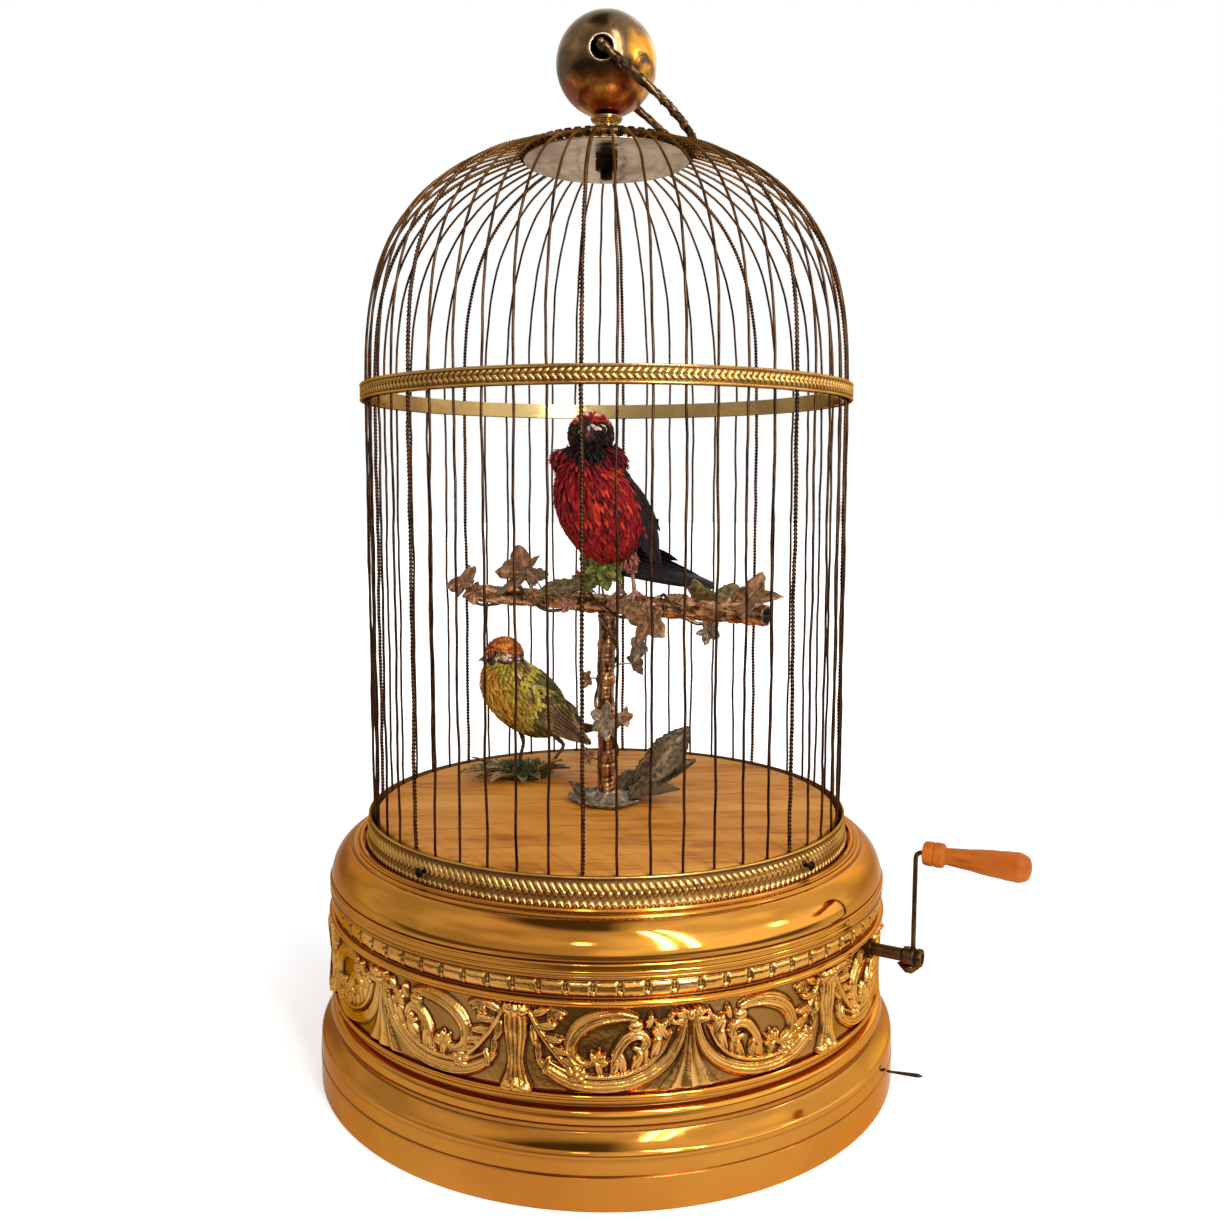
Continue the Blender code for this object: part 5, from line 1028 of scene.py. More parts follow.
def leaf_blade(root, aim, over, length, width, teeth, fold, droop, tone, seed):
    """A toothed blade. Half width follows the sine of pi t to a power, less a saw of teeth; the halves fold
    up from the midrib, side veins are raised, and the tip droops by the square of t. Lengths in mm."""
    rows, across = 30, 9
    t = np.linspace(0.0, 1.0, rows)[:, None]
    s = np.concatenate([np.linspace(-1, 1, across), np.linspace(0.8, -0.8, across - 2)])[None]
    top = np.concatenate([np.ones(across), -np.ones(across - 2)])[None]
    out = np.abs(s)
    aim = unit(aim)
    side = unit(np.cross(aim, over))
    lift = np.cross(side, aim)
    half = width / 2 * np.sin(math.pi * np.clip(t, 0.015, 0.985) ** 0.85) ** 0.8
    half = half * (1 - 0.17 * np.mod(t * teeth, 1.0)) * (1 + 0.06 * np.sin(t * 9 + seed)) + 0.25
    x = length * t + 0.10 * length * out * (1 - t) * t
    apart = np.mod(t * teeth - 0.9 * out + 0.3, 1.0) - 0.5
    vein = np.exp(-(apart**2) / 0.018) * np.clip(out * 3, 0, 1)
    rib = np.exp(-((s / 0.13) ** 2))
    height = (
        fold * out * half - droop * length * t**2 + 0.045 * width * np.sin(t * 7.0 + seed + 1.5 * s) * out
        + 0.22 * vein + 0.35 * rib + 0.03 * length * np.sin(t * 4.2 + seed) + 0.32 * top * (1 - out**4)
    )
    points = np.asarray(root, float) + (
        x[..., None] * aim + (half * s)[..., None] * side + height[..., None] * lift
    ) * MM
    shade = np.clip(0.55 * rib + 0.40 * vein + 0.35 * (out > 0.95), 0, 1) * (top > 0) + 0 * t
    paint = leaf_tones(tone, shade, seed) * (0.75 + 0.45 * ripple(t * 5 + s * 2, seed)[..., None] ** 2)
    return skins(points, paint)


def ivy_leaf(centre, face, point_to, radius, lobes, tone, seed):
    """A lobed leaf: its radius falls from each lobe's tip as a power of the angle to it, the lobe it points
    with is the longest, and the rim is toothed. It cups by the square of the radius. Lengths in mm."""
    columns, rings, cup, thick = 60, 6, 0.16, 0.16
    angle = TURN * np.arange(columns)[None] / columns
    near = np.abs(np.mod(angle / TURN * lobes + 0.5, 1.0) - 0.5) * 2
    rim = radius * (0.56 + 0.44 * (1 - near) ** 0.95) * (0.82 + 0.18 * np.cos(angle))
    rim = rim * (1 + 0.07 * np.abs(np.sin(angle * 9 + seed)) + 0.10 * ripple(angle * 2, seed))
    share = np.concatenate([np.linspace(0.04, 1, rings), np.linspace(0.93, 0.06, rings - 1)])[:, None]
    top = np.concatenate([np.ones(rings), -np.ones(rings - 1)])[:, None]
    face = unit(face)
    ahead = unit(np.asarray(point_to, float) - face * np.dot(face, point_to))
    side = np.cross(face, ahead)
    vein = np.exp(-(near / 0.16) ** 2) * np.clip(share * 3, 0, 1)
    wave = 0.10 * radius * np.sin(angle * 3 + seed * 2) * share**2
    height = 0.9 * vein * (1 - 0.6 * share) + cup * radius * share**2 + wave + thick * top * (1 - share**6)
    x, y = rim * share * np.cos(angle), rim * share * np.sin(angle)
    place = x[..., None] * ahead + y[..., None] * side + height[..., None] * face
    points = np.asarray(centre, float) + place * MM
    shade = np.clip(0.6 * vein + 0.4 * (share > 0.97), 0, 1) * (top > 0)
    paint = leaf_tones(tone, shade, seed) * (0.7 + 0.6 * ripple(angle * 2 + share * 3, seed)[..., None] ** 2)
    return skins(points, paint)


def stalk(points, thick, tone=(0.13, 0.085, 0.045)):
    """A thin stem through points in metres, about a third thinner at its tip."""
    count = 24
    rough = 1 + 0.10 * ripple(np.arange(count) * 1.3, thick * 7)
    reach = thick * MM * np.linspace(1.0, 0.65, count) * rough
    return one_tone(tube(curve(points, count), reach, (0.31, 0.17, 0.93), 7), tone)


def bark_tube(path, radius, across, sides, seed, knots, knot_high):
    """A bark-covered limb: furrows run along it as sines of the angle that wander with length, and knots
    are rings that swell by the bell curve of the distance to each."""
    along = np.concatenate([[0], np.cumsum(np.linalg.norm(np.diff(path, axis=0), axis=1))])[:, None] / MM
    angle = TURN * np.arange(sides)[None] / sides
    drift = 0.9 * ripple(along * 0.11, seed)
    furrow = (
        0.055 * np.sin(5 * angle + drift * 3) + 0.045 * np.sin(9 * angle - drift * 5 + along * 0.22)
        + 0.040 * np.sin(14 * angle + along * 0.6 + 2 * ripple(along * 0.5, seed + 2))
        + 0.050 * ripple(along * 0.35 + 0 * angle, seed + 5)
    )
    swell = sum(knot_high * np.exp(-(((along - place) / 1.5) ** 2)) for place in knots)
    ringed = 0.10 * np.abs(np.sin(along * 1.35 + 0.7 * np.sin(angle * 2 + seed)))
    knotted = (swell + 0 * angle) * MM * (0.75 + 0.25 * np.sin(angle * 3 + seed))
    grid = tube(path, radius[:, None] * (1 + furrow - ringed * 0.5) + knotted, across, sides)
    # painted highlight on the bark's ridges and knots, painted shade in its furrows and ring grooves
    high = np.clip(0.50 + (furrow * 6) - ringed * 1.2 + np.clip(swell, 0, 1) * 0.4, 0, 1)[..., None]
    return grid, np.array([0.050, 0.018, 0.008]) * (1 - high) + np.array([0.90, 0.45, 0.21]) * high


def build_bar_and_post():
    """The bark-covered bar, hollow at its right end, and the post, which the push rod runs through."""
    along = np.linspace(-BAR_END, BAR_END, 300)
    bar = by_bar(along, 0 * along, 0.35 * ripple(along * 0.05, 3))
    taper = np.clip((along + BAR_END) / 3.0, 0.35, 1) ** 0.5
    knots = (113, 121.5, 131, 139, 148, 156, 164, 172, 178.5)
    grid, paint = bark_tube(bar, 4.75 * MM * taper, BAR_BACK, 28, 1.0, knots, 0.75)
    rim = grid[-1] - by_bar(BAR_END, 0, 0.35)
    steps = (90.7, 0.86), (90.7, 0.72), (86.5, 0.62)
    hollow = [by_bar(place, 0, 0.2) + rim * share for place, share in steps]
    # painted shade inside the bar's hollow end, darker further in
    dark = np.zeros((3, 28, 3)) + np.array([[[0.16]], [[0.02]], [[0.006]]]) * np.array([1.0, 0.7, 0.5])
    # painted light: the bar's bark paint is raised above the post's
    whole = skins(np.concatenate([grid, hollow]), np.concatenate([np.minimum(paint * 1.22, 0.95), dark]))
    piece("bark_bar", [whole], BARK, "base", "perch_bar")

    height = np.linspace(128.0, 223.4, 190) * MM
    path = np.stack([0.0006 * ripple(height * 60, 4), 0.0006 * ripple(height * 50, 9), height], axis=-1)
    flare = 4.35 + 3.4 * np.exp(-(height / MM - 128) / 3.2)
    grid, paint = bark_tube(path, flare * MM, BAR_BACK, 26, 6.0, (18, 33.5, 47, 62, 80), 0.45)
    rod_way = (path[:, None] + 0.0011 * unit(grid - path[:, None]))[::-12]
    # painted shade: the post's bark paint is lowered below the bar's, and its bore for the push rod is
    # painted near black
    tones = np.concatenate([paint * 0.62, np.full(rod_way.shape, 0.01)])
    whole = skins(np.concatenate([grid, rod_way]), tones, ring=True)
    piece("bark_post", [whole], BARK, "base", "perch_post")


def build_dish():
    """The rooted dish at the post's foot, and the blades that stand on it."""
    angle = TURN * np.arange(120)[None] / 120
    reach = 0.3, 2.2, 4.6, 5.6, 7.5, 10.5, 13.5, 16.2, 17.9, 18.6, 18.4, 17.6, 12.0, 5.0, 2.2
    high = 5.2, 5.2, 5.0, 3.6, 2.3, 1.6, 1.35, 1.5, 2.1, 2.5, 1.7, 0.5, 0.0, 0.0, 0.0
    reach, high = np.array(reach)[:, None], np.array(high)[:, None]
    outer = np.clip((reach - 5) / 13, 0, 1)
    lobes = 1 + outer * (0.045 * np.sin(3 * angle + 1) + 0.03 * np.sin(7 * angle) + 0.02 * np.sin(13 * angle))
    is_top = (np.arange(15) < 10)[:, None]
    roots = np.clip(np.cos(5 * angle + 0.6 * np.sin(angle * 2) + reach * 0.12), 0, 1) ** 3
    roots = roots * np.exp(-((reach - 7.5) / 4.5) ** 2) * 1.9 * is_top
    veins = 0.22 * np.sin(24 * angle + reach * 0.5) * outer * is_top
    lift = np.where(is_top, high + roots + veins, high)
    points = np.stack([reach * lobes * np.sin(angle), -reach * lobes * np.cos(angle), 128.0 + lift], -1) * MM
    # painted highlight on the raised roots, vein ridges and rim, painted shade in the low ground and vein
    # grooves
    tone = np.clip(0.35 + roots * 0.4 + veins * 1.4 + 0.25 * (high > 2.0) * outer, 0, 1)[..., None]
    paint = np.array([0.050, 0.038, 0.026]) * (1 - tone) + np.array([0.40, 0.31, 0.21]) * tone
    parts = [skins(points, paint)]
    small = (0.1, -0.55, 0.8)
    for azimuth, far, aim, roll, long, wide, teeth, fold, seed in (
        (118, 0.0150, (0.70, 0.16, 0.78), (0.25, -0.93, 0.25), 45, 21, 13, 0.22, 1.0),
        (95, 0.0115, (0.86, 0.35, 0.42), small, 41, 12, 9, 0.75, 2.0),
        (78, 0.0115, (0.90, -0.30, 0.30), small, 27, 10, 7, 0.6, 6.0),
        (-60, 0.0115, (-0.60, -0.20, 0.75), small, 14, 7, 5, 0.4, 3.0),
        (150, 0.0115, (0.45, 0.80, 0.40), small, 20, 9, 7, 0.4, 4.0),
    ):
        root = at_azimuth(azimuth, far, LEAF_FOOT)
        parts.append(leaf_blade(root, aim, roll, long, wide, teeth, fold, 0.05, (0.100, 0.066, 0.030), seed))
    piece("rooted_dish", parts, LEAF, "base", "perch_plate")


def build_vine():
    """The vine that winds along the bar and down the post, with a few loose ends."""
    step = np.linspace(-86, 86, 150)
    winding = math.pi / 2 + TURN * step / 45.9
    out = 6.0 + 0.4 * ripple(step * 0.3, 2)
    vine = by_bar(step, -out * np.sin(winding), out * np.cos(winding))
    grid = tube(vine, 0.85 * MM * (1 + 0.18 * ripple(step * 0.5, 8)), (0.1, 0.2, 0.97), 8)
    parts = [one_tone(grid, (0.17, 0.11, 0.06))]
    drop = np.linspace(0, 88, 110)
    turn = TURN * drop / 50.0 + 0.8
    loop = np.stack([-5.6 * np.cos(turn), -5.6 * np.sin(turn), BAR_HEIGHT - 5.5 - drop], -1) * MM
    grid = tube(loop, 0.75 * MM * (1 + 0.15 * ripple(drop * 0.5, 3)), (0.9, 0.1, 0.2), 7)
    parts.append(one_tone(grid, (0.14, 0.09, 0.05)))
    for place, rise in ((-62, 7.5), (-30, 8.5), (12, 6.5), (46, 7.5), (74, 8.5)):
        points = [by_bar(place, -5.5, 2.5), by_bar(place + 3, -8, 5.0), by_bar(place + 7, -9.0, rise)]
        parts.append(stalk(points, 0.45))
    piece("winding_vine", parts, BARK, "base", "vine")


def build_leaves():
    """The vine's ivy leaves and blades, the bud under the upper bird, and the blossom."""
    grey, brown, olive = (0.240, 0.170, 0.110), (0.360, 0.180, 0.088), (0.220, 0.175, 0.065)
    parts = []
    for place, face, tip, size, lobes, tone, seed in (
        ((-92, -3, 6.0), (-0.25, -0.80, 0.55), (-1.0, 0, -0.25), 14.5, 5, brown, 1.0),
        ((-86, -5, 2.0), (0.3, -0.9, 0.3), (0.2, 0, -1.0), 8.0, 5, brown, 1.6),
        ((-50, -4, 14.0), (0.15, -0.82, 0.55), (-1.0, 0, -0.25), 16.5, 5, brown, 2.0),
        ((-43, -5, 11.0), (0.3, -0.8, 0.5), (0.9, 0, 0.5), 8.0, 3, grey, 2.5),
        ((32.5, -8.0, -4.5), (0.0, -0.97, 0.2), (-0.35, 0, -1.0), 14.5, 5, brown, 3.0),
        ((26.5, -7.5, -19.0), (-0.1, -0.97, 0.2), (-0.2, 0, -1.0), 7.8, 3, grey, 3.5),
        ((62.0, -3.5, -9.0), (0.1, -0.95, 0.3), (1.0, 0, -0.35), 7.6, 5, grey, 4.0),
        ((83.0, -5.0, 6.5), (0.0, -0.62, 0.78), (1.0, 0, 0.16), 17.0, 5, brown, 5.0),
        ((74.5, -5.5, 8.0), (-0.2, -0.75, 0.6), (-1.0, 0, 0.15), 9.5, 3, olive, 5.5),
        ((6.0, -9.5, -57.0), (0.1, -0.95, 0.25), (0.75, 0, 0.1), 11.5, 5, grey, 6.0),
        ((18.0, -8.5, -54.0), (0.0, -0.95, 0.3), (0.9, 0, 0.3), 6.0, 5, brown, 6.5),
        ((-7.6, -4.5, -37.5), (-0.3, -0.9, 0.2), (-0.3, 0, -1.0), 6.5, 4, brown, 7.0),
        ((-7.5, -4.0, -78.5), (-0.2, -0.9, 0.3), (-0.6, 0, 0.6), 6.5, 4, brown, 8.0),
        ((10.0, 8.0, -30.0), (0.3, 0.9, 0.3), (0.8, 0, 0.3), 9.0, 5, grey, 9.0),
        ((-20.0, 7.5, 7.0), (0.1, 0.8, 0.6), (-0.9, 0, 0.3), 11.0, 5, brown, 10.0),
        ((48.0, 7.5, 5.0), (0.1, 0.85, 0.5), (0.9, 0, 0.2), 11.5, 5, olive, 11.0),
    ):
        centre = by_bar(*place)
        tip = np.array(tip, float) @ BAR_FRAME
        parts.append(ivy_leaf(centre, np.array(face) @ BAR_FRAME, tip, size, lobes, tone, seed))
        held = by_bar(place[0] * 0.93, 0.0, 0.0) if place[2] > -25 else UP * (centre[2] - 0.004)
        parts.append(stalk([held, (held + centre) / 2 + UP * 0.0015, centre], 0.5, brown))
    for root, aim, over, long, wide, tone, seed in (
        ((-40, -5, 3.0), (0.97, -0.1, 0.22), (0.0, -0.7, 0.7), 37, 11, olive, 1.0),
        ((-22, -6, 2.0), (0.8, -0.3, 0.35), (0.2, -0.6, 0.7), 22, 9, olive, 2.0),
        ((8, -7, 2.0), (0.95, -0.2, -0.15), (0.0, -0.8, 0.6), 24, 9, brown, 3.0),
        ((-70, -5, 1.5), (0.9, -0.2, 0.30), (0.0, -0.8, 0.6), 19, 7, olive, 4.0),
        ((55, -4, 3.0), (-0.9, -0.2, 0.25), (0.0, -0.7, 0.7), 15, 6, brown, 5.0),
    ):
        aim, over = np.array(aim) @ BAR_FRAME, np.array(over) @ BAR_FRAME
        parts.append(leaf_blade(by_bar(*root), aim, over, long, wide, 7, 0.3, 0.05, tone, seed))
    bud_place = np.array([-0.0020, -0.0170, 0.2462])
    for petal in range(15):
        outer = petal < 9
        out = TURN * petal / (9 if outer else 6) + 0.35 * (not outer)
        aim = np.array([math.cos(out), -0.25 if outer else -0.9, 0.85 * math.sin(out) + 0.15])
        over = np.array([-0.7 * math.cos(out), -1.0, -0.7 * math.sin(out)])
        long = (10.5 if outer else 7.5) + 1.2 * math.sin(petal * 2.3)
        green = (0.092, 0.100, 0.019) if outer else (0.138, 0.148, 0.030)
        root = bud_place + aim * 0.0012
        parts.append(leaf_blade(root, aim, over, long, long * 0.72, 3, 0.45, 0.22, green, petal * 1.1))
    axes = unit([[0.1, -0.55, 0.83], [0.98, 0.1, 0.0], [0.0, 0.83, 0.55]])
    parts.append(egg(bud_place, axes, (4.0, 4.4, 4.0), 16, 20, (0.10, 0.13, 0.02)))
    held = bud_place + np.array([0, 0.001, -0.004])
    parts.append(stalk([by_bar(2, -4, 3), by_bar(6, -11, 8), held], 0.7, olive))
    blossom, pink = by_bar(-17.0, -7.5, 0.5), (0.42, 0.17, 0.13)
    for petal in range(6):
        out = TURN * petal / 6 + 0.3
        aim = BAR_ALONG * math.cos(out) * 1.6 + UP * math.sin(out) * 0.8 - BAR_BACK * 0.35
        parts.append(leaf_blade(blossom, aim, -BAR_BACK, 7.0, 5.0, 2, 0.3, -0.1, pink, petal * 2.0))
    piece("ivy_leaves", parts, LEAF, "base")


def build_mound():
    """The mossy mound under the lower bird, with its long leaves and small blades."""
    rim = TURN * np.arange(64)[None] / 64
    reach = np.linspace(0.4, 12.6, 15)
    dome = 4.4 * np.sqrt(np.clip(1 - (np.linspace(0.0, 12.6, 15) / 12.7) ** 2, 0.0, 1))
    reach, dome = np.append(reach, [11.0, 3.0])[:, None], np.append(dome, [0, 0])[:, None]
    tufts = hash_noise(np.floor(reach * 1.1), np.floor(rim * 7)) * 1.3 * (dome > 0.3)
    middle_x, middle_y = MOUND_PLACE
    x, y = middle_x + reach * 1.25 * np.sin(rim), middle_y - reach * np.cos(rim)
    moss = hash_noise(np.floor(reach * 2), np.floor(rim * 11), 2.0)[..., None]
    paint = np.array([0.018, 0.022, 0.010]) * (1 - moss) + np.array([0.085, 0.095, 0.028]) * moss
    parts = [skins(np.stack([x, y, 128.05 + dome + tufts], axis=-1) * MM, paint)]
    tan, drab = (0.38, 0.225, 0.090), (0.185, 0.140, 0.060)
    for azimuth, rise, long, wide, tone, fold, droop, seed in (
        (-78, 0.32, 27, 11, tan, 0.5, 0.22, 1.0), (-62, 0.60, 20, 11, drab, 0.5, 0.34, 2.0),
        (-96, 0.50, 22, 5, drab, 0.8, 0.10, 3.0), (-30, 0.28, 22, 9, tan, 0.6, 0.22, 4.0),
        (28, 0.30, 15, 6, drab, 0.6, 0.2, 5.0), (64, 0.75, 20, 7, tan, 0.6, 0.10, 6.0),
        (84, 0.35, 19, 6, drab, 0.7, 0.12, 7.0), (112, 0.35, 17, 7, drab, 0.5, 0.2, 8.0),
        (160, 0.40, 16, 8, tan, 0.5, 0.2, 9.0), (-140, 0.35, 18, 8, drab, 0.5, 0.2, 10.0),
        (5, 0.12, 17, 6, drab, 0.6, 0.1, 11.0), (-50, 0.12, 25, 6, drab, 0.7, 0.06, 12.0),
    ):
        root = np.array([middle_x * MM, middle_y * MM, LEAF_FOOT]) + at_azimuth(azimuth, 0.0075)
        aim = at_azimuth(azimuth, 1.0) + UP * rise
        parts.append(leaf_blade(root, aim, UP, long, wide, 6, fold, droop, tone, seed))
    count = 240
    number = np.arange(count)
    angle = hash_noise(number, 3.0) * TURN
    far = np.sqrt(hash_noise(number, 5.0)) * 0.013
    height = 0.1290 + 0.0035 * (1 - (far / 0.0135) ** 2)
    x, y = middle_x * MM + 1.25 * far * np.cos(angle), middle_y * MM + far * np.sin(angle)
    root = np.stack([x, y, height], -1)
    aim = np.stack([np.cos(angle) * 0.7, np.sin(angle) * 0.7, 0.6 + 0.5 * hash_noise(angle, 2.0)], -1)
    moss = np.array([0.05, 0.062, 0.020]) * (0.5 + hash_noise(number, 8.0))[:, None]
    long = 3.6 + 2 * hash_noise(far * 900, 1.0)
    facing = np.broadcast_to(UP, aim.shape)
    parts.append(skins(*blades(root, unit(aim), facing, long, np.full(count, 0.9), moss, moss * 1.7, rows=3)))
    piece("leafy_mound", parts, LEAF, "base", "leaf_mound")


# Birds

GOLDEN_ANGLE = 2.399963


def blades(root, ahead, normal, length, width, tint, tip, edge=None, rows=5, columns=6, lift=0.10, bow=0.06,
           thick=0.20, point=0.55, cup=0.30):
    """Many flat blades at once; lengths in mm. The middle line runs ahead, lifts off by lift times t and
    bows by 4 t (1 - t). Half width is the sine of (0.14 + 0.80 t) pi to the power point. Each section is
    a flat ellipse whose edges droop by cup times the square of the way across."""
    root, tint, tip = (np.asarray(v, float) for v in (root, tint, tip))
    ahead = unit(ahead)
    side = unit(np.cross(normal, ahead))
    over = np.cross(ahead, side)
    t = np.linspace(0, 1, rows)[None, :]
    reach = np.asarray(length, float)[:, None] * MM
    forward = ahead[:, None] * (reach * t)[..., None]
    middle = root[:, None] + forward + over[:, None] * (reach * (lift * t + bow * 4 * t * (1 - t)))[..., None]
    half = np.asarray(width, float)[:, None] * MM / 2 * np.sin(math.pi * (0.14 + 0.80 * t)) ** point
    half = half[..., None]
    angle = TURN * np.arange(columns) / columns
    across, rise = np.cos(angle), np.sin(angle)
    points = (
        middle[:, :, None] + side[:, None, None] * (half * across)[..., None]
        + over[:, None, None] * (thick * MM * rise - cup * half * across**2)[..., None]
    )
    edge = tip * 0.75 if edge is None else np.asarray(edge, float)
    shade = tint[:, None, None] * (1 - t)[..., None, None] + tip[:, None, None] * t[..., None, None]
    out = (across**2 * 0.8)[None, None, :, None]
    return points, shade * (1 - out) + edge[:, None, None] * out


def clear_of(points, centre, radius):
    """Points nearer to a centre than the radius move straight out to it."""
    out = points - centre
    away = np.linalg.norm(out, axis=-1, keepdims=True)
    return np.where(away < radius, centre + out / np.maximum(away, 1e-9) * radius, points)


def coat(centre, axes, sizes, count, tailward, length, width, colour, seed, keep=None, inset=0.35,
         spread=0.30, **how):
    """Feathers laid over an egg on an even spiral of points. Each lies along the tailward direction made
    square to the surface, turned a little by chance. colour gives (root, tip) tints from the place on the
    egg and two chance numbers. Lengths in mm."""
    index = np.arange(count) + 0.5
    x = 1 - 2 * index / count
    turn = index * GOLDEN_ANGLE + seed
    ring = np.sqrt(1 - x**2)
    place = np.stack([x, ring * np.cos(turn), ring * np.sin(turn)], axis=-1)
    if keep is not None:
        place = place[keep(place)]
    chance = hash_noise(place[:, 0] * 31, place[:, 1] * 17 + seed, place[:, 2] * 23)
    other = hash_noise(place[:, 2] * 41, place[:, 0] * 13, place[:, 1] * 29 + seed)
    axes, sizes = np.asarray(axes, float), np.asarray(sizes, float) * MM
    normal = unit((place / sizes) @ axes)
    root = centre + (place * sizes) @ axes - normal * inset * MM
    flow = np.broadcast_to(np.asarray(tailward, float), normal.shape)
    flow = unit(flow - normal * (flow * normal).sum(-1, keepdims=True) + normal * 1e-4)
    flow = unit(flow + np.cross(normal, flow) * (spread * (chance - 0.5))[:, None])
    length = length(place) if callable(length) else np.full(len(place), float(length))
    width = width(place) if callable(width) else np.full(len(place), float(width))
    length = length * (0.85 + 0.30 * other)
    width = width * (0.85 + 0.3 * chance)
    return blades(root, flow, normal, length, width, *colour(place, chance, other), **how)


def socketed(bird, core, feathers):
    """A core and the feathers over it, both kept clear of the ball that the head turns in."""
    corners, *rest = core
    points, paint = feathers
    core = (clear_of(corners, bird.head, bird.clear), *rest)
    return [core, skins(clear_of(points, bird.head, bird.clear), paint)]


def shin(points, thick, tint, rings=30):
    """A leg or toe: a tube through points in metres, ringed by scales. thick gives its radii on the way."""
    along = np.arange(rings)
    reach = np.asarray(thick, float) * MM
    reach = np.interp(along, np.linspace(0, rings - 1, len(reach)), reach) * (1 + 0.10 * np.sin(along * 1.9))
    grid = tube(curve(points, rings), reach, (0.21, 0.35, 0.91), 8)
    band = (0.65 + 0.5 * (np.sin(along * 1.9) > 0))[:, None, None]
    return skins(grid, np.broadcast_to(np.array(tint) * band, grid.shape))


class Bird:
    """A bird's own directions: ahead, left and up from where it stands. Lengths in mm, angles in degrees."""

    def __init__(self, kind, place, heading, head, head_radius, look, jaw, clear):
        turn = math.radians(heading)
        self.kind = kind
        self.place = np.array(place) * MM
        self.ahead = np.array([math.sin(turn), -math.cos(turn), 0.0])
        self.left = np.array([-self.ahead[1], self.ahead[0], 0.0])
        self.head = np.array(head) * MM
        self.head_radius = head_radius
        self.look = unit(np.array([look[0], look[1], 0.0]))
        self.look_left = np.array([-self.look[1], self.look[0], 0.0])
        self.jaw = np.array(jaw) * MM
        self.clear = clear

    def at(self, ahead, left, up):
        """A point in metres from millimetres ahead, left and up."""
        return self.place + (self.ahead * ahead + self.left * left + UP * up) * MM

    def pitched(self, degrees):
        """Directions along, left and over of a part that leans back by degrees from level."""
        turn = math.radians(degrees)
        along = self.ahead * math.cos(turn) + UP * math.sin(turn)
        return np.array([along, self.left, np.cross(along, self.left)])


def plumed_trunk(bird, centre, axes, sizes, tint, share, count, long, wide, colour, seed):
    """The body's core, and feathers that run back and down over it."""
    core = egg(centre, axes, sizes, 26, 32, tint, share)
    tailward = -axes[0] * 0.9 - UP * 0.35
    how = dict(lift=0.07, spread=0.45, point=0.8)
    return socketed(bird, core, coat(centre, axes, sizes, count, tailward, long, wide, colour, seed, **how))


def plumed_neck(bird, shift, core_sizes, sizes, tint, count, long, wide, colour, **how):
    """An upright egg under the head, and feathers that hang down over it."""
    centre = bird.head + np.array(shift)
    axes = np.array([UP, bird.left, np.cross(UP, bird.left)])
    core = egg(centre, axes, core_sizes, 18, 26, tint)
    how = dict(lift=0.04, spread=0.5, **how)
    return socketed(bird, core, coat(centre, axes, sizes, count, -UP, long, wide, colour, 2.0, **how))


def plumed_wing(bird, middle, pitch, half, sign, palette):
    """A folded wing: a flat egg under small coverts, a row of longer ones, then quills that draw together
    to its tip."""
    axes = bird.pitched(pitch)
    turn = math.radians(4) * sign
    along = unit(axes[0] * math.cos(turn) - axes[1] * math.sin(turn))
    out = unit(axes[1] * math.cos(turn) + axes[0] * math.sin(turn)) * sign
    over = np.cross(along, out) * sign
    axes = np.array([along, out, over])
    centre = bird.at(middle[0], middle[1] * sign, middle[2])
    coverts = coat(
        centre, axes, half, 420, -along, lambda p: 5.2 + 2.5 * (0.4 - p[:, 0]), 3.1, palette["covert"],
        3.0 + sign, keep=lambda p: (p[:, 1] > -0.35) & (p[:, 0] > -0.25), lift=0.06, spread=0.2,
    )
    parts = [egg(centre, axes, half, 16, 20, palette["under"], 0.93), skins(*coverts)]
    count = 9
    share = np.linspace(-1, 1, count)
    number = np.arange(count)
    for start, level, long, tone, stack in (
        (0.12, 0.66, 0.60, palette["row"], 0.55), (-0.05, 0.80, 1.02, palette["quill"], 0.1)
    ):
        root = (
            centre + along * (half[0] * (start - 0.22 * share**2))[:, None] * MM
            + over * (half[2] * level * share)[:, None] * MM
            + out * (half[1] * 0.85 + stack + 0.10 * number - 0.6 * share**2)[:, None] * MM
        )
        tip = (
            centre - along * (half[0] * (1.16 - 0.42 * np.abs(share + 0.25) ** 1.6) * long)[:, None] * MM
            + over * (half[2] * (0.30 * share - 0.15))[:, None] * MM
            + out * (half[1] * 0.35 + 0.05 * number)[:, None] * MM
        )
        ahead = tip - root
        reach = np.linalg.norm(ahead, axis=1) / MM
        grade = (0.8 + 0.4 * hash_noise(number, start))[:, None]
        tones = [np.array(v) * grade for v in tone]
        facing = np.broadcast_to(out, ahead.shape)
        shape = dict(rows=7, columns=8, lift=0.0, bow=0.03, cup=0.15, point=0.4)
        parts.append(skins(*blades(root, ahead, facing, reach, np.full(count, 4.0), *tones, **shape)))
    return parts


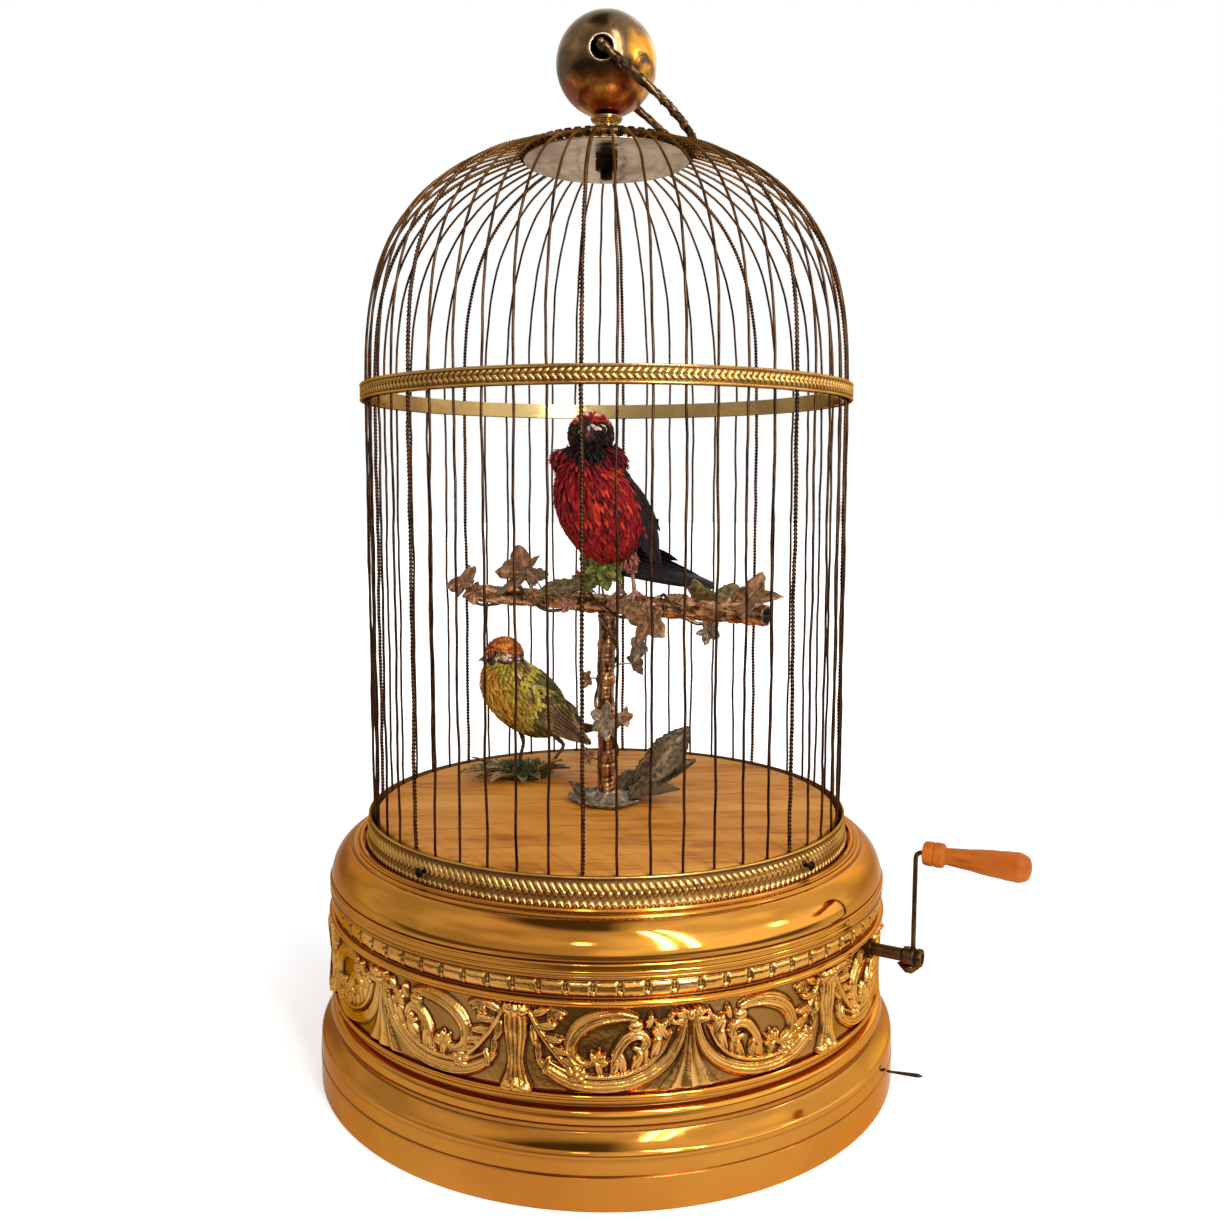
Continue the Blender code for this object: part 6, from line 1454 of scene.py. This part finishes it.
def plumed_tail(bird, root, tip, width, tints, lean=1.0, drop=0.10):
    """Quills fanned side by side from the rump, under a few short coverts. Lean rolls the fan towards the
    front by a share of 32 degrees, and drop lets its sides hang, as a share of its width."""
    root = np.array(root) * MM
    tip = bird.at(*tip)
    along = unit(tip - root)
    over = unit(np.cross(along, bird.left)) * -1
    over = over if over[2] > 0 else -over
    roll = math.radians(32) * lean
    over = unit(over * math.cos(roll) + np.cross(over, along) * math.sin(roll))
    side = np.cross(over, along)
    count, few = 16, 9
    share = np.linspace(-1, 1, count)
    start = root + side * (share * width * 0.22)[:, None] * MM
    start = start + over * (0.9 - (0.7 + width * drop) * np.abs(share))[:, None] * MM
    finish = tip + side * (share * width * 0.50)[:, None] * MM
    finish = finish - along * (6.0 * np.abs(share) ** 1.5)[:, None] * MM
    finish = finish - over * (width * 0.16 * share**2)[:, None] * MM
    reach = np.linalg.norm(finish - start, axis=1) / MM
    tones = [np.array(v) * (0.8 + 0.4 * hash_noise(np.arange(count), 4.0))[:, None] for v in tints]
    facing = unit(over + side * (share * drop * 3.0)[:, None])
    shape = dict(rows=9, columns=8, lift=0.0, bow=0.02, cup=0.12, point=0.30, thick=0.28)
    quills = blades(start, finish - start, facing, reach, np.full(count, width * 0.40), *tones, **shape)
    share = np.linspace(-1, 1, few)
    start = root + side * (share * width * 0.25)[:, None] * MM + over * 1.1 * MM
    ahead = along + side * (share * 0.10)[:, None]
    coverts = blades(
        start, ahead, np.broadcast_to(over, start.shape), np.full(few, reach.mean() * 0.45),
        np.full(few, width * 0.34), *(tone[:few] for tone in tones), rows=6, lift=0.02, cup=0.2,
    )
    parts = [skins(*quills), skins(*coverts)]
    piece(f"{bird.kind}_bird_tail", parts, GLOSSY_FEATHER, f"{bird.kind}_tail", f"{bird.kind}_tail")


def plumed_head(bird, colour, long, thick, horn, count):
    """Head: a round core under close-lying feathers, beady eyes and a ridged upper beak. The lower beak
    rides on its own hinge."""
    radius = bird.head_radius
    axes = np.array([bird.look, bird.look_left, UP])
    sizes = np.array([radius * 0.97, radius * 0.93, radius * 0.94])
    feathers = coat(
        bird.head, axes, sizes, count, -bird.look * 0.85 - UP * 0.55,
        lambda p: 2.6 + 2.2 * (1 - p[:, 0]) / 2 * 1.2, lambda p: 1.5 + 0.9 * (1 - p[:, 0]), colour, 5.0,
        keep=lambda p: p[:, 0] < 0.95, lift=0.06, spread=0.5, rows=4, inset=0.25,
    )
    parts = [egg(bird.head, axes, sizes, 20, 28, (0.03, 0.02, 0.015), 0.97), skins(*feathers)]
    piece(f"{bird.kind}_bird_head", parts, FEATHER, f"{bird.kind}_head", f"{bird.kind}_head")
    parts = []
    turn = (TURN * np.arange(18) / 18)[:, None]
    for sign in (1, -1):
        aim = unit(bird.look * 0.72 + bird.look_left * sign * 0.66 + UP * 0.22)
        centre = bird.head + aim * (radius * 0.90) * MM
        side = unit(np.cross(aim, UP))
        over = np.cross(side, aim)
        parts.append(egg(centre, (aim, side, over), (1.25, 1.5, 1.5), 12, 16, (0.006, 0.004, 0.004)))
        ring = centre + aim * 0.35 * MM + 1.55 * MM * (np.cos(turn) * side + np.sin(turn) * over)
        parts.append(one_tone(tube(ring, 0.30 * MM, aim, 6, closed=True), (0.10, 0.07, 0.05), ring=True))
    along = np.linspace(0, 1, 14)
    start = bird.head + bird.look * (radius * 0.86) * MM - UP * (radius * 0.10) * MM
    line = start + bird.look * (along * (long + 1.6))[:, None] * MM - UP * (1.5 * along**2)[:, None] * MM
    angle = TURN * np.arange(14)[None] / 14
    reach = thick * MM * ((1 - along) ** 0.75 * 0.96 + 0.05)[:, None] * (0.66 + 0.34 * np.sin(angle))
    reach = reach * (1 + 0.12 * np.exp(-((angle - math.pi / 2) / 0.3) ** 2))
    share = along[:, None, None]
    shade = np.array(horn) * (1 - share) + np.array([0.02, 0.015, 0.012]) * share
    shade = np.broadcast_to(shade, (14, 14, 3))
    parts.append(skins(tube(line, reach, UP, 14), shade))
    piece(f"{bird.kind}_bird_eyes_and_beak", parts, HORN, f"{bird.kind}_head")
    start = bird.jaw - UP * 0.35 * MM
    line = start + bird.look * (along * (long * 0.80))[:, None] * MM + UP * (0.5 * along**2)[:, None] * MM
    reach = thick * 0.60 * MM * ((1 - along) ** 0.8 * 0.95 + 0.05)[:, None] * (0.62 - 0.38 * np.sin(angle))
    lower = [skins(tube(line, reach, UP, 14), shade)]
    piece(f"{bird.kind}_bird_lower_beak", lower, HORN, f"{bird.kind}_jaw", f"{bird.kind}_beak")


def chequered(*bands):
    """A colour rule for coat: bands of (test, root tint, tip tint, spread of brightness), the last match
    counts. A test gets the place on the egg, each way from -1 to 1, and a chance number from 0 to 1."""

    def rule(place, chance, other):
        tint, tip = np.zeros((len(place), 3)), np.zeros((len(place), 3))
        for test, root_tint, tip_tint, vary in bands:
            here = test(*place.T, chance)[:, None]
            bright = (1 - vary / 2 + vary * other)[:, None]
            tint = np.where(here, np.array(root_tint) * bright, tint)
            tip = np.where(here, np.array(tip_tint) * bright, tip)
        return tint, tip

    return rule


def everywhere(x, y, z, c):
    """A test that every feather passes, for the first band."""
    return c > -1


def build_red_bird():
    """The upper bird: crimson with a black head, back and wings. Its toes grip the bar."""
    bird = Bird(
        "red", (10.696, -8.237, 232.6), -45, (-7.335, -26.268, 309.1), 11.2, (-0.10453, -0.99452),
        (-8.502, -37.371, 307.02), 0.0124,
    )
    axes = bird.pitched(60)
    centre = bird.at(20.1, 0, 42.9)
    breast = chequered(
        (everywhere, (0.090, 0.006, 0.007), (0.30, 0.013, 0.014), 0.7),
        (lambda x, y, z, c: c > 0.88, (0.20, 0.015, 0.01), (0.50, 0.035, 0.022), 0.6),
        (lambda x, y, z, c: c < 0.14, (0.03, 0.004, 0.007), (0.090, 0.008, 0.012), 0.6),
        (lambda x, y, z, c: x + 0.25 * c < -0.50, (0.02, 0.006, 0.004), (0.085, 0.014, 0.010), 0.8),
        # painted highlight: a brighter orange patch on the upper left of the breast
        (lambda x, y, z, c: (y > 0.55) & (x > 0.0) & (c > 0.6),
         (0.30, 0.02, 0.01), (0.56, 0.050, 0.022), 0.5),
        (lambda x, y, z, c: z > 0.38, (0.012, 0.010, 0.012), (0.030, 0.016, 0.016), 0.8),
    )
    parts = plumed_trunk(
        bird, centre, axes, (27.2, 19.0, 18.6), (0.05, 0.008, 0.008), 0.97, 1650,
        lambda p: 8.0 + 1.0 * (p[:, 0] < -0.3), 2.5, breast, 1.0,
    )
    collar = chequered(
        (everywhere, (0.008, 0.006, 0.007), (0.020, 0.012, 0.014), 0.8),
        (lambda x, y, z, c: (x + 0.3 * c < 0.18) & (z < 0.45),
         (0.07, 0.006, 0.007), (0.27, 0.014, 0.013), 0.8),
        (lambda x, y, z, c: y + z + 0.3 * c > 0.62, (0.040, 0.005, 0.006), (0.135, 0.010, 0.012), 0.8),
        (lambda x, y, z, c: y + z - 0.3 * c < -1.05, (0.060, 0.006, 0.006), (0.22, 0.014, 0.014), 0.8),
        (lambda x, y, z, c: (y < -0.55) & (c > 0.4) & (z < 0.45),
         (0.06, 0.006, 0.007), (0.22, 0.016, 0.015), 0.8),
    )
    parts += plumed_neck(
        bird, (0.0010, 0.0022, -0.0125), (10.0, 13.6, 13.6), (10.2, 14.0, 14.0), (0.02, 0.008, 0.008), 620,
        7.5, 2.3, collar, point=0.8,
    )
    tuft = np.array([-0.0205, -0.0235, 0.2975])
    tones = chequered(
        (everywhere, (0.050, 0.006, 0.007), (0.20, 0.022, 0.020), 0.9),
        (lambda x, y, z, c: c > 0.75, (0.10, 0.01, 0.01), (0.40, 0.06, 0.05), 0.6),
    )
    tuft_axes = np.array([unit([-0.8, -0.45, 0.1]), unit([0.45, -0.8, 0.0]), UP])
    points, paint = coat(
        tuft, tuft_axes, (4.6, 5.0, 5.6), 130, -UP * 0.6 - axes[0] * 0.5, 4.2, 2.2, tones, 4.0, lift=0.22,
        spread=0.9, rows=4,
    )
    parts.append(skins(clear_of(points, bird.head, bird.clear), paint))
    parts.append(egg(tuft, tuft_axes, (4.4, 4.8, 5.4), 10, 14, (0.06, 0.01, 0.01)))
    black = {
        "under": (0.012, 0.010, 0.013),
        "covert": chequered(
            (everywhere, (0.008, 0.006, 0.008), (0.020, 0.012, 0.015), 0.8),
            (lambda x, y, z, c: (z < -0.30) & (c > 0.25), (0.08, 0.006, 0.006), (0.27, 0.014, 0.013), 0.7),
            (lambda x, y, z, c: (x > 0.55) & (c > 0.30), (0.07, 0.006, 0.006), (0.24, 0.013, 0.013), 0.7),
        ),
        "row": ((0.008, 0.006, 0.009), (0.014, 0.009, 0.013), (0.036, 0.020, 0.022)),
        "quill": ((0.006, 0.005, 0.008), (0.011, 0.008, 0.012), (0.045, 0.028, 0.030)),
    }
    fluff = chequered((everywhere, (0.16, 0.030, 0.022), (0.46, 0.17, 0.11), 0.7))
    for sign in (1, -1):
        parts += plumed_wing(bird, (7.0, 12.5, 38.5), 57, (23.5, 3.5, 9.4), sign, black)
    for sign in (1, -1):
        parts.append(skins(*coat(
            bird.at(7.0, 5.5 * sign, 19.5), axes, (6.5, 4.0, 4.0), 110, -UP - bird.ahead * 0.3, 4.5, 1.3,
            fluff, 6.0, lift=0.2, spread=1.0, rows=4,
        )))
    pink = (0.40, 0.20, 0.15)
    grip = 0.0062
    for sign in (1, -1):
        foot = bird.at(0.5, 4.8 * sign, 0.0)
        foot[2] = BAR_HEIGHT * MM + grip
        knee = bird.at(2.5, 4.9 * sign, 12.0)
        leg = [bird.at(5.5, 4.8 * sign, 21.0), bird.at(4.0, 4.9 * sign, 17.0), knee, (knee + foot) / 2, foot]
        parts.append(shin(leg, (1.5, 1.25, 1.0, 1.0, 1.25), pink))
        middle = foot * np.array([1, 1, 0]) + UP * (BAR_HEIGHT * MM)
        middle = middle - BAR_BACK * np.dot(middle, BAR_BACK)
        toes = [(4, 96, 9, aside, (1.15, 0.95, 0.9, 0.8, 0.35), 22) for aside in (-0.45, 0.0, 0.45)]
        toes.append((-4, -80, 8, 0.0, (1.1, 0.9, 0.8, 0.35), 18))
        for first, last, count, aside, thick, rings in toes:
            sweep = np.radians(np.linspace(first, last, count))[:, None]
            wrap = -BAR_BACK * np.sin(sweep) * grip + UP * np.cos(sweep) * grip
            sideways = BAR_ALONG * (aside * np.linspace(0, 7, count))[:, None] * MM
            parts.append(shin(middle + wrap + sideways, thick, pink, rings))
    piece("red_bird_body", parts, FEATHER, "base", "red_body")
    tints = (0.007, 0.005, 0.008), (0.011, 0.008, 0.011), (0.026, 0.017, 0.021)
    plumed_tail(bird, (11.969, -6.964, 256.6), (-62.0, 0.0, 2.0), 16.0, tints, 0.0, 0.80)
    face = chequered(
        (everywhere, (0.006, 0.005, 0.006), (0.018, 0.013, 0.014), 0.8),
        (lambda x, y, z, c: (z > 0.52) & (x > -0.45), (0.12, 0.010, 0.008), (0.46, 0.030, 0.018), 0.8),
        # painted highlight: pale pink flecks on the front of the red crown
        (lambda x, y, z, c: (z > 0.52) & (x > -0.2) & (c > 0.72),
         (0.45, 0.20, 0.12), (0.80, 0.52, 0.36), 0.5),
        (lambda x, y, z, c: (np.abs(y) > 0.62) & (z < 0.1) & (c > 0.55),
         (0.05, 0.006, 0.006), (0.22, 0.018, 0.014), 0.7),
        (lambda x, y, z, c: (np.abs(z - 0.34) < 0.12) & (x > 0.72) & (c > 0.5),
         (0.4, 0.3, 0.25), (0.75, 0.6, 0.5), 0.5),
    )
    plumed_head(bird, face, 6.5, 2.7, (0.16, 0.035, 0.022), 620)


def build_yellow_bird():
    """The lower bird: yellow and olive with an orange cap and striped wings, on the mound."""
    bird = Bird(
        "yellow", (*MOUND_PLACE, 132.5), -75, (-55.659, 47.412, 195.0), 10.3, (-0.88295, -0.46947),
        (-64.746, 42.58, 193.24), 0.0114,
    )
    axes = bird.pitched(40)
    centre = np.array([-44.551, 50.388, 171.0]) * MM
    breast = chequered(
        (everywhere, (0.15, 0.110, 0.020), (0.40, 0.290, 0.050), 0.7),
        (lambda x, y, z, c: x - z * 0.6 + 0.3 * c > 0.62, (0.30, 0.13, 0.014), (0.60, 0.31, 0.040), 0.6),
        (lambda x, y, z, c: (c > 0.72) & (z < 0.3), (0.12, 0.09, 0.015), (0.42, 0.27, 0.045), 0.6),
        (lambda x, y, z, c: (c < 0.22) & (x < 0.4), (0.030, 0.030, 0.008), (0.100, 0.090, 0.020), 0.6),
        (lambda x, y, z, c: (x < -0.25) & (z < -0.2) & (c > 0.4),
         (0.05, 0.05, 0.010), (0.17, 0.14, 0.030), 0.6),
        (lambda x, y, z, c: z > 0.42, (0.05, 0.042, 0.012), (0.17, 0.145, 0.040), 0.8),
        (lambda x, y, z, c: (z > 0.25) & (x > 0.35) & (x < 0.8),
         (0.30, 0.22, 0.03), (0.66, 0.52, 0.075), 0.4),
    )
    parts = plumed_trunk(
        bird, centre, axes, (26.2, 14.8, 16.8), (0.10, 0.08, 0.02), 0.96, 1350, 7.0, 2.3, breast, 1.5
    )
    collar = chequered(
        (everywhere, (0.20, 0.13, 0.016), (0.50, 0.36, 0.055), 0.6),
        (lambda x, y, z, c: (z > 0.1) & (c > 0.4), (0.05, 0.03, 0.02), (0.20, 0.12, 0.06), 0.8),
        (lambda x, y, z, c: (z > -0.1) & (c > 0.86), (0.3, 0.22, 0.15), (0.65, 0.5, 0.36), 0.5),
        (lambda x, y, z, c: (z < -0.45) & (c > 0.35), (0.30, 0.11, 0.012), (0.62, 0.27, 0.035), 0.6),
    )
    parts += plumed_neck(
        bird, (0.0022, 0.0006, -0.0105), (9.0, 12.6, 12.6), (9.2, 13.0, 13.0), (0.14, 0.09, 0.03), 400,
        6.4, 2.8, collar,
    )
    striped = {
        "under": (0.06, 0.05, 0.02),
        "covert": chequered(
            (everywhere, (0.06, 0.045, 0.015), (0.19, 0.15, 0.055), 0.8),
            (lambda x, y, z, c: (x > 0.35) & (c > 0.3), (0.28, 0.22, 0.03), (0.62, 0.50, 0.075), 0.5),
            (lambda x, y, z, c: c < 0.25, (0.035, 0.022, 0.012), (0.11, 0.070, 0.035), 0.8),
            (lambda x, y, z, c: c > 0.94, (0.4, 0.35, 0.2), (0.75, 0.68, 0.5), 0.3),
        ),
        "row": ((0.040, 0.024, 0.012), (0.060, 0.036, 0.020), (0.80, 0.58, 0.20)),
        "quill": ((0.045, 0.024, 0.014), (0.020, 0.011, 0.020), (0.72, 0.46, 0.22)),
    }
    for sign in (1, -1):
        parts += plumed_wing(bird, (-13.0, 13.0, 33.0), 36, (24.0, 3.0, 9.5), sign, striped)
    # one leg colour painted two ways: the rear leg's rosy tone is painted light
    purple, rosy_painted_light = (0.062, 0.031, 0.037), (0.150, 0.075, 0.058)
    for aside, stand, bend, hip, tint in (
        (-4.2, (1.0, 1.6), (-1.5, 13.0), (1.5, 26.0), purple),
        (4.2, (-14.5, 0.4), (-22.0, 12.0), (-13.0, 23.0), rosy_painted_light),
    ):
        foot = bird.at(stand[0], aside, stand[1])
        knee = bird.at(bend[0], aside * 1.04, bend[1])
        upper = bird.at(hip[0], aside * 0.95, hip[1])
        leg = [upper, upper * 0.45 + knee * 0.55, knee, (knee + foot) / 2, foot]
        parts.append(shin(leg, (2.6, 1.5, 1.0, 0.9, 1.1), tint))
        for left, reach in ((-3.6, 7.0), (0.0, 8.5), (3.6, 7.0)):
            toe = [foot] + [
                bird.at(stand[0] + reach * share, aside + left * spread, stand[1] + rise)
                for share, spread, rise in ((0.45, 0.5, 0.4), (0.85, 1.0, -0.4), (1.0, 1.1, -1.4))
            ]
            parts.append(shin(toe, (1.0, 0.85, 0.75, 0.3), tint, 20))
        claw = [foot, bird.at(stand[0] - 3.5, aside * 0.95, stand[1] + 0.2),
                bird.at(stand[0] - 6.5, aside * 0.9, stand[1] - 0.7)]
        parts.append(shin(claw, (1.0, 0.8, 0.3), tint, 16))
    piece("yellow_bird_body", parts, FEATHER, "base", "yellow_body")
    tints = (0.13, 0.10, 0.035), (0.020, 0.016, 0.016), (0.10, 0.075, 0.030)
    plumed_tail(bird, (-25.233, 55.565, 157.0), (-45.0, 0.0, 19.5), 9.5, tints)
    face = chequered(
        (everywhere, (0.10, 0.055, 0.025), (0.26, 0.145, 0.060), 0.9),
        (lambda x, y, z, c: (z > 0.30) & (x > -0.55), (0.26, 0.045, 0.012), (0.58, 0.130, 0.030), 0.7),
        (lambda x, y, z, c: (z > 0.30) & (c > 0.75), (0.40, 0.12, 0.02), (0.72, 0.30, 0.07), 0.5),
        (lambda x, y, z, c: (np.abs(z + 0.05) < 0.34) & (c < 0.32),
         (0.03, 0.016, 0.012), (0.085, 0.045, 0.030), 0.7),
        (lambda x, y, z, c: (z < 0.30) & (c > 0.78), (0.4, 0.3, 0.22), (0.78, 0.64, 0.48), 0.5),
        (lambda x, y, z, c: (z < -0.35) & (x > 0.0), (0.32, 0.14, 0.02), (0.62, 0.32, 0.05), 0.6),
        (lambda x, y, z, c: (x < -0.35) & (z < 0.45), (0.035, 0.020, 0.014), (0.13, 0.075, 0.040), 0.9),
    )
    plumed_head(bird, face, 4.0, 2.2, (0.30, 0.20, 0.12), 560)


# Light and camera


def strip_light(name, place, aim, size, power, colour=(1.0, 1.0, 1.0), mirrored=True):
    """A flat lamp of size (across, tall) in metres that faces aim. It isn't seen by the camera."""
    data = bpy.data.lights.new(name, "AREA")
    data.shape = "RECTANGLE"
    data.size, data.size_y = size
    data.energy = power
    data.color = colour
    lamp = bpy.data.objects.new(name, data)
    lamp.location = place
    lamp.rotation_euler = (Vector(aim) - Vector(place)).to_track_quat("-Z", "Y").to_euler()
    lamp.visible_camera = False
    lamp.visible_glossy = mirrored
    bpy.context.scene.collection.objects.link(lamp)


def build_floor():
    """White paper that glows to the camera. Polished metal sees it dim and warm in front, pale elsewhere."""
    finish, shader = new_finish("white_floor", Roughness=0.9, Emission_Color=(1, 1, 1, 1))
    path = add(finish, "ShaderNodeLightPath").outputs
    place = add(finish, "ShaderNodeTexCoord").outputs["Object"]
    x, y, _ = add(finish, "ShaderNodeSeparateXYZ", {"Vector": place}).outputs
    away = add(finish, "ShaderNodeVectorMath", {0: place}, operation="LENGTH").outputs["Value"]
    seen = work_out(finish, "MAXIMUM", path["Is Camera Ray"], path["Is Transmission Ray"])
    glow = work_out(finish, "MULTIPLY", seen, span(finish, away, 0.20, 1.00, 0.42, 1.0))
    beside = span(finish, work_out(finish, "ABSOLUTE", x, 0.0), 0.09, 0.19, 0.0, 1.0)
    beside = work_out(finish, "MAXIMUM", beside, span(finish, y, -0.27, -0.19, 0.0, 1.0))
    close = span(finish, away, 0.32, 0.58, 1.0, 0.0)
    close = work_out(finish, "MAXIMUM", close, span(finish, y, -0.30, 0.0, 0.0, 1.0))
    pale = work_out(finish, "MULTIPLY", close, beside)
    mirrored = span(finish, x, -0.30, 0.25, 0.10, 0.36)
    mirrored = work_out(finish, "MULTIPLY", mirrored, pale, path["Is Glossy Ray"])
    paper = mix(finish, pale, (0.12, 0.09, 0.06, 1), (0.64, 0.61, 0.56, 1))
    paper = mix(finish, path["Is Glossy Ray"], (0.86, 0.86, 0.86, 1), paper)
    links = finish.node_tree.links
    links.new(paper, shader.inputs["Base Color"])
    links.new(work_out(finish, "MAXIMUM", glow, mirrored), shader.inputs["Emission Strength"])
    mesh = bpy.data.meshes.new("floor")
    mesh.from_pydata([(-9, -9, 0), (9, -9, 0), (9, 9, 0), (-9, 9, 0)], [], [(0, 1, 2, 3)])
    mesh.materials.append(finish)
    floor = bpy.data.objects.new("floor", mesh)
    bpy.context.scene.collection.objects.link(floor)


def build_surroundings():
    """White to the camera. Polished metal sees a pale room with soft patches, dimmer to the left and low
    down behind, and a dark ceiling and skirting."""
    world = bpy.data.worlds.new("pale_room")
    bpy.context.scene.world = world
    world.use_nodes = True
    background = world.node_tree.nodes["Background"]
    path = add(world, "ShaderNodeLightPath").outputs
    ray = add(world, "ShaderNodeTexCoord").outputs["Generated"]
    x, y, z = add(world, "ShaderNodeSeparateXYZ", {"Vector": ray}).outputs
    patches = add(world, "ShaderNodeTexNoise", {"Vector": ray, "Scale": 1.7, "Detail": 2.0}).outputs["Fac"]

    def both(first, first_span, second, second_span):
        return work_out(world, "MULTIPLY", span(world, first, *first_span), span(world, second, *second_span))

    level = both(x, (-0.55, 0.45, 0.52, 1.0), patches, (0.40, 0.62, 0.62, 1.05))
    behind = both(y, (0.1, 0.5, 0.0, 1.0), z, (0.15, 0.45, 1.0, 0.0))
    level = work_out(world, "MULTIPLY", level, span(world, behind, 0.0, 1.0, 1.0, 0.7))
    ceiling = both(z, (0.88, 0.95, 0.0, 1.0), x, (0.14, 0.0, 0.0, 1.0))
    skirting = both(z, (-0.02, 0.035, 1.0, 0.0), y, (0.2, -0.3, 0.0, 1.0))
    room = mix(world, level, (0.02, 0.014, 0.010, 1), (1.50, 1.40, 1.26, 1))
    room = mix(world, work_out(world, "MAXIMUM", ceiling, skirting), room, (0.09, 0.08, 0.06, 1))
    colour = mix(world, path["Is Glossy Ray"], (1, 1, 1, 1), room)
    rays = (path[f"Is {kind} Ray"] for kind in ("Camera", "Transmission", "Glossy"))
    world.node_tree.links.new(colour, background.inputs["Color"])
    world.node_tree.links.new(work_out(world, "MAXIMUM", *rays, 0.49), background.inputs["Strength"])


def build_lamps():
    """Two tall window panes, a soft bank that metal does not mirror, and two small warm glows."""
    strip_light("window_pane_left", (0.34, -0.86, 1.05), (0, 0, 1.05), (0.072, 1.60), 7.0)
    strip_light("window_pane_right", (0.48, -0.80, 1.05), (0, 0, 1.05), (0.060, 1.60), 5.6)
    strip_light("soft_bank", (-1.1, -1.0, 1.6), (0, 0, 0.2), (1.9, 1.3), 6.8, mirrored=False)
    strip_light("small_glow", (-0.25, -1.5, 0.95), (0, 0, 0.1), (0.16, 0.16), 1.6, (1.0, 0.9, 0.75))
    strip_light("side_glow", (1.4, -0.50, 0.75), (0, 0, 0.1), (0.16, 0.24), 1.5, (1.0, 0.88, 0.7))


def build_camera():
    """The view that was fitted to the photo."""
    data = bpy.data.cameras.new("camera")
    data.lens = 34.19
    data.sensor_width = 36.0
    data.shift_x = 0.0045
    camera = bpy.data.objects.new("camera", data)
    camera.location = (0.0, -0.57347, 0.28460)
    camera.rotation_euler = (math.radians(83.91), 0.0, 0.0)
    scene = bpy.context.scene
    scene.collection.objects.link(camera)
    scene.camera = camera
    scene.view_settings.view_transform = "Standard"


build_base()
build_rings()
build_stage()
build_cage()
build_crown()
build_ball()
build_crank()
build_bellows_leather()
build_bar_and_post()
build_dish()
build_vine()
build_leaves()
build_mound()
build_red_bird()
build_yellow_bird()
finish_plain_parts()
build_floor()
build_surroundings()
build_lamps()
build_camera()
